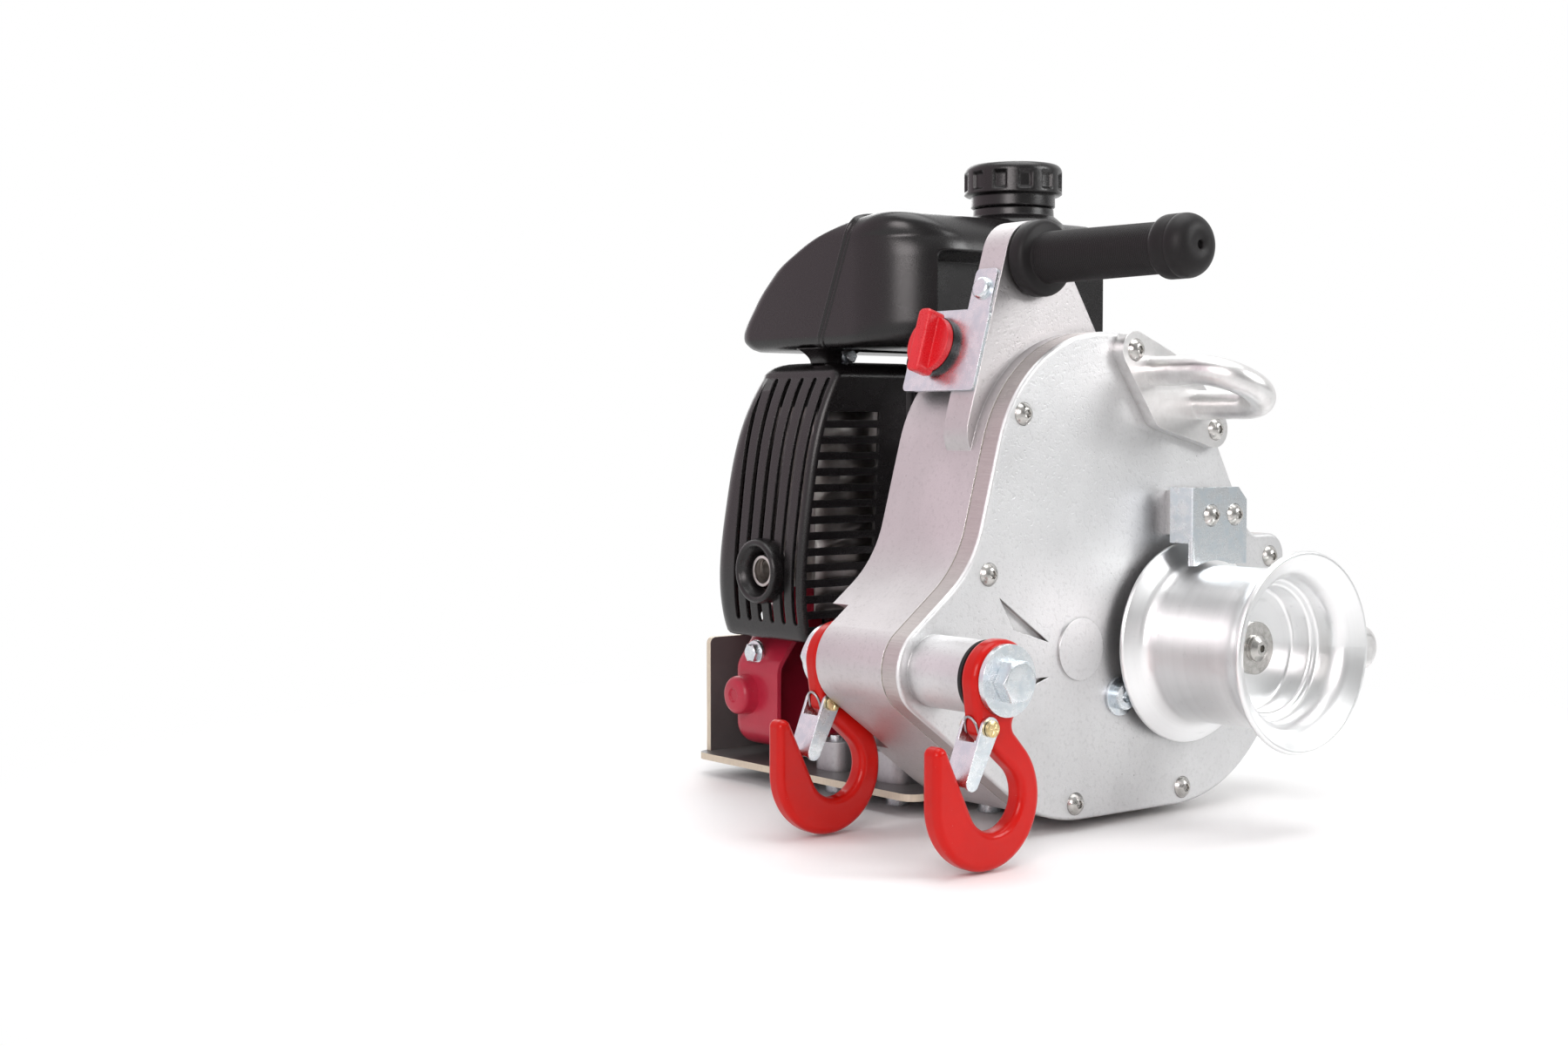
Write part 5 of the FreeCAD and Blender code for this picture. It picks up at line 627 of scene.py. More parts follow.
@dataclass(frozen=True)
class Shell:
    """A surface as arrays: its points, and its quads by the places of their corners."""

    points: Array
    quads: Array

    @staticmethod
    def grid(points: Array, close_u: bool = False, close_v: bool = False) -> "Shell":
        """Joins a grid of points with quads.

        The quad at row i and column j has the corners (i, j), (i + 1, j), (i + 1, j + 1) and (i, j + 1).

        Args:
            points: the points, as rows, columns and coordinates.
            close_u: whether the last row joins the first.
            close_v: whether the last column joins the first.

        Returns:
            The surface.
        """
        rows, columns = points.shape[:2]
        i = np.arange(rows if close_u else rows - 1)[:, None]
        j = np.arange(columns if close_v else columns - 1)[None, :]
        down, right = (i + 1) % rows, (j + 1) % columns
        corners = [i * columns + j, down * columns + j, down * columns + right, i * columns + right]
        quads = np.stack([np.broadcast_to(c, (i.size, j.size)) for c in corners], axis=-1)
        return Shell(points.reshape(-1, 3), quads.reshape(-1, 4))

    def __add__(self, other: "Shell") -> "Shell":
        """Both surfaces as one."""
        quads = np.concatenate([self.quads, other.quads + len(self.points)])
        return Shell(np.concatenate([self.points, other.points]), quads)

    def moved(self, offset: Sequence[float]) -> "Shell":
        """The surface carried by an offset."""
        return Shell(self.points + np.asarray(offset, float), self.quads)

    def turned(self, turn: Array) -> "Shell":
        """The surface turned about the origin by a 3 by 3 matrix."""
        return Shell(self.points @ np.asarray(turn, float).T, self.quads)

    def piece(self, name: str, slot: str, material: bpy.types.Material, crease: float) -> bpy.types.Object:
        """Makes the surface an object, which rides on no body yet.

        Args:
            name: the piece's name.
            slot: the record's material slot, not used.
            material: its finish.
            crease: the angle in degrees past which an edge looks sharp.

        Returns:
            The object, at the origin.
        """
        mesh = bpy.data.meshes.new(name)
        mesh.from_pydata(self.points.tolist(), [], self.quads.tolist())
        work = bmesh.new()
        work.from_mesh(mesh)
        bmesh.ops.remove_doubles(work, verts=work.verts, dist=1e-6)
        bmesh.ops.dissolve_degenerate(work, dist=1e-7, edges=work.edges)
        bmesh.ops.recalc_face_normals(work, faces=work.faces)
        work.to_mesh(mesh)
        work.free()
        mesh.shade_smooth()
        mesh.set_sharp_from_angle(angle=math.radians(crease))
        mesh.materials.append(material)
        made = bpy.data.objects.new(name, mesh)
        bpy.context.scene.collection.objects.link(made)
        log.info("piece %s: %d faces", name, len(mesh.polygons))
        return made


def joined(parts: Iterable[Shell]) -> Shell:
    """Several surfaces as one."""
    return functools.reduce(operator.add, parts)


def frame_of(direction: Sequence[float]) -> Array:
    """A turn that takes +Z to a direction.

    Args:
        direction: the direction.

    Returns:
        A 3 by 3 matrix whose columns are two side directions and the direction itself.
    """
    along = np.asarray(direction, float)
    along = along / np.linalg.norm(along)
    help_axis = np.array([0.0, 0.0, 1.0]) if abs(along[2]) < 0.9 else np.array([1.0, 0.0, 0.0])
    side = np.cross(help_axis, along)
    side = side / np.linalg.norm(side)
    return np.stack([side, np.cross(along, side), along], axis=1)


ANCHOR = np.array([-133.75, -91.9, 92.0])
TO_FRONT = frame_of((0.0, -1.0, 0.0))
TO_REAR = frame_of((0.0, 1.0, 0.0))
TO_LEFT = frame_of((-1.0, 0.0, 0.0))


def spot(x: Number, y: Number, z: Number) -> Array:
    """Frame points, from millimetres beside, behind and above the anchor bolt at the cover's face."""
    return (np.stack(np.broadcast_arrays(x, y, z), axis=-1) + ANCHOR) / 1000.0


def ease(value: Array) -> Array:
    """A smooth step: s s (3 - 2 s), with s the value held between 0 and 1."""
    share = np.clip(value, 0.0, 1.0)
    return share * share * (3.0 - 2.0 * share)


def drawn_in(radius: float, height: Array) -> Array:
    """How far a rounded edge draws in at a height above the start of its rounding: r - sqrt(r r - h h)."""
    return radius - np.sqrt(radius ** 2 - np.clip(height, 0.0, radius) ** 2)


def arc(middle: tuple[float, float], radius: float, start: float, stop: float, steps: int = 7) -> list:
    """Points of an arc: the middle plus radius times (cos a, sin a).

    Args:
        middle: the arc's middle.
        radius: its radius.
        start: the first angle in degrees.
        stop: the last angle.
        steps: the number of points.

    Returns:
        The points.
    """
    angle = np.radians(np.linspace(start, stop, steps))
    return np.stack([middle[0] + radius * np.cos(angle), middle[1] + radius * np.sin(angle)], axis=1).tolist()


def full_turn(sides: int) -> Array:
    """Even angles round a full turn, in radians."""
    return np.linspace(0.0, 2.0 * np.pi, sides, endpoint=False)


def lathe(rows: Iterable, sides: int = 64) -> Shell:
    """A form turned about Z: the row (r, h) at angle t is (r cos t, r sin t, h).

    Args:
        rows: each row's radius and height in millimetres, as numbers or as values for every angle.
        sides: the number of angles.

    Returns:
        The surface in metres, closed round the axis.
    """
    radius, height = (np.stack([np.broadcast_to(value, sides) for value in part]) for part in zip(*rows))
    angle = full_turn(sides)
    points = np.stack([radius * np.cos(angle), radius * np.sin(angle), height], axis=-1)
    return Shell.grid(points / 1000.0, close_v=True)


def hexagon(flat: float, sides: int = 72) -> Array:
    """A hexagon's edge by angle t: half its flats over the cosine of (t mod 60 degrees less 30 degrees).

    Args:
        flat: the width across flats.
        sides: the number of angles.

    Returns:
        The distance from the middle at each angle.
    """
    angle = np.linspace(0.0, 360.0, sides, endpoint=False)
    return flat / 2.0 / np.cos(np.radians(angle % 60.0 - 30.0))


def flanged_bolt(flat: float, core: float, head: float, bevel: float, flange: tuple, foot: float) -> Shell:
    """A bolt's hexagon head on its flange, towards +Z.

    Args:
        flat: the width across flats.
        core: the radius that the bevel leaves flat.
        head: the height of the head.
        bevel: the height of the bevel.
        flange: the flange's radius and height.
        foot: how far the flange sinks below its seat.

    Returns:
        The surface.
    """
    edge = hexagon(flat)
    wide, high = flange
    return lathe([(0.0, head), (core, head), (edge, head - bevel), (edge, high + 0.2), (wide - 0.2, high),
                  (wide, high - 0.8), (wide, -foot), (0.0, -foot)], len(edge))


def sweep(path: Array, section: Array, up: Sequence[float], closed: bool,
          scale: Array | None = None) -> Shell:
    """A profile carried along a path.

    With the path's direction d and the side s = up x d, the profile point (a, b) goes to
    path + a s + b d x s.

    Args:
        path: the path's points.
        section: the profile's points, closed.
        up: a direction across the path.
        closed: whether the path's end joins its start.
        scale: the profile's size at each path point.

    Returns:
        The surface.
    """
    ahead = np.roll(path, -1, axis=0) - np.roll(path, 1, axis=0) if closed else np.gradient(path, axis=0)
    ahead = ahead / np.linalg.norm(ahead, axis=1, keepdims=True)
    side = np.cross(np.asarray(up, float), ahead)
    side = side / np.linalg.norm(side, axis=1, keepdims=True)
    over = np.cross(ahead, side)
    size = np.ones(len(path)) if scale is None else np.asarray(scale, float)
    shape = section[None, :, :1] * side[:, None, :] + section[None, :, 1:] * over[:, None, :]
    return Shell.grid(path[:, None, :] + size[:, None, None] * shape, close_u=closed, close_v=True)


@dataclass
class Form(ABC):
    """A fine form of the winch, made of surfaces that lie in the frame."""

    finishes: "Finishes"

    @abstractmethod
    def build(self) -> None:
        """Makes the form's pieces."""

    def add(self, shell: Shell, name: str, slot: str, finish: str, crease: float, body: str = "winch",
            node: str | None = None) -> None:
        """Makes a surface a piece of the winch.

        Args:
            shell: the surface.
            name: the piece's name.
            slot: the record's material slot.
            finish: the finish's name.
            crease: the angle in degrees past which an edge looks sharp.
            body: the body that it rides on.
            node: the CAD node that it replaces, if any.
        """
        made = shell.piece(name, slot, self.finishes[finish], crease)
        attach(made, body)
        if node is not None:
            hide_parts(node)


@dataclass
class RibbedGrip(Form):
    """The rubber grip of the handle: a collar, a ringed barrel, and a bulb with a vent hole."""

    foot: Point = (87.0, 19.8, 208.0)
    collar_r: float = 20.0
    collar_rounds: tuple[float, float] = (3.0, 3.4)
    collar_top: float = 7.2
    barrel_r: float = 13.4
    barrel_run: tuple[float, float] = (11.5, 87.5)
    taper: float = 0.009
    ring_pitch: float = 1.25
    ring_depth: float = 0.16
    bulb_r: float = 15.9
    bulb_low: float = 94.2
    seam: float = 101.6
    dome_r: float = 9.0
    vent_r: float = 2.2
    vent_depth: float = 3.0
    length: float = 113.0

    def profile(self) -> list:
        """The grip's profile: its radius and its distance from the case, in millimetres.

        The barrel's radius falls along it and ripples with the cosine of its length over the ring pitch.

        Returns:
            The profile's points.
        """
        low, high = self.collar_rounds
        collar = [(9.2, 0.3), (self.collar_r - 2.6, 0.05)] + arc((self.collar_r - low, low), low, -80.0, 0.0)
        collar += arc((self.collar_r - high, self.collar_top), high, 0.0, 78.0)
        run = np.linspace(*self.barrel_run, 366)
        ripple = self.ring_depth * np.cos((run - run[0]) * (2.0 * np.pi / self.ring_pitch))
        barrel = np.stack([self.barrel_r - (run - run[0]) * self.taper + ripple, run], axis=1).tolist()
        neck = [(self.barrel_r + out, run[-1] + up) for out, up in ((-0.9, 1.1), (-1.0, 2.3), (0.3, 3.1))]
        bulb = arc((self.bulb_r - 3.0, self.bulb_low), 3.0, -70.0, 0.0)
        groove = ((0.0, 0.0), (0.25, 0.3), (0.25, 0.7), (0.0, 1.0))
        bulb += [(self.bulb_r - sunk, self.seam + up) for sunk, up in groove]
        bulb += arc((self.bulb_r - self.dome_r, self.length - self.dome_r), self.dome_r, 0.0, 84.0, 14)
        floor = self.length - self.vent_depth
        vent = [(self.vent_r + 0.5, self.length), (self.vent_r, self.length - 0.5), (self.vent_r, floor),
                (0.0, floor)]
        return collar + barrel + neck + bulb + vent

    def build(self) -> None:
        """Makes the grip."""
        form = lathe(self.profile(), 96).turned(TO_FRONT).moved(spot(*self.foot))
        self.add(form, "ribbed_grip", "rubber", "grip_rubber", 50.0, node="handle_grip")


@dataclass
class FlutedCap(Form):
    """The fuel cap: a fluted drum with a rounded brim over a narrower skirt."""

    foot: Point = (174.0, 124.0, 248.0)
    radius: float = 28.5
    skirt_r: float = 24.5
    bore: tuple[float, float] = (21.4, 4.4)
    height: float = 25.0
    brim_r: float = 4.6
    flutes: int = 12
    flute_low: float = 9.2
    depth: float = 1.7
    sides: int = 288

    def build(self) -> None:
        """Makes the cap, whose radius dips where cos(flutes t) is high and the rim isn't near."""
        bore_r, bore_top = self.bore
        profile = [(0.0, bore_top), (bore_r, bore_top), (bore_r, 0.2), (self.skirt_r - 0.6, 0.0),
                   (self.skirt_r, 0.6), (self.skirt_r, 6.6), (self.radius - 1.2, 7.0), (self.radius, 7.8)]
        profile += [(self.radius, h) for h in np.linspace(8.6, self.height - 5.0, 28)]
        profile += arc((self.radius - self.brim_r, self.height - self.brim_r), self.brim_r, 0.0, 90.0, 12)
        profile += [(r, self.height - sunk)
                    for r, sunk in ((18.2, 0.0), (17.6, 0.5), (16.6, 0.5), (16.0, 0.1), (0.0, 0.05))]
        shape = np.asarray(profile)
        above = np.clip((shape[:, 1] - self.flute_low) / 1.6, 0.0, 1.0)
        below = np.clip((self.height - self.brim_r - shape[:, 1]) / 2.2, 0.0, 1.0)
        outer = shape[:, 0] > self.radius - 1.5
        flute = ease((np.cos(self.flutes * full_turn(self.sides)) + 0.25) / 0.5)
        dip = (above * below * outer)[:, None] * flute
        form = lathe(zip(shape[:, :1] - self.depth * dip, shape[:, 1]), self.sides).moved(spot(*self.foot))
        self.add(form, "fluted_fuel_cap", "black_plastic", "black_plastic", 40.0, "fuel_cap", "fuel_cap")


@dataclass
class MouldedTank(Form):
    """The fuel tank: a blown form with a broad front corner, a sloping tail and a niche for the lever."""

    sides: tuple[float, float] = (59.0, 236.0)
    front: float = 88.0
    low: float = 165.0
    top: float = 240.0
    brow: float = 26.0
    edge: float = 14.0
    chin: float = 14.0
    foot: float = 7.0
    corners: tuple = (46.0, 18.0, 20.0, 22.0)
    niche: Point = (88.0, 110.0, 216.0)
    niche_step: float = 5.0
    tail: tuple = ((165.0, 237.0), (166.5, 241.0), (169.0, 244.0), (173.0, 246.0), (180.0, 243.5),
                   (198.0, 229.0), (213.6, 211.0), (226.4, 184.0), (233.0, 164.0), (237.0, 147.0),
                   (239.2, 134.0), (240.0, 126.0))
    tail_blur: float = 4.0
    ridge: float = 40.0
    filler: tuple[float, float] = (174.0, 124.0)
    collar: tuple = ((0.0, 247.8), (22.6, 247.8), (23.6, 246.8), (23.8, 243.0), (26.2, 241.0), (29.0, 238.5),
                     (31.0, 231.0), (0.0, 231.0))

    def outline(self, left: Array, right: Array, front: Array, rear: Array) -> tuple[Array, Array]:
        """Rounded outlines: at each corner the middle plus radius times (cos a, sin a), then straights.

        Args:
            left: the left limit of each row.
            right: the right limit.
            front: the front limit.
            rear: the rear limit.

        Returns:
            The outlines' x and y, by rows and columns.
        """
        room = np.minimum(rear - front, right - left) * 0.49
        places = ((left, front, 1.0, 1.0, 270.0), (left, rear, 1.0, -1.0, 180.0),
                  (right, rear, -1.0, -1.0, 90.0), (right, front, -1.0, 1.0, 0.0))
        xs, ys = [], []
        for size, (x, y, over, up, start) in zip(self.corners, places):
            radius = np.minimum(size, room)
            angle = np.radians(np.linspace(start, start - 90.0, 44))
            xs.append(x + over * radius + radius * np.cos(angle))
            ys.append(y + up * radius + radius * np.sin(angle))
        part = np.linspace(0.0, 1.0, 62)[1:-1]
        for run in (xs, ys):
            run.append(run[3][:, -1:] + (run[0][:, :1] - run[3][:, -1:]) * part)
        return np.concatenate(xs, axis=1), np.concatenate(ys, axis=1)

    def form(self) -> Shell:
        """The tank's surface, in the frame.

        Each level's outline draws in by r - sqrt(r r - h h) near the top and bottom, its rear follows the
        tail, and a smooth step presses the niche back. Both ends close to their middle line.

        Returns:
            The surface.
        """
        fine = np.linspace(self.niche[2] - 3.5, self.niche[2] + 3.5, 12)
        level = np.unique(np.concatenate([np.linspace(self.low, self.top, 64), fine]))[:, None]
        ends = drawn_in(self.foot, self.low + self.foot - level)
        ends = ends + drawn_in(self.edge, level - self.top + self.edge)
        left, right = self.sides[0] + ends, self.sides[1] - ends
        front = self.front + drawn_in(self.chin, self.low + self.chin - level)
        front = front + drawn_in(self.brow, level - self.top + self.brow)
        blur = np.linspace(-self.tail_blur, self.tail_blur, 9) * np.clip((self.top - level) / 6.0, 0.0, 1.0)
        rear = np.interp(level + blur, *zip(*self.tail)).mean(axis=1, keepdims=True)
        x, y = self.outline(left, right, front, rear)
        press = ease((x - self.niche[0] + 2.0) / self.niche_step)
        press = press * ease((self.niche[2] + 2.0 - level) / self.niche_step)
        y = y + press * (np.maximum(y, self.niche[1]) - y)
        z = level + 0.0 * x
        middle = (y.min(axis=1, keepdims=True) + y.max(axis=1, keepdims=True)) / 2.0
        close = (np.clip(x, left + self.ridge, right - self.ridge), middle + 0.0 * x, z)
        rows = [np.concatenate([end[:1], wall, end[-1:]]) for wall, end in zip((x, y, z), close)]
        return Shell.grid(spot(*rows), close_v=True)

    def build(self) -> None:
        """Makes the tank with the collar under its cap."""
        form = self.form() + lathe(self.collar, 96).moved(spot(*self.filler, 0.0))
        self.add(form, "moulded_tank", "black_plastic", "black_plastic", 40.0, node="fuel_tank")


@dataclass
class TankSeam(Form):
    """The weld seam of the fuel tank: two fine beads where its front and rear mouldings meet."""

    point: Point = (60.0, 134.0, 236.0)
    lean: Point = (-0.16, 1.0, 0.42)
    filler: Point = (174.0, 124.0, 0.0)
    filler_r: float = 33.0
    bead: tuple = ((-1.4, -3.1), (0.05, -2.8), (0.62, -2.2), (0.78, -1.6), (0.6, -1.0), (0.12, -0.5))
    steps: int = 320

    def cut(self, normal: Array) -> Array:
        """The points where the leaning plane cuts the tank's own surface, away from its filler.

        Args:
            normal: the plane's normal.

        Returns:
            The points, in no order.
        """
        work = bmesh.new()
        work.from_mesh(bpy.data.meshes["moulded_tank"])
        bmesh.ops.bisect_plane(work, geom=[*work.verts, *work.edges, *work.faces], plane_co=spot(*self.point),
                               plane_no=normal, clear_inner=True, clear_outer=True)
        rest = bpy.data.meshes.new("seam_cut")
        work.to_mesh(rest)
        work.free()
        points = np.empty(len(rest.vertices) * 3)
        rest.vertices.foreach_get("co", points)
        bpy.data.meshes.remove(rest)
        points = points.reshape(-1, 3)
        return points[np.hypot(*(points - spot(*self.filler)).T[:2]) > self.filler_r / 1000.0]

    def line(self, normal: Array) -> Array:
        """The seam's line.

        The cut's points are sorted by their angle in the plane, and the line runs straight between them in
        even steps.

        Args:
            normal: the plane's normal.

        Returns:
            The line's points, in the frame.
        """
        points = self.cut(normal)
        middle = (points.min(axis=0) + points.max(axis=0)) / 2.0
        across = np.cross(normal, (0.0, 0.0, 1.0))
        across = across / np.linalg.norm(across)
        rise = np.cross(across, normal)
        run, height = (points - middle) @ across, (points - middle) @ rise
        order = np.argsort(np.arctan2(height, run))
        order = np.append(order, order[0])
        run, height = run[order], height[order]
        far = np.append(0.0, np.cumsum(np.hypot(np.diff(run), np.diff(height))))
        even = np.linspace(0.0, far[-1], self.steps, endpoint=False)
        run, height = np.interp(even, far, run), np.interp(even, far, height)
        return middle + run[:, None] * across + height[:, None] * rise

    def build(self) -> None:
        """Carries the beads' profile round the line."""
        normal = np.asarray(self.lean) / np.linalg.norm(self.lean)
        path = self.line(normal)
        section = np.asarray([*self.bead, *((out, -along) for out, along in self.bead[::-1])]) / 1000.0
        ahead = np.roll(path, -1, axis=0) - path
        out = np.sum(np.cross(normal, ahead) * (path - path.mean(axis=0)))
        section[:, 0] *= 1.0 if out > 0.0 else -1.0
        self.add(sweep(path, section, normal, True), "tank_seam", "black_plastic", "black_plastic", 60.0)


@dataclass
class ButtonScrews(Form):
    """Button-head screws with hexagon sockets, all with their heads to the front."""

    name: str
    node: str
    places: tuple
    reach: float
    head_r: float = 6.0
    head: float = 3.4
    dome_r: float = 6.55
    dome_drop: float = 2.6
    shank_r: float = 3.0
    key: float = 4.0
    key_depth: float = 2.0

    def form(self, reach: float) -> Shell:
        """One screw with its head towards +Z.

        The socket's radius follows a hexagon, and the dome is an arc from the socket to the head's edge.

        Args:
            reach: the length of the shank.

        Returns:
            The surface.
        """
        edge = hexagon(self.key)
        floor = self.head - self.key_depth
        dome = arc((0.0, -self.dome_drop), self.dome_r, 66.0, 24.5, 9)
        dome = [row for row in dome if row[0] > self.shank_r]
        return lathe([(0.0, floor - 0.5), (edge * 0.85, floor), (edge, floor + 0.2), (edge, self.head - 0.1),
                      (edge + 0.25, self.head), *dome, (self.head_r, 0.35), (self.head_r, -0.02),
                      (self.shank_r, -0.02), (self.shank_r, 0.4 - reach), (self.shank_r - 0.4, -reach),
                      (0.0, -reach)], len(edge))

    def build(self) -> None:
        """Makes every screw of the group."""
        whole = joined(self.form(self.reach - y).turned(TO_FRONT).moved(spot(x, y, z))
                       for x, y, z in self.places)
        self.add(whole, self.name, "satin_steel", "stainless", 32.0, node=self.node)


@dataclass
class AnchorBolt(Form):
    """The anchor bolt with its chamfered hexagon head and threaded end, and the nut behind."""

    head_y: float = -52.6
    nut_y: float = 82.6
    flat: float = 19.0
    head: float = 8.0
    nut: float = 11.0
    shank_r: float = 6.35
    end: float = 96.6
    pitch: float = 1.75
    thread_depth: float = 0.35
    sides: int = 96

    def hexagon_rows(self, top: float, core: float) -> list:
        """The rows of a hexagon form whose top is cut by a cone of thirty degrees.

        Args:
            top: the height of its top.
            core: the radius that the top's flat is left to.

        Returns:
            Radii with heights, from the core outwards and down.
        """
        edge = hexagon(self.flat, self.sides)
        flat_r = self.flat * 0.48
        cone = top - (edge - flat_r) * math.tan(math.radians(30.0))
        return [(core, top - 0.1), (flat_r - 0.8, top), (flat_r, top - 0.08), (edge - 0.12, cone),
                (edge, cone - 0.25), (edge, 0.3), (edge - 0.3, 0.0)]

    def thread_rows(self) -> list:
        """The threaded end's rows: the radius dips with each turn's pitch.

        Returns:
            Radii by angle with heights.
        """
        angle = full_turn(self.sides)
        start = self.head_y - self.nut_y - self.nut + 0.5
        run = np.linspace(start, self.head_y - self.end + 0.8, 26)
        dips = 1.0 + np.cos(run[:, None] * (2.0 * np.pi / self.pitch) - angle)
        return list(zip(self.shank_r - self.thread_depth * dips, run))

    def build(self) -> None:
        """Makes the bolt and the nut."""
        low = self.head_y - self.end
        shank = [(self.shank_r, 0.0), (self.shank_r, self.head_y - self.nut_y + 1.0)]
        bolt = [(0.0, self.head - 0.1), *self.hexagon_rows(self.head, 3.0), *shank, *self.thread_rows(),
                (self.shank_r - 1.2, low), (0.0, low)]
        bore = self.shank_r + 0.02
        nut = [(bore, 0.0), *self.hexagon_rows(self.nut, bore + 0.7), (bore, 0.0)]
        pair = (("anchor_bolt", bolt, TO_FRONT, self.head_y), ("anchor_nut", nut, TO_REAR, self.nut_y))
        for node, rows, turn, y in pair:
            form = lathe(rows, self.sides).turned(turn).moved(spot(0.0, y, 0.0))
            self.add(form, "hex_" + node, "zinc_steel", "zinc_plate", 22.0, node=node)


@dataclass
class LouvredShield(Form):
    """The moulded cover round the muffler: a swelling skin with slots at its side and louvres in front.

    Its left, front and rear planes are given by their place at the foot, their lean up to the shoulder, and
    how far they swell in between.
    """

    low: float = -3.0
    shoulder: float = 149.0
    top: float = 157.5
    wall: float = 2.2
    left: Point = (50.0, 13.0, -11.0)
    front: Point = (163.0, -11.0, 0.0)
    rear: Point = (246.0, -18.0, 5.0)
    right: tuple[float, float] = (114.0, 123.5)
    right_step: tuple[float, float] = (50.0, 54.0)
    rear_end: tuple = ((-3.0, 73.0), (10.0, 82.5), (20.0, 89.5), (30.0, 97.5), (45.0, 108.5), (58.0, 119.5),
                       (62.0, 123.5))
    front_r: float = 4.2
    rear_r: float = 13.0
    crown: float = 14.0
    ridge: float = 24.0
    slots: int = 6
    slot: float = 4.2
    slot_tip: float = 2.2
    slot_run: tuple[float, float] = (7.0, 148.5)
    slot_first: tuple[float, float] = (169.6, -11.0)
    slot_pitch: tuple[float, float] = (10.8, 1.1)
    louvres: int = 14
    louvre: tuple[float, float] = (9.1, 4.6)
    louvre_low: float = 6.0
    louvre_right: float = 97.0
    outlet: tuple[float, float] = (195.0, 37.0)
    outlet_r: float = 15.5
    outlet_depth: float = 60.0

    def levels(self) -> tuple[Array, Array, Array]:
        """The skin's rows: their height, how far the crown draws them in, and how far the roof closes over.

        Returns:
            The three values of each row.
        """
        steps = np.arange(self.louvres) * self.louvre[0] + self.louvre_low
        ends = np.array([0.0, 0.35, 1.0, self.slot_tip])
        foot = [self.low, self.low + 0.6, self.low + 2.0, 2.5]
        walls = np.concatenate([foot, steps, steps + self.louvre[1], self.slot_run[0] + ends,
                                self.slot_run[1] - ends, [136.0, 141.0]])
        walls = np.unique(walls.round(3))
        turn = np.radians(np.linspace(0.0, 90.0, 7))
        arch = self.shoulder + (self.top - self.shoulder) * np.sin(turn)
        height = np.concatenate([walls, arch, [self.top, self.top]])
        drawn = np.concatenate([0.0 * walls, self.crown * (1.0 - np.cos(turn)), [self.crown, self.crown]])
        drawn[:3] = (1.6, 0.7, 0.1)
        closed = np.concatenate([0.0 * walls, 0.0 * turn, [0.5, 1.0]])
        return height, drawn, closed

    def planes(self, share: Array) -> list[Array]:
        """The left, front and rear planes by the height's share s; they swell by 1 - |2 s - 1| cubed."""
        swell = 1.0 - np.abs(2.0 * share - 1.0) ** 3
        planes = (self.left, self.front, self.rear)
        return [foot + lean * share + bulge * swell for foot, lean, bulge in planes]

    def slot_edges(self, height: Array, share: Array) -> Array:
        """Both edges of every slot by height: the slots lean back, spread upwards and have round ends.

        Args:
            height: the heights.
            share: their share of the wall.

        Returns:
            The edges' places from the front, by rows and columns.
        """
        reach = np.minimum(height - self.slot_run[0], self.slot_run[1] - height)
        tip = np.clip(1.0 - reach / self.slot_tip, 0.0, 1.0)
        half = self.slot / 2.0 * (0.2 + 0.8 * np.sqrt(1.0 - tip ** 2))
        pitch = self.slot_pitch[0] + self.slot_pitch[1] * share ** 2
        middle = self.slot_first[0] + self.slot_first[1] * share + pitch * np.arange(self.slots)
        return np.stack([middle - half, middle + half], axis=-1).reshape(len(height), -1)

    def skin(self, depth: float) -> tuple[Array, Array, Array]:
        """The skin's points at a depth below its outside, by rows and columns.

        The columns run from the cylinder along the front, round a corner, along the slotted side, round the
        rear corner, and back along the rear.

        Args:
            depth: the depth in millimetres.

        Returns:
            The points, which columns of cells are slots, and which are louvred.
        """
        height, drawn, closed = (row[:, None] for row in self.levels())
        share = np.clip((height - self.low) / (self.shoulder - self.low), 0.0, 1.0)
        left, front, rear = self.planes(share)
        left, front, rear = left + drawn + depth, front + drawn + depth, rear - drawn - depth
        near, far = self.front_r - depth, self.rear_r - depth
        right = np.interp(height, self.right_step, self.right)
        end = np.interp(height, *zip(*self.rear_end))
        part = np.linspace(0.0, 1.0, 5)
        bend = np.radians(np.linspace(0.0, 90.0, 8))[1:-1]
        slots = np.clip(self.slot_edges(height, share), front + near, rear - far)
        rest = slots[:, -1:] + (rear - far - slots[:, -1:]) * part[1:]
        xs = [right + (self.louvre_right - right) * part[:-1],
              self.louvre_right + (left + near - self.louvre_right) * part, left + near - near * np.sin(bend),
              left + 0.0 * slots, left + 0.0 * rest, left + far - far * np.cos(bend),
              left + far + (np.maximum(end, left + far) - left - far) * part]
        ys = [front + 0.0 * xs[0], front + 0.0 * xs[1], front + near - near * np.cos(bend), slots, rest,
              rear - far + far * np.sin(bend), rear + 0.0 * xs[6]]
        x, y = np.concatenate(xs, axis=1), np.concatenate(ys, axis=1)
        x = x + closed * (np.maximum(x, left + self.ridge) - x)
        y = y + closed * ((front + rear) / 2.0 - y)
        first, second, third, fourth = np.cumsum([run.shape[1] for run in xs[:4]])
        cell = np.arange(x.shape[1] - 1)
        slotted = (cell >= third) & (cell < fourth) & ((cell - third) % 2 == 0)
        louvred = (cell >= first) & (cell < second - 1)
        return spot(x, y, height - depth * (drawn / self.crown)), slotted, louvred

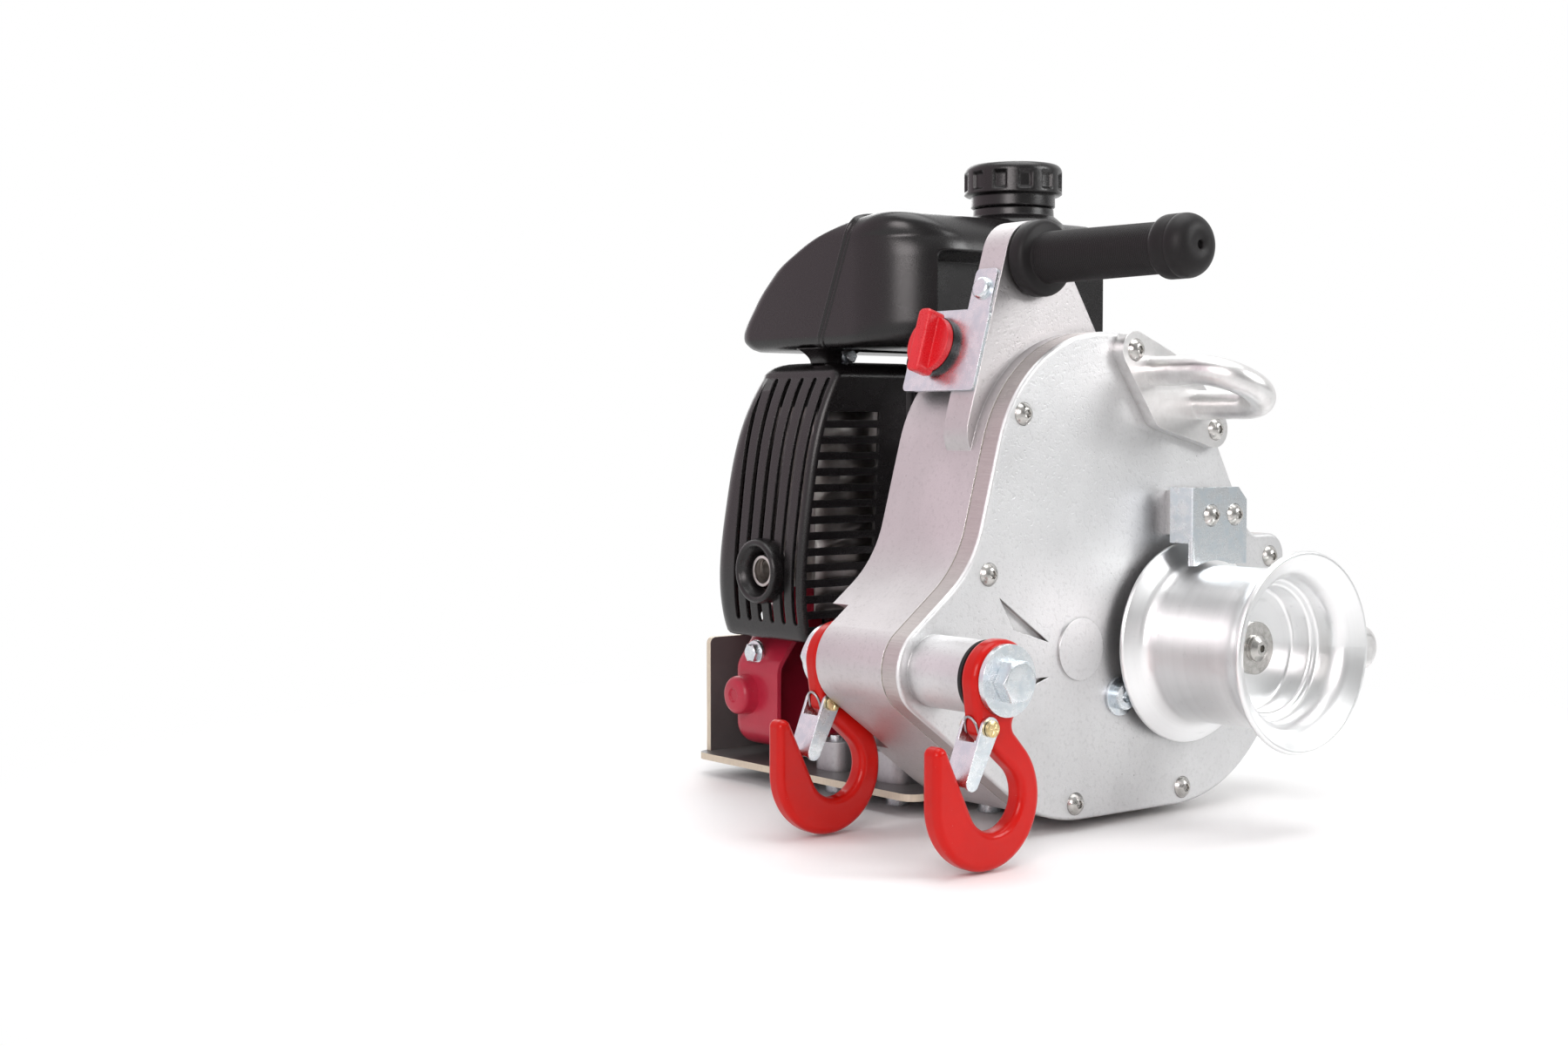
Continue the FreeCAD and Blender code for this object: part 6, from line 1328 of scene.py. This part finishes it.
    def kept_cells(self, outer: Array, slotted: Array, louvred: Array) -> Array:
        """The cells of the skin that aren't cut by a slot, a louvre or the outlet.

        Args:
            outer: the skin's outside.
            slotted: which columns of cells are slots.
            louvred: which columns are louvred.

        Returns:
            Whether each cell is kept, by rows and columns.
        """
        height = self.levels()[0]
        middle = (height[:-1] + height[1:]) / 2.0
        above = middle - self.louvre_low
        pitch, opening = self.louvre
        gap = (above % pitch < opening) & (above > 0.0) & (above < self.louvres * pitch)
        run = (middle > self.slot_run[0]) & (middle < self.slot_run[1])
        x, y, z = np.moveaxis((outer[:-1, :-1] + outer[1:, 1:]) / 2.0 * 1000.0 - ANCHOR, -1, 0)
        hole = (np.hypot(y - self.outlet[0], z - self.outlet[1]) < self.outlet_r) & (x < self.outlet_depth)
        return ~((gap[:, None] & louvred) | (run[:, None] & slotted) | hole)

    def build(self) -> None:
        """Makes the cover: both faces of the skin without the cut cells, and rims round what is cut."""
        outer, slotted, louvred = self.skin(0.0)
        inner = self.skin(self.wall)[0]
        kept = self.kept_cells(outer, slotted, louvred)
        rows, columns = outer.shape[:2]
        place = np.arange(rows * columns).reshape(rows, columns)
        under = place + rows * columns
        quads = np.stack([place[:-1, :-1], place[1:, :-1], place[1:, 1:], place[:-1, 1:]], axis=-1)[kept]
        lining = quads[:, ::-1] + rows * columns
        wide = np.pad(kept, 1)
        i, j = np.nonzero(wide[1:-1, 1:] != wide[1:-1, :-1])
        upright = np.stack([place[i, j], place[i + 1, j], under[i + 1, j], under[i, j]], axis=-1)
        i, j = np.nonzero((wide[1:, 1:-1] != wide[:-1, 1:-1])[:-1])
        level = np.stack([place[i, j], place[i, j + 1], under[i, j + 1], under[i, j]], axis=-1)
        points = np.concatenate([outer.reshape(-1, 3), inner.reshape(-1, 3)])
        form = Shell(points, np.concatenate([quads, lining, upright, level]))
        self.add(form, "louvred_shield", "black_plastic", "black_plastic", 38.0, node="muffler_shield")


@dataclass
class MufflerFace(Form):
    """The pressed steel face of the muffler that shows behind the louvres, seated on its front."""

    spread: tuple[float, float] = (63.0, 113.0)
    rise: tuple[float, float] = (12.0, 136.0)
    seat: float = 172.3
    sheet: float = 1.2
    bulge: float = 3.4
    pressed: float = 1.5
    ribs: tuple[float, float] = (0.28, -0.22)
    rib_lean: float = 0.18
    rib_width: float = 0.07
    grid: tuple[int, int] = (110, 46)

    def build(self) -> None:
        """Makes the face as a pillow that stands out by (1 - a^6)(1 - b^6), with pressed ribs and a hub."""
        rows, columns = self.grid
        a = np.linspace(-1.0, 1.0, columns)[None, :]
        b = np.linspace(-1.0, 1.0, rows)[:, None]
        rib = sum(np.exp(-((b - place - self.rib_lean * a) / self.rib_width) ** 2) for place in self.ribs)
        hub = np.exp(-(((a - 0.1) / 0.5) ** 2 + ((b - 0.7) / 0.14) ** 2) ** 3)
        out = self.bulge * (1.0 - a ** 6) * (1.0 - b ** 6)
        out = out + self.pressed * (rib + hub) * (1.0 - a ** 4) * (1.0 - b ** 8)
        x = np.mean(self.spread) + np.ptp(self.spread) / 2.0 * a
        z = np.mean(self.rise) + np.ptp(self.rise) / 2.0 * b
        front = Shell.grid(spot(x, self.seat - self.sheet - out, z))
        back = Shell.grid(spot(x, self.seat, z))
        place = np.arange(rows * columns).reshape(rows, columns)
        edge = np.concatenate([place[0], place[1:, -1], place[-1, -2::-1], place[-2:0:-1, 0]])
        rim = Shell.grid(np.stack([front.points[edge], back.points[edge]], axis=0), close_v=True)
        self.add(front + back + rim, "muffler_face", "muffler_steel", "heat_steel", 50.0)


@dataclass
class TankMount(Form):
    """The moulded arm that holds the tank's left end above the muffler cover, with its bolt."""

    foot: Point = (80.0, 178.0, 157.0)
    reach: float = 8.6
    wide: tuple[float, float] = (11.0, 9.0)
    deep: tuple[float, float] = (8.0, 4.0)
    bolt: Point = (86.0, 169.4, 161.2)

    def build(self) -> None:
        """Makes the arm, a rounded post that widens upwards with the square of its height, and the bolt."""
        share = np.linspace(0.0, 1.0, 14)[:, None]
        angle = full_turn(56)
        bulge = (np.abs(np.cos(angle)) ** 4 + np.abs(np.sin(angle)) ** 4) ** -0.25
        x = bulge * np.cos(angle) * (self.wide[0] + self.wide[1] * share ** 2)
        y = bulge * np.sin(angle) * (self.deep[0] + self.deep[1] * share ** 2)
        wall = np.stack([x, y, share * self.reach + 0.0 * x], axis=-1)
        inwards = np.array([0.0, 0.0, 1.0])
        ends = [wall[:1] * inwards, wall, wall[-1:] * inwards]
        arm = Shell.grid(np.concatenate(ends) / 1000.0, close_v=True).moved(spot(*self.foot))
        self.add(arm, "tank_arm", "black_plastic", "black_plastic", 40.0)
        head = flanged_bolt(7.0, 3.0, 4.0, 0.4, (4.8, 0.9), 0.8).turned(TO_FRONT).moved(spot(*self.bolt))
        self.add(head, "tank_arm_bolt", "zinc_steel", "zinc_plate", 25.0)


@dataclass
class OutletFunnel(Form):
    """The moulded ring round the exhaust outlet, with the end of the steel pipe inside it."""

    place: Point = (43.8, 195.0, 37.0)
    stub: Point = (56.8, 206.0, 37.0)
    rim_r: float = 19.0
    throat_r: float = 11.2
    pipe_r: float = 9.0
    pipe_bore_r: float = 7.3
    steps: int = 18

    def build(self) -> None:
        """Makes the ring, and the pipe that bends from the muffler's stub into it.

        The pipe's path is a smooth step in y from the stub to the ring, out along one wall and back along the
        other.
        """
        rim = [(self.throat_r, -3.0), (self.throat_r, 0.4), (self.throat_r + 1.6, 4.4)]
        rim += arc((self.rim_r - 2.6, 5.0), 2.2, 170.0, 10.0, 9)
        rim += [(self.rim_r, 3.0), (self.rim_r, -2.5), (self.throat_r, -3.0)]
        ring = lathe(rim, 96).turned(TO_LEFT).moved(spot(*self.place))
        self.add(ring, "outlet_ring", "black_plastic", "black_plastic", 40.0)
        out = np.linspace(0.0, 1.0, self.steps)
        step = np.concatenate([out, out[::-1]])[:, None]
        radius = np.repeat([self.pipe_r, self.pipe_bore_r], self.steps)[:, None]
        angle = full_turn(48)
        x = self.stub[0] + (self.place[0] - 1.0 - self.stub[0]) * step
        y = self.stub[1] + (self.place[1] - self.stub[1]) * ease(step)
        points = spot(x, y + radius * np.cos(angle), self.place[2] + radius * np.sin(angle))
        tube = Shell.grid(points, close_u=True, close_v=True)
        self.add(tube, "exhaust_pipe_end", "muffler_steel", "heat_steel", 40.0)


@dataclass
class LatchFittings(Form):
    """Where the hook latches turn: the pin's place beside the bolt, and each hook's body and depth."""

    pin_x: float = -11.0
    pin_z: float = -22.0
    stations: tuple = (("front_hook", -43.8), ("rear_hook", 73.8))


@dataclass
class RivetHeads(LatchFittings):
    """Domed heads with crossed slots on the rivets that the hook latches turn on."""

    reach: float = 9.2
    radius: float = 4.0
    slot: float = 0.75
    slot_reach: float = 2.9

    def build(self) -> None:
        """Makes a head for each hook: a shallow dome, sunk where either crossed slot runs."""
        out = np.array([0.0, 0.18, 0.34, 0.5, 0.62, 0.74, 0.86, 0.95, 1.0, 1.0, 0.0])[:, None]
        angle = full_turn(96) + 0.5
        radius = out * self.radius + 0.0 * angle
        near = np.minimum(np.abs(radius * np.cos(angle)), np.abs(radius * np.sin(angle)))
        slot = np.clip((self.slot - near) / 0.35, 0.0, 1.0)
        slot = slot * np.clip((self.slot_reach - radius) / 0.5, 0.0, 1.0)
        height = 1.0 - 0.75 * out ** 2 - 0.8 * slot
        height[-2:] = -0.6
        head = lathe(zip(radius, height), 96).turned(TO_FRONT)
        for body, y in self.stations:
            form = head.moved(spot(self.pin_x, y - self.reach, self.pin_z))
            self.add(form, body + "_rivet_head", "rivet_metal", "yellow_rivet", 40.0, body)


@dataclass
class LatchSprings(LatchFittings):
    """The wire springs that close the hook latches."""

    wire_r: float = 0.65
    half_width: float = 4.2
    rise: float = 8.5

    def build(self) -> None:
        """Bends a wire for each hook: it rises beside the neck, crosses over it and comes down again."""
        turn = full_turn(10)
        section = self.wire_r / 1000.0 * np.stack([np.cos(turn), np.sin(turn)], axis=1)
        step = np.linspace(0.0, 1.0, 60)
        bow = np.sin(np.pi * step)
        size = np.where((step == 0.0) | (step == 1.0), 0.0, 1.0)
        for body, y in self.stations:
            path = spot(self.pin_x - 4.8 - 2.6 * bow, y + self.half_width * np.cos(np.pi * step),
                        self.pin_z - 3.0 + self.rise * bow ** 0.7)
            form = sweep(path, section, (0.31, 0.17, 0.93), False, size)
            self.add(form, body + "_latch_spring", "zinc_steel", "oiled_steel", 60.0, body)


@dataclass
class StarterCord(Form):
    """The starter's laid cord, which runs out between the case and its grip."""

    strands: int = 3
    lay: float = 7.0
    relief_share: float = 0.09
    rows: int = 160
    sides: int = 18

    def build(self) -> None:
        """Makes the cord: its radius dips with the cosine of the strands' angle, turned once in a lay."""
        low, high = (np.asarray(corner, float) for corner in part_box("starter_rope"))
        x, y = ((low + high) / 2.0)[:2]
        wide, _, long = (high - low) * 1000.0
        rise = np.linspace(0.0, long, self.rows)
        strand = self.strands * (full_turn(self.sides) + 2.0 * np.pi * rise[:, None] / self.lay)
        radius = wide / 2.0 * (1.0 - self.relief_share * (1.0 - np.cos(strand)))
        radius[[0, -1]] = 0.0
        form = lathe(zip(radius, rise), self.sides).moved((x, y, low[2]))
        made = form.piece("laid_starter_cord", "rope_fibre", self.finishes["starter_cord"], 60.0)
        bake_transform(made)
        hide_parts("starter_rope")


@dataclass
class CoolingCover(Form):
    """Small forms on the red fan cover: a round boss, its screw, and the bolts round the starter."""

    boss: Point = (70.0, 234.0, -40.0)
    boss_r: float = 11.5
    screw: Point = (63.5, 228.0, -14.5)
    bolt_circle_r: float = 70.5
    bolt_turns: Point = (35.0, 155.0, 275.0)
    bolt_y: float = 247.8
    drum: tuple[float, float] = (180.5, 3.8)

    def build(self) -> None:
        """Makes the boss, the screw and three bolts."""
        profile = [(0.0, -6.0), (self.boss_r + 2.0, -6.0), (self.boss_r + 0.6, 9.5), (self.boss_r, 11.0)]
        profile += [(self.boss_r, 15.0), *arc((self.boss_r - 4.0, 15.0), 4.0, 0.0, 80.0)]
        profile += [(4.2, 19.2), (3.6, 18.2), (0.0, 18.2)]
        boss = lathe(profile).turned(TO_LEFT).moved(spot(*self.boss))
        self.add(boss, "fan_cover_boss", "red_paint", "crimson_cover", 40.0)
        bolt = flanged_bolt(10.0, 4.4, 5.0, 0.6, (7.4, 1.0), 1.0)
        screw = bolt.turned(TO_LEFT).moved(spot(*self.screw))
        self.add(screw, "fan_cover_screw", "zinc_steel", "zinc_plate", 25.0)
        turn = np.radians(self.bolt_turns)
        places = zip(self.drum[0] + self.bolt_circle_r * np.cos(turn),
                     self.drum[1] + self.bolt_circle_r * np.sin(turn))
        bolts = joined(bolt.turned(TO_REAR).moved(spot(x, self.bolt_y, z)) for x, z in places)
        self.add(bolts, "fan_cover_bolts", "zinc_steel", "zinc_plate", 25.0)


@dataclass(frozen=True)
class SoftBox:
    """A square lamp that looks at the middle of the winch."""

    name: str
    place: Point
    size: float
    power: float
    colour: Colour = (1.0, 1.0, 1.0)

    def hang(self, middle: Point) -> None:
        """Hangs the lamp.

        Args:
            middle: the point that it looks at.
        """
        data = bpy.data.lights.new(self.name, "AREA")
        data.size = self.size
        data.energy = self.power
        data.color = self.colour
        made = bpy.data.objects.new(self.name, data)
        made.location = self.place
        made.rotation_euler = Matrix(frame_of(np.subtract(self.place, middle)).tolist()).to_euler()
        bpy.context.scene.collection.objects.link(made)


@dataclass
class Studio:
    """Floor, lights, white surroundings and the camera."""

    camera_place: Point = (-0.82882, -0.85312, 0.21250)
    camera_pitch: float = 87.36
    camera_yaw: float = -38.26
    lens: float = 48.0
    sensor: float = 36.0
    middle: Point = (0.0, 0.0, 0.16)
    lamps: tuple = (
        SoftBox("left_box", (-1.3, -0.9, 0.7), 0.75, 13.0, (1.0, 0.93, 0.935)),
        SoftBox("top_box", (0.1, -0.1, 1.7), 1.3, 17.0),
        SoftBox("front_box", (0.95, -1.5, 1.0), 0.8, 17.0),
        SoftBox("rear_box", (0.7, 1.5, 1.0), 1.2, 10.0),
    )
    away: Point = (0.62, 0.785, 0.0)
    leftwards: Point = (-0.8, 0.6, 0.0)
    near_room: float = 0.36
    sky_gain: float = 0.3
    fill: float = 0.42
    blush: Colour = (1.0, 0.83, 0.90)

    def build(self) -> None:
        """Sets up the whole studio."""
        bpy.context.scene.view_settings.view_transform = "Standard"
        self.camera()
        for lamp in self.lamps:
            lamp.hang(self.middle)
        self.surroundings()
        self.floor()

    def camera(self) -> None:
        """Places the camera at the photograph's view."""
        data = bpy.data.cameras.new("camera")
        data.lens = self.lens
        data.sensor_width = self.sensor
        data.clip_start = 0.01
        made = bpy.data.objects.new("camera", data)
        made.location = self.camera_place
        made.rotation_euler = (math.radians(self.camera_pitch), 0.0, math.radians(self.camera_yaw))
        bpy.context.scene.collection.objects.link(made)
        bpy.context.scene.camera = made

    def surroundings(self) -> None:
        """White surroundings for what the camera and shiny surfaces see, and a dimmer fill elsewhere.

        The room on the camera's own side is dimmer for shiny surfaces, as in a studio.
        """
        world = bpy.data.worlds.new("surroundings")
        bpy.context.scene.world = world
        world.use_nodes = True
        mix = Tree(world.node_tree)
        way = mix.wire("ShaderNodeTexCoord", {}, {}, "Generated")
        left = mix.dot(way, self.leftwards)
        bright = mix.dot(way, self.away).step(0.1, 0.6).most(left.step(0.2, 0.85))
        sky = way.part(Axis.Z).step(0.2, 0.9)
        room = (self.near_room + bright * (1.0 - self.near_room) + sky * self.sky_gain).least(1.0)
        seen = mix.rays("Is Camera Ray")
        shiny = mix.rays("Is Glossy Ray", "Is Transmission Ray")
        strength = seen + (1.0 - seen) * (shiny * room + (1.0 - shiny) * self.fill)
        tint = mix.blend(left.step(0.3, 0.95) * (1.0 - seen), (1.0, 1.0, 1.0), self.blush)
        light = mix.node("ShaderNodeBackground", {}, {"Color": tint, "Strength": strength})
        mix.link(light, mix.node("ShaderNodeOutputWorld", {}, {}).inputs[0])

    def floor(self) -> None:
        """Lays a pale floor that fades to white away from the winch.

        The floor is a disc: the point at angle t and radius r is (r cos t, r sin t, 0).
        """
        disc = lathe([(0.0, -0.2), (500.0, -0.2), (3000.0, -0.2)], 48)
        mesh = bpy.data.meshes.new("floor")
        mesh.from_pydata(disc.points.tolist(), [], disc.quads.tolist())
        mix = Recipe("floor_white")
        far = mix.radius((0.0, 0.0, 0.0), Axis.Z).step(0.3, 0.62)
        bloom = mix.noise(0.2, 2.0)
        mix.feed(Base_Color=mix.blend(bloom, (0.90, 0.895, 0.895), (0.93, 0.93, 0.93)), Roughness=0.55)
        white = mix.node("ShaderNodeEmission", {}, {"Color": (1.0, 1.0, 1.0), "Strength": 1.0})
        seen = mix.rays("Is Camera Ray", "Is Glossy Ray", "Is Transmission Ray")
        both = mix.node("ShaderNodeMixShader", {}, {0: far * seen})
        mix.link(mix.shader, both.inputs[1])
        mix.link(white, both.inputs[2])
        mix.link(both, mix.output.inputs[0])
        mesh.materials.append(mix.material)
        made = bpy.data.objects.new("floor", mesh)
        bpy.context.scene.collection.objects.link(made)


@dataclass
class Finishes:
    """Every finish of the winch, and the nodes that wear it."""

    drum_centre: Point
    made: dict[str, bpy.types.Material] = field(default_factory=dict)

    def __getitem__(self, name: str) -> bpy.types.Material:
        """The finish of that name."""
        return self.made[name]

    def wear(self, name: str, finish: Finish, *nodes: str) -> None:
        """Makes a finish and dresses nodes in it.

        Args:
            name: the finish's name.
            finish: how it is made.
            nodes: the CAD nodes that wear it.
        """
        self.made[name] = finish.material(name)
        dress(self.made[name], *nodes)

    def build(self) -> None:
        """Makes the finishes and dresses the CAD nodes."""
        self.wear("blasted_casting", CastMetal((0.69, 0.665, 0.67), 0.46), "gear_case")
        self.wear("cover_casting", CastMetal((0.76, 0.762, 0.768), 0.44, rim=(-0.0912, -0.0800)),
                  "gear_cover")
        self.wear("raw_casting", CastMetal((0.55, 0.55, 0.56), 0.5), "clutch_housing", "crankcase",
                  "cylinder", "carburettor")
        self.wear("turned_drum", TurnedMetal((0.86, 0.868, 0.87), 0.33, self.drum_centre), "capstan_drum")
        self.wear("satin_steel", PlatedSteel((0.78, 0.775, 0.77), (0.70, 0.69, 0.685), 0.34), "rope_guide",
                  "guide_pin")
        self.wear("zinc_plate", PlatedSteel((0.72, 0.75, 0.77), (0.60, 0.66, 0.70), 0.28), "rope_stop_plate",
                  "drain_plug", "anchor_bolt", "anchor_nut", "anchor_washers", "front_latch", "rear_latch",
                  "switch_bracket", "foot_bolts", "handle_bar")
        self.wear("stainless", PlatedSteel((0.54, 0.53, 0.51), (0.42, 0.41, 0.39), 0.24, 0.003),
                  "cover_screws", "rope_stop_screws", "drum_screw")
        self.wear("yellow_rivet", PlatedSteel((0.74, 0.60, 0.33), (0.60, 0.46, 0.22), 0.3, 0.002),
                  "front_latch_rivet", "rear_latch_rivet")
        self.wear("oiled_steel", PlatedSteel((0.42, 0.42, 0.43), (0.32, 0.32, 0.33), 0.34), "final_gear",
                  "lay_gear_a", "lay_gear_b", "lay_shaft_a", "lay_shaft_b", "input_shaft", "drum_shaft",
                  "shaft_bearings", "crankshaft", "clutch_drum", "clutch_shoes", "flywheel")
        self.wear("heat_steel", PlatedSteel((0.60, 0.58, 0.56), (0.46, 0.43, 0.40), 0.34, 0.012), "muffler")
        self.wear("red_enamel", GlossPaint((0.50, 0.006, 0.003), 0.3, (0.35, 0.33, 0.32), 0.12, 0.22, 0.12),
                  "front_hook", "rear_hook")
        self.wear("crimson_cover", GlossPaint((0.45, 0.018, 0.045), 0.36, (0.30, 0.05, 0.06), 0.1, 0.15),
                  "fan_cover")
        self.wear("black_plastic", MouldedPlastic((0.0060, 0.0052, 0.0055), 0.27, gloss=0.46),
                  "muffler_shield", "fuel_tank", "fuel_cap", "air_cleaner", "choke_lever", "oil_cap",
                  "switch_body", "starter_pulley", "starter_grip")
        self.wear("red_plastic", MouldedPlastic((0.58, 0.010, 0.016), 0.28, 0.0008, 0.00003, 0.1, 0.5),
                  "switch_knob")
        self.wear("grip_rubber", MouldedPlastic((0.010, 0.009, 0.0095), 0.46, 0.0006, 0.00005, 0.1, 0.2),
                  "handle_grip")
        self.wear("rubber", MouldedPlastic((0.012, 0.0115, 0.012), 0.55, 0.0006, 0.00006, 0.1, 0.25),
                  "anchor_rubber_washers", "shaft_seals", "spark_plug", "engine_leads")
        self.wear("black_enamel", GlossPaint((0.02, 0.02, 0.021), 0.4, (0.2, 0.2, 0.2), 0.3, 0.1),
                  "tank_bracket", "starter_case")
        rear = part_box("base_plate")[1][1]
        self.wear("black_plate", CutPlate((0.085, 0.08, 0.08), (0.74, 0.66, 0.52), rear), "base_plate")
        self.wear("gasket_paper", Fibre((0.45, 0.42, 0.36), (0.3, 0.28, 0.25), 0.004), "cover_gasket")
        self.wear("starter_cord", Fibre((0.62, 0.60, 0.56), (0.12, 0.12, 0.13), 0.003), "starter_rope")


def screw_groups(finishes: Finishes) -> list[ButtonScrews]:
    """The winch's screws: their places on the cover, the rope guide's foot and the rope stop.

    Args:
        finishes: the winch's finishes.

    Returns:
        The groups.
    """
    cover = ((60.5, 0.0, 127.0), (36.6, 0.0, 46.0), (100.0, 0.0, -77.5), (184.0, 0.0, -77.5),
             (257.0, 0.0, 47.0), (136.5, -7.0, 161.0), (201.0, -7.0, 119.0))
    stop = ((177.0, -25.0, 73.0), (196.0, -25.0, 73.0))
    return [ButtonScrews(finishes, "socket_screws", "cover_screws", cover, 26.0),
            ButtonScrews(finishes, "stop_socket_screws", "rope_stop_screws", stop, -8.0)]


def main() -> None:
    """Builds the studio, the finishes and the fine forms, in that order."""
    logging.basicConfig(level=logging.INFO)
    Studio().build()
    low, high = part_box("capstan_drum")
    middle = tuple((a + b) / 2.0 for a, b in zip(low, high))
    finishes = Finishes(middle)
    finishes.build()
    kinds = (RibbedGrip, FlutedCap, MouldedTank, TankSeam, AnchorBolt, LouvredShield, MufflerFace, TankMount,
             OutletFunnel, RivetHeads, LatchSprings, StarterCord, CoolingCover)
    for form in [*(kind(finishes) for kind in kinds), *screw_groups(finishes)]:
        form.build()


if __name__ == "__main__":
    main()
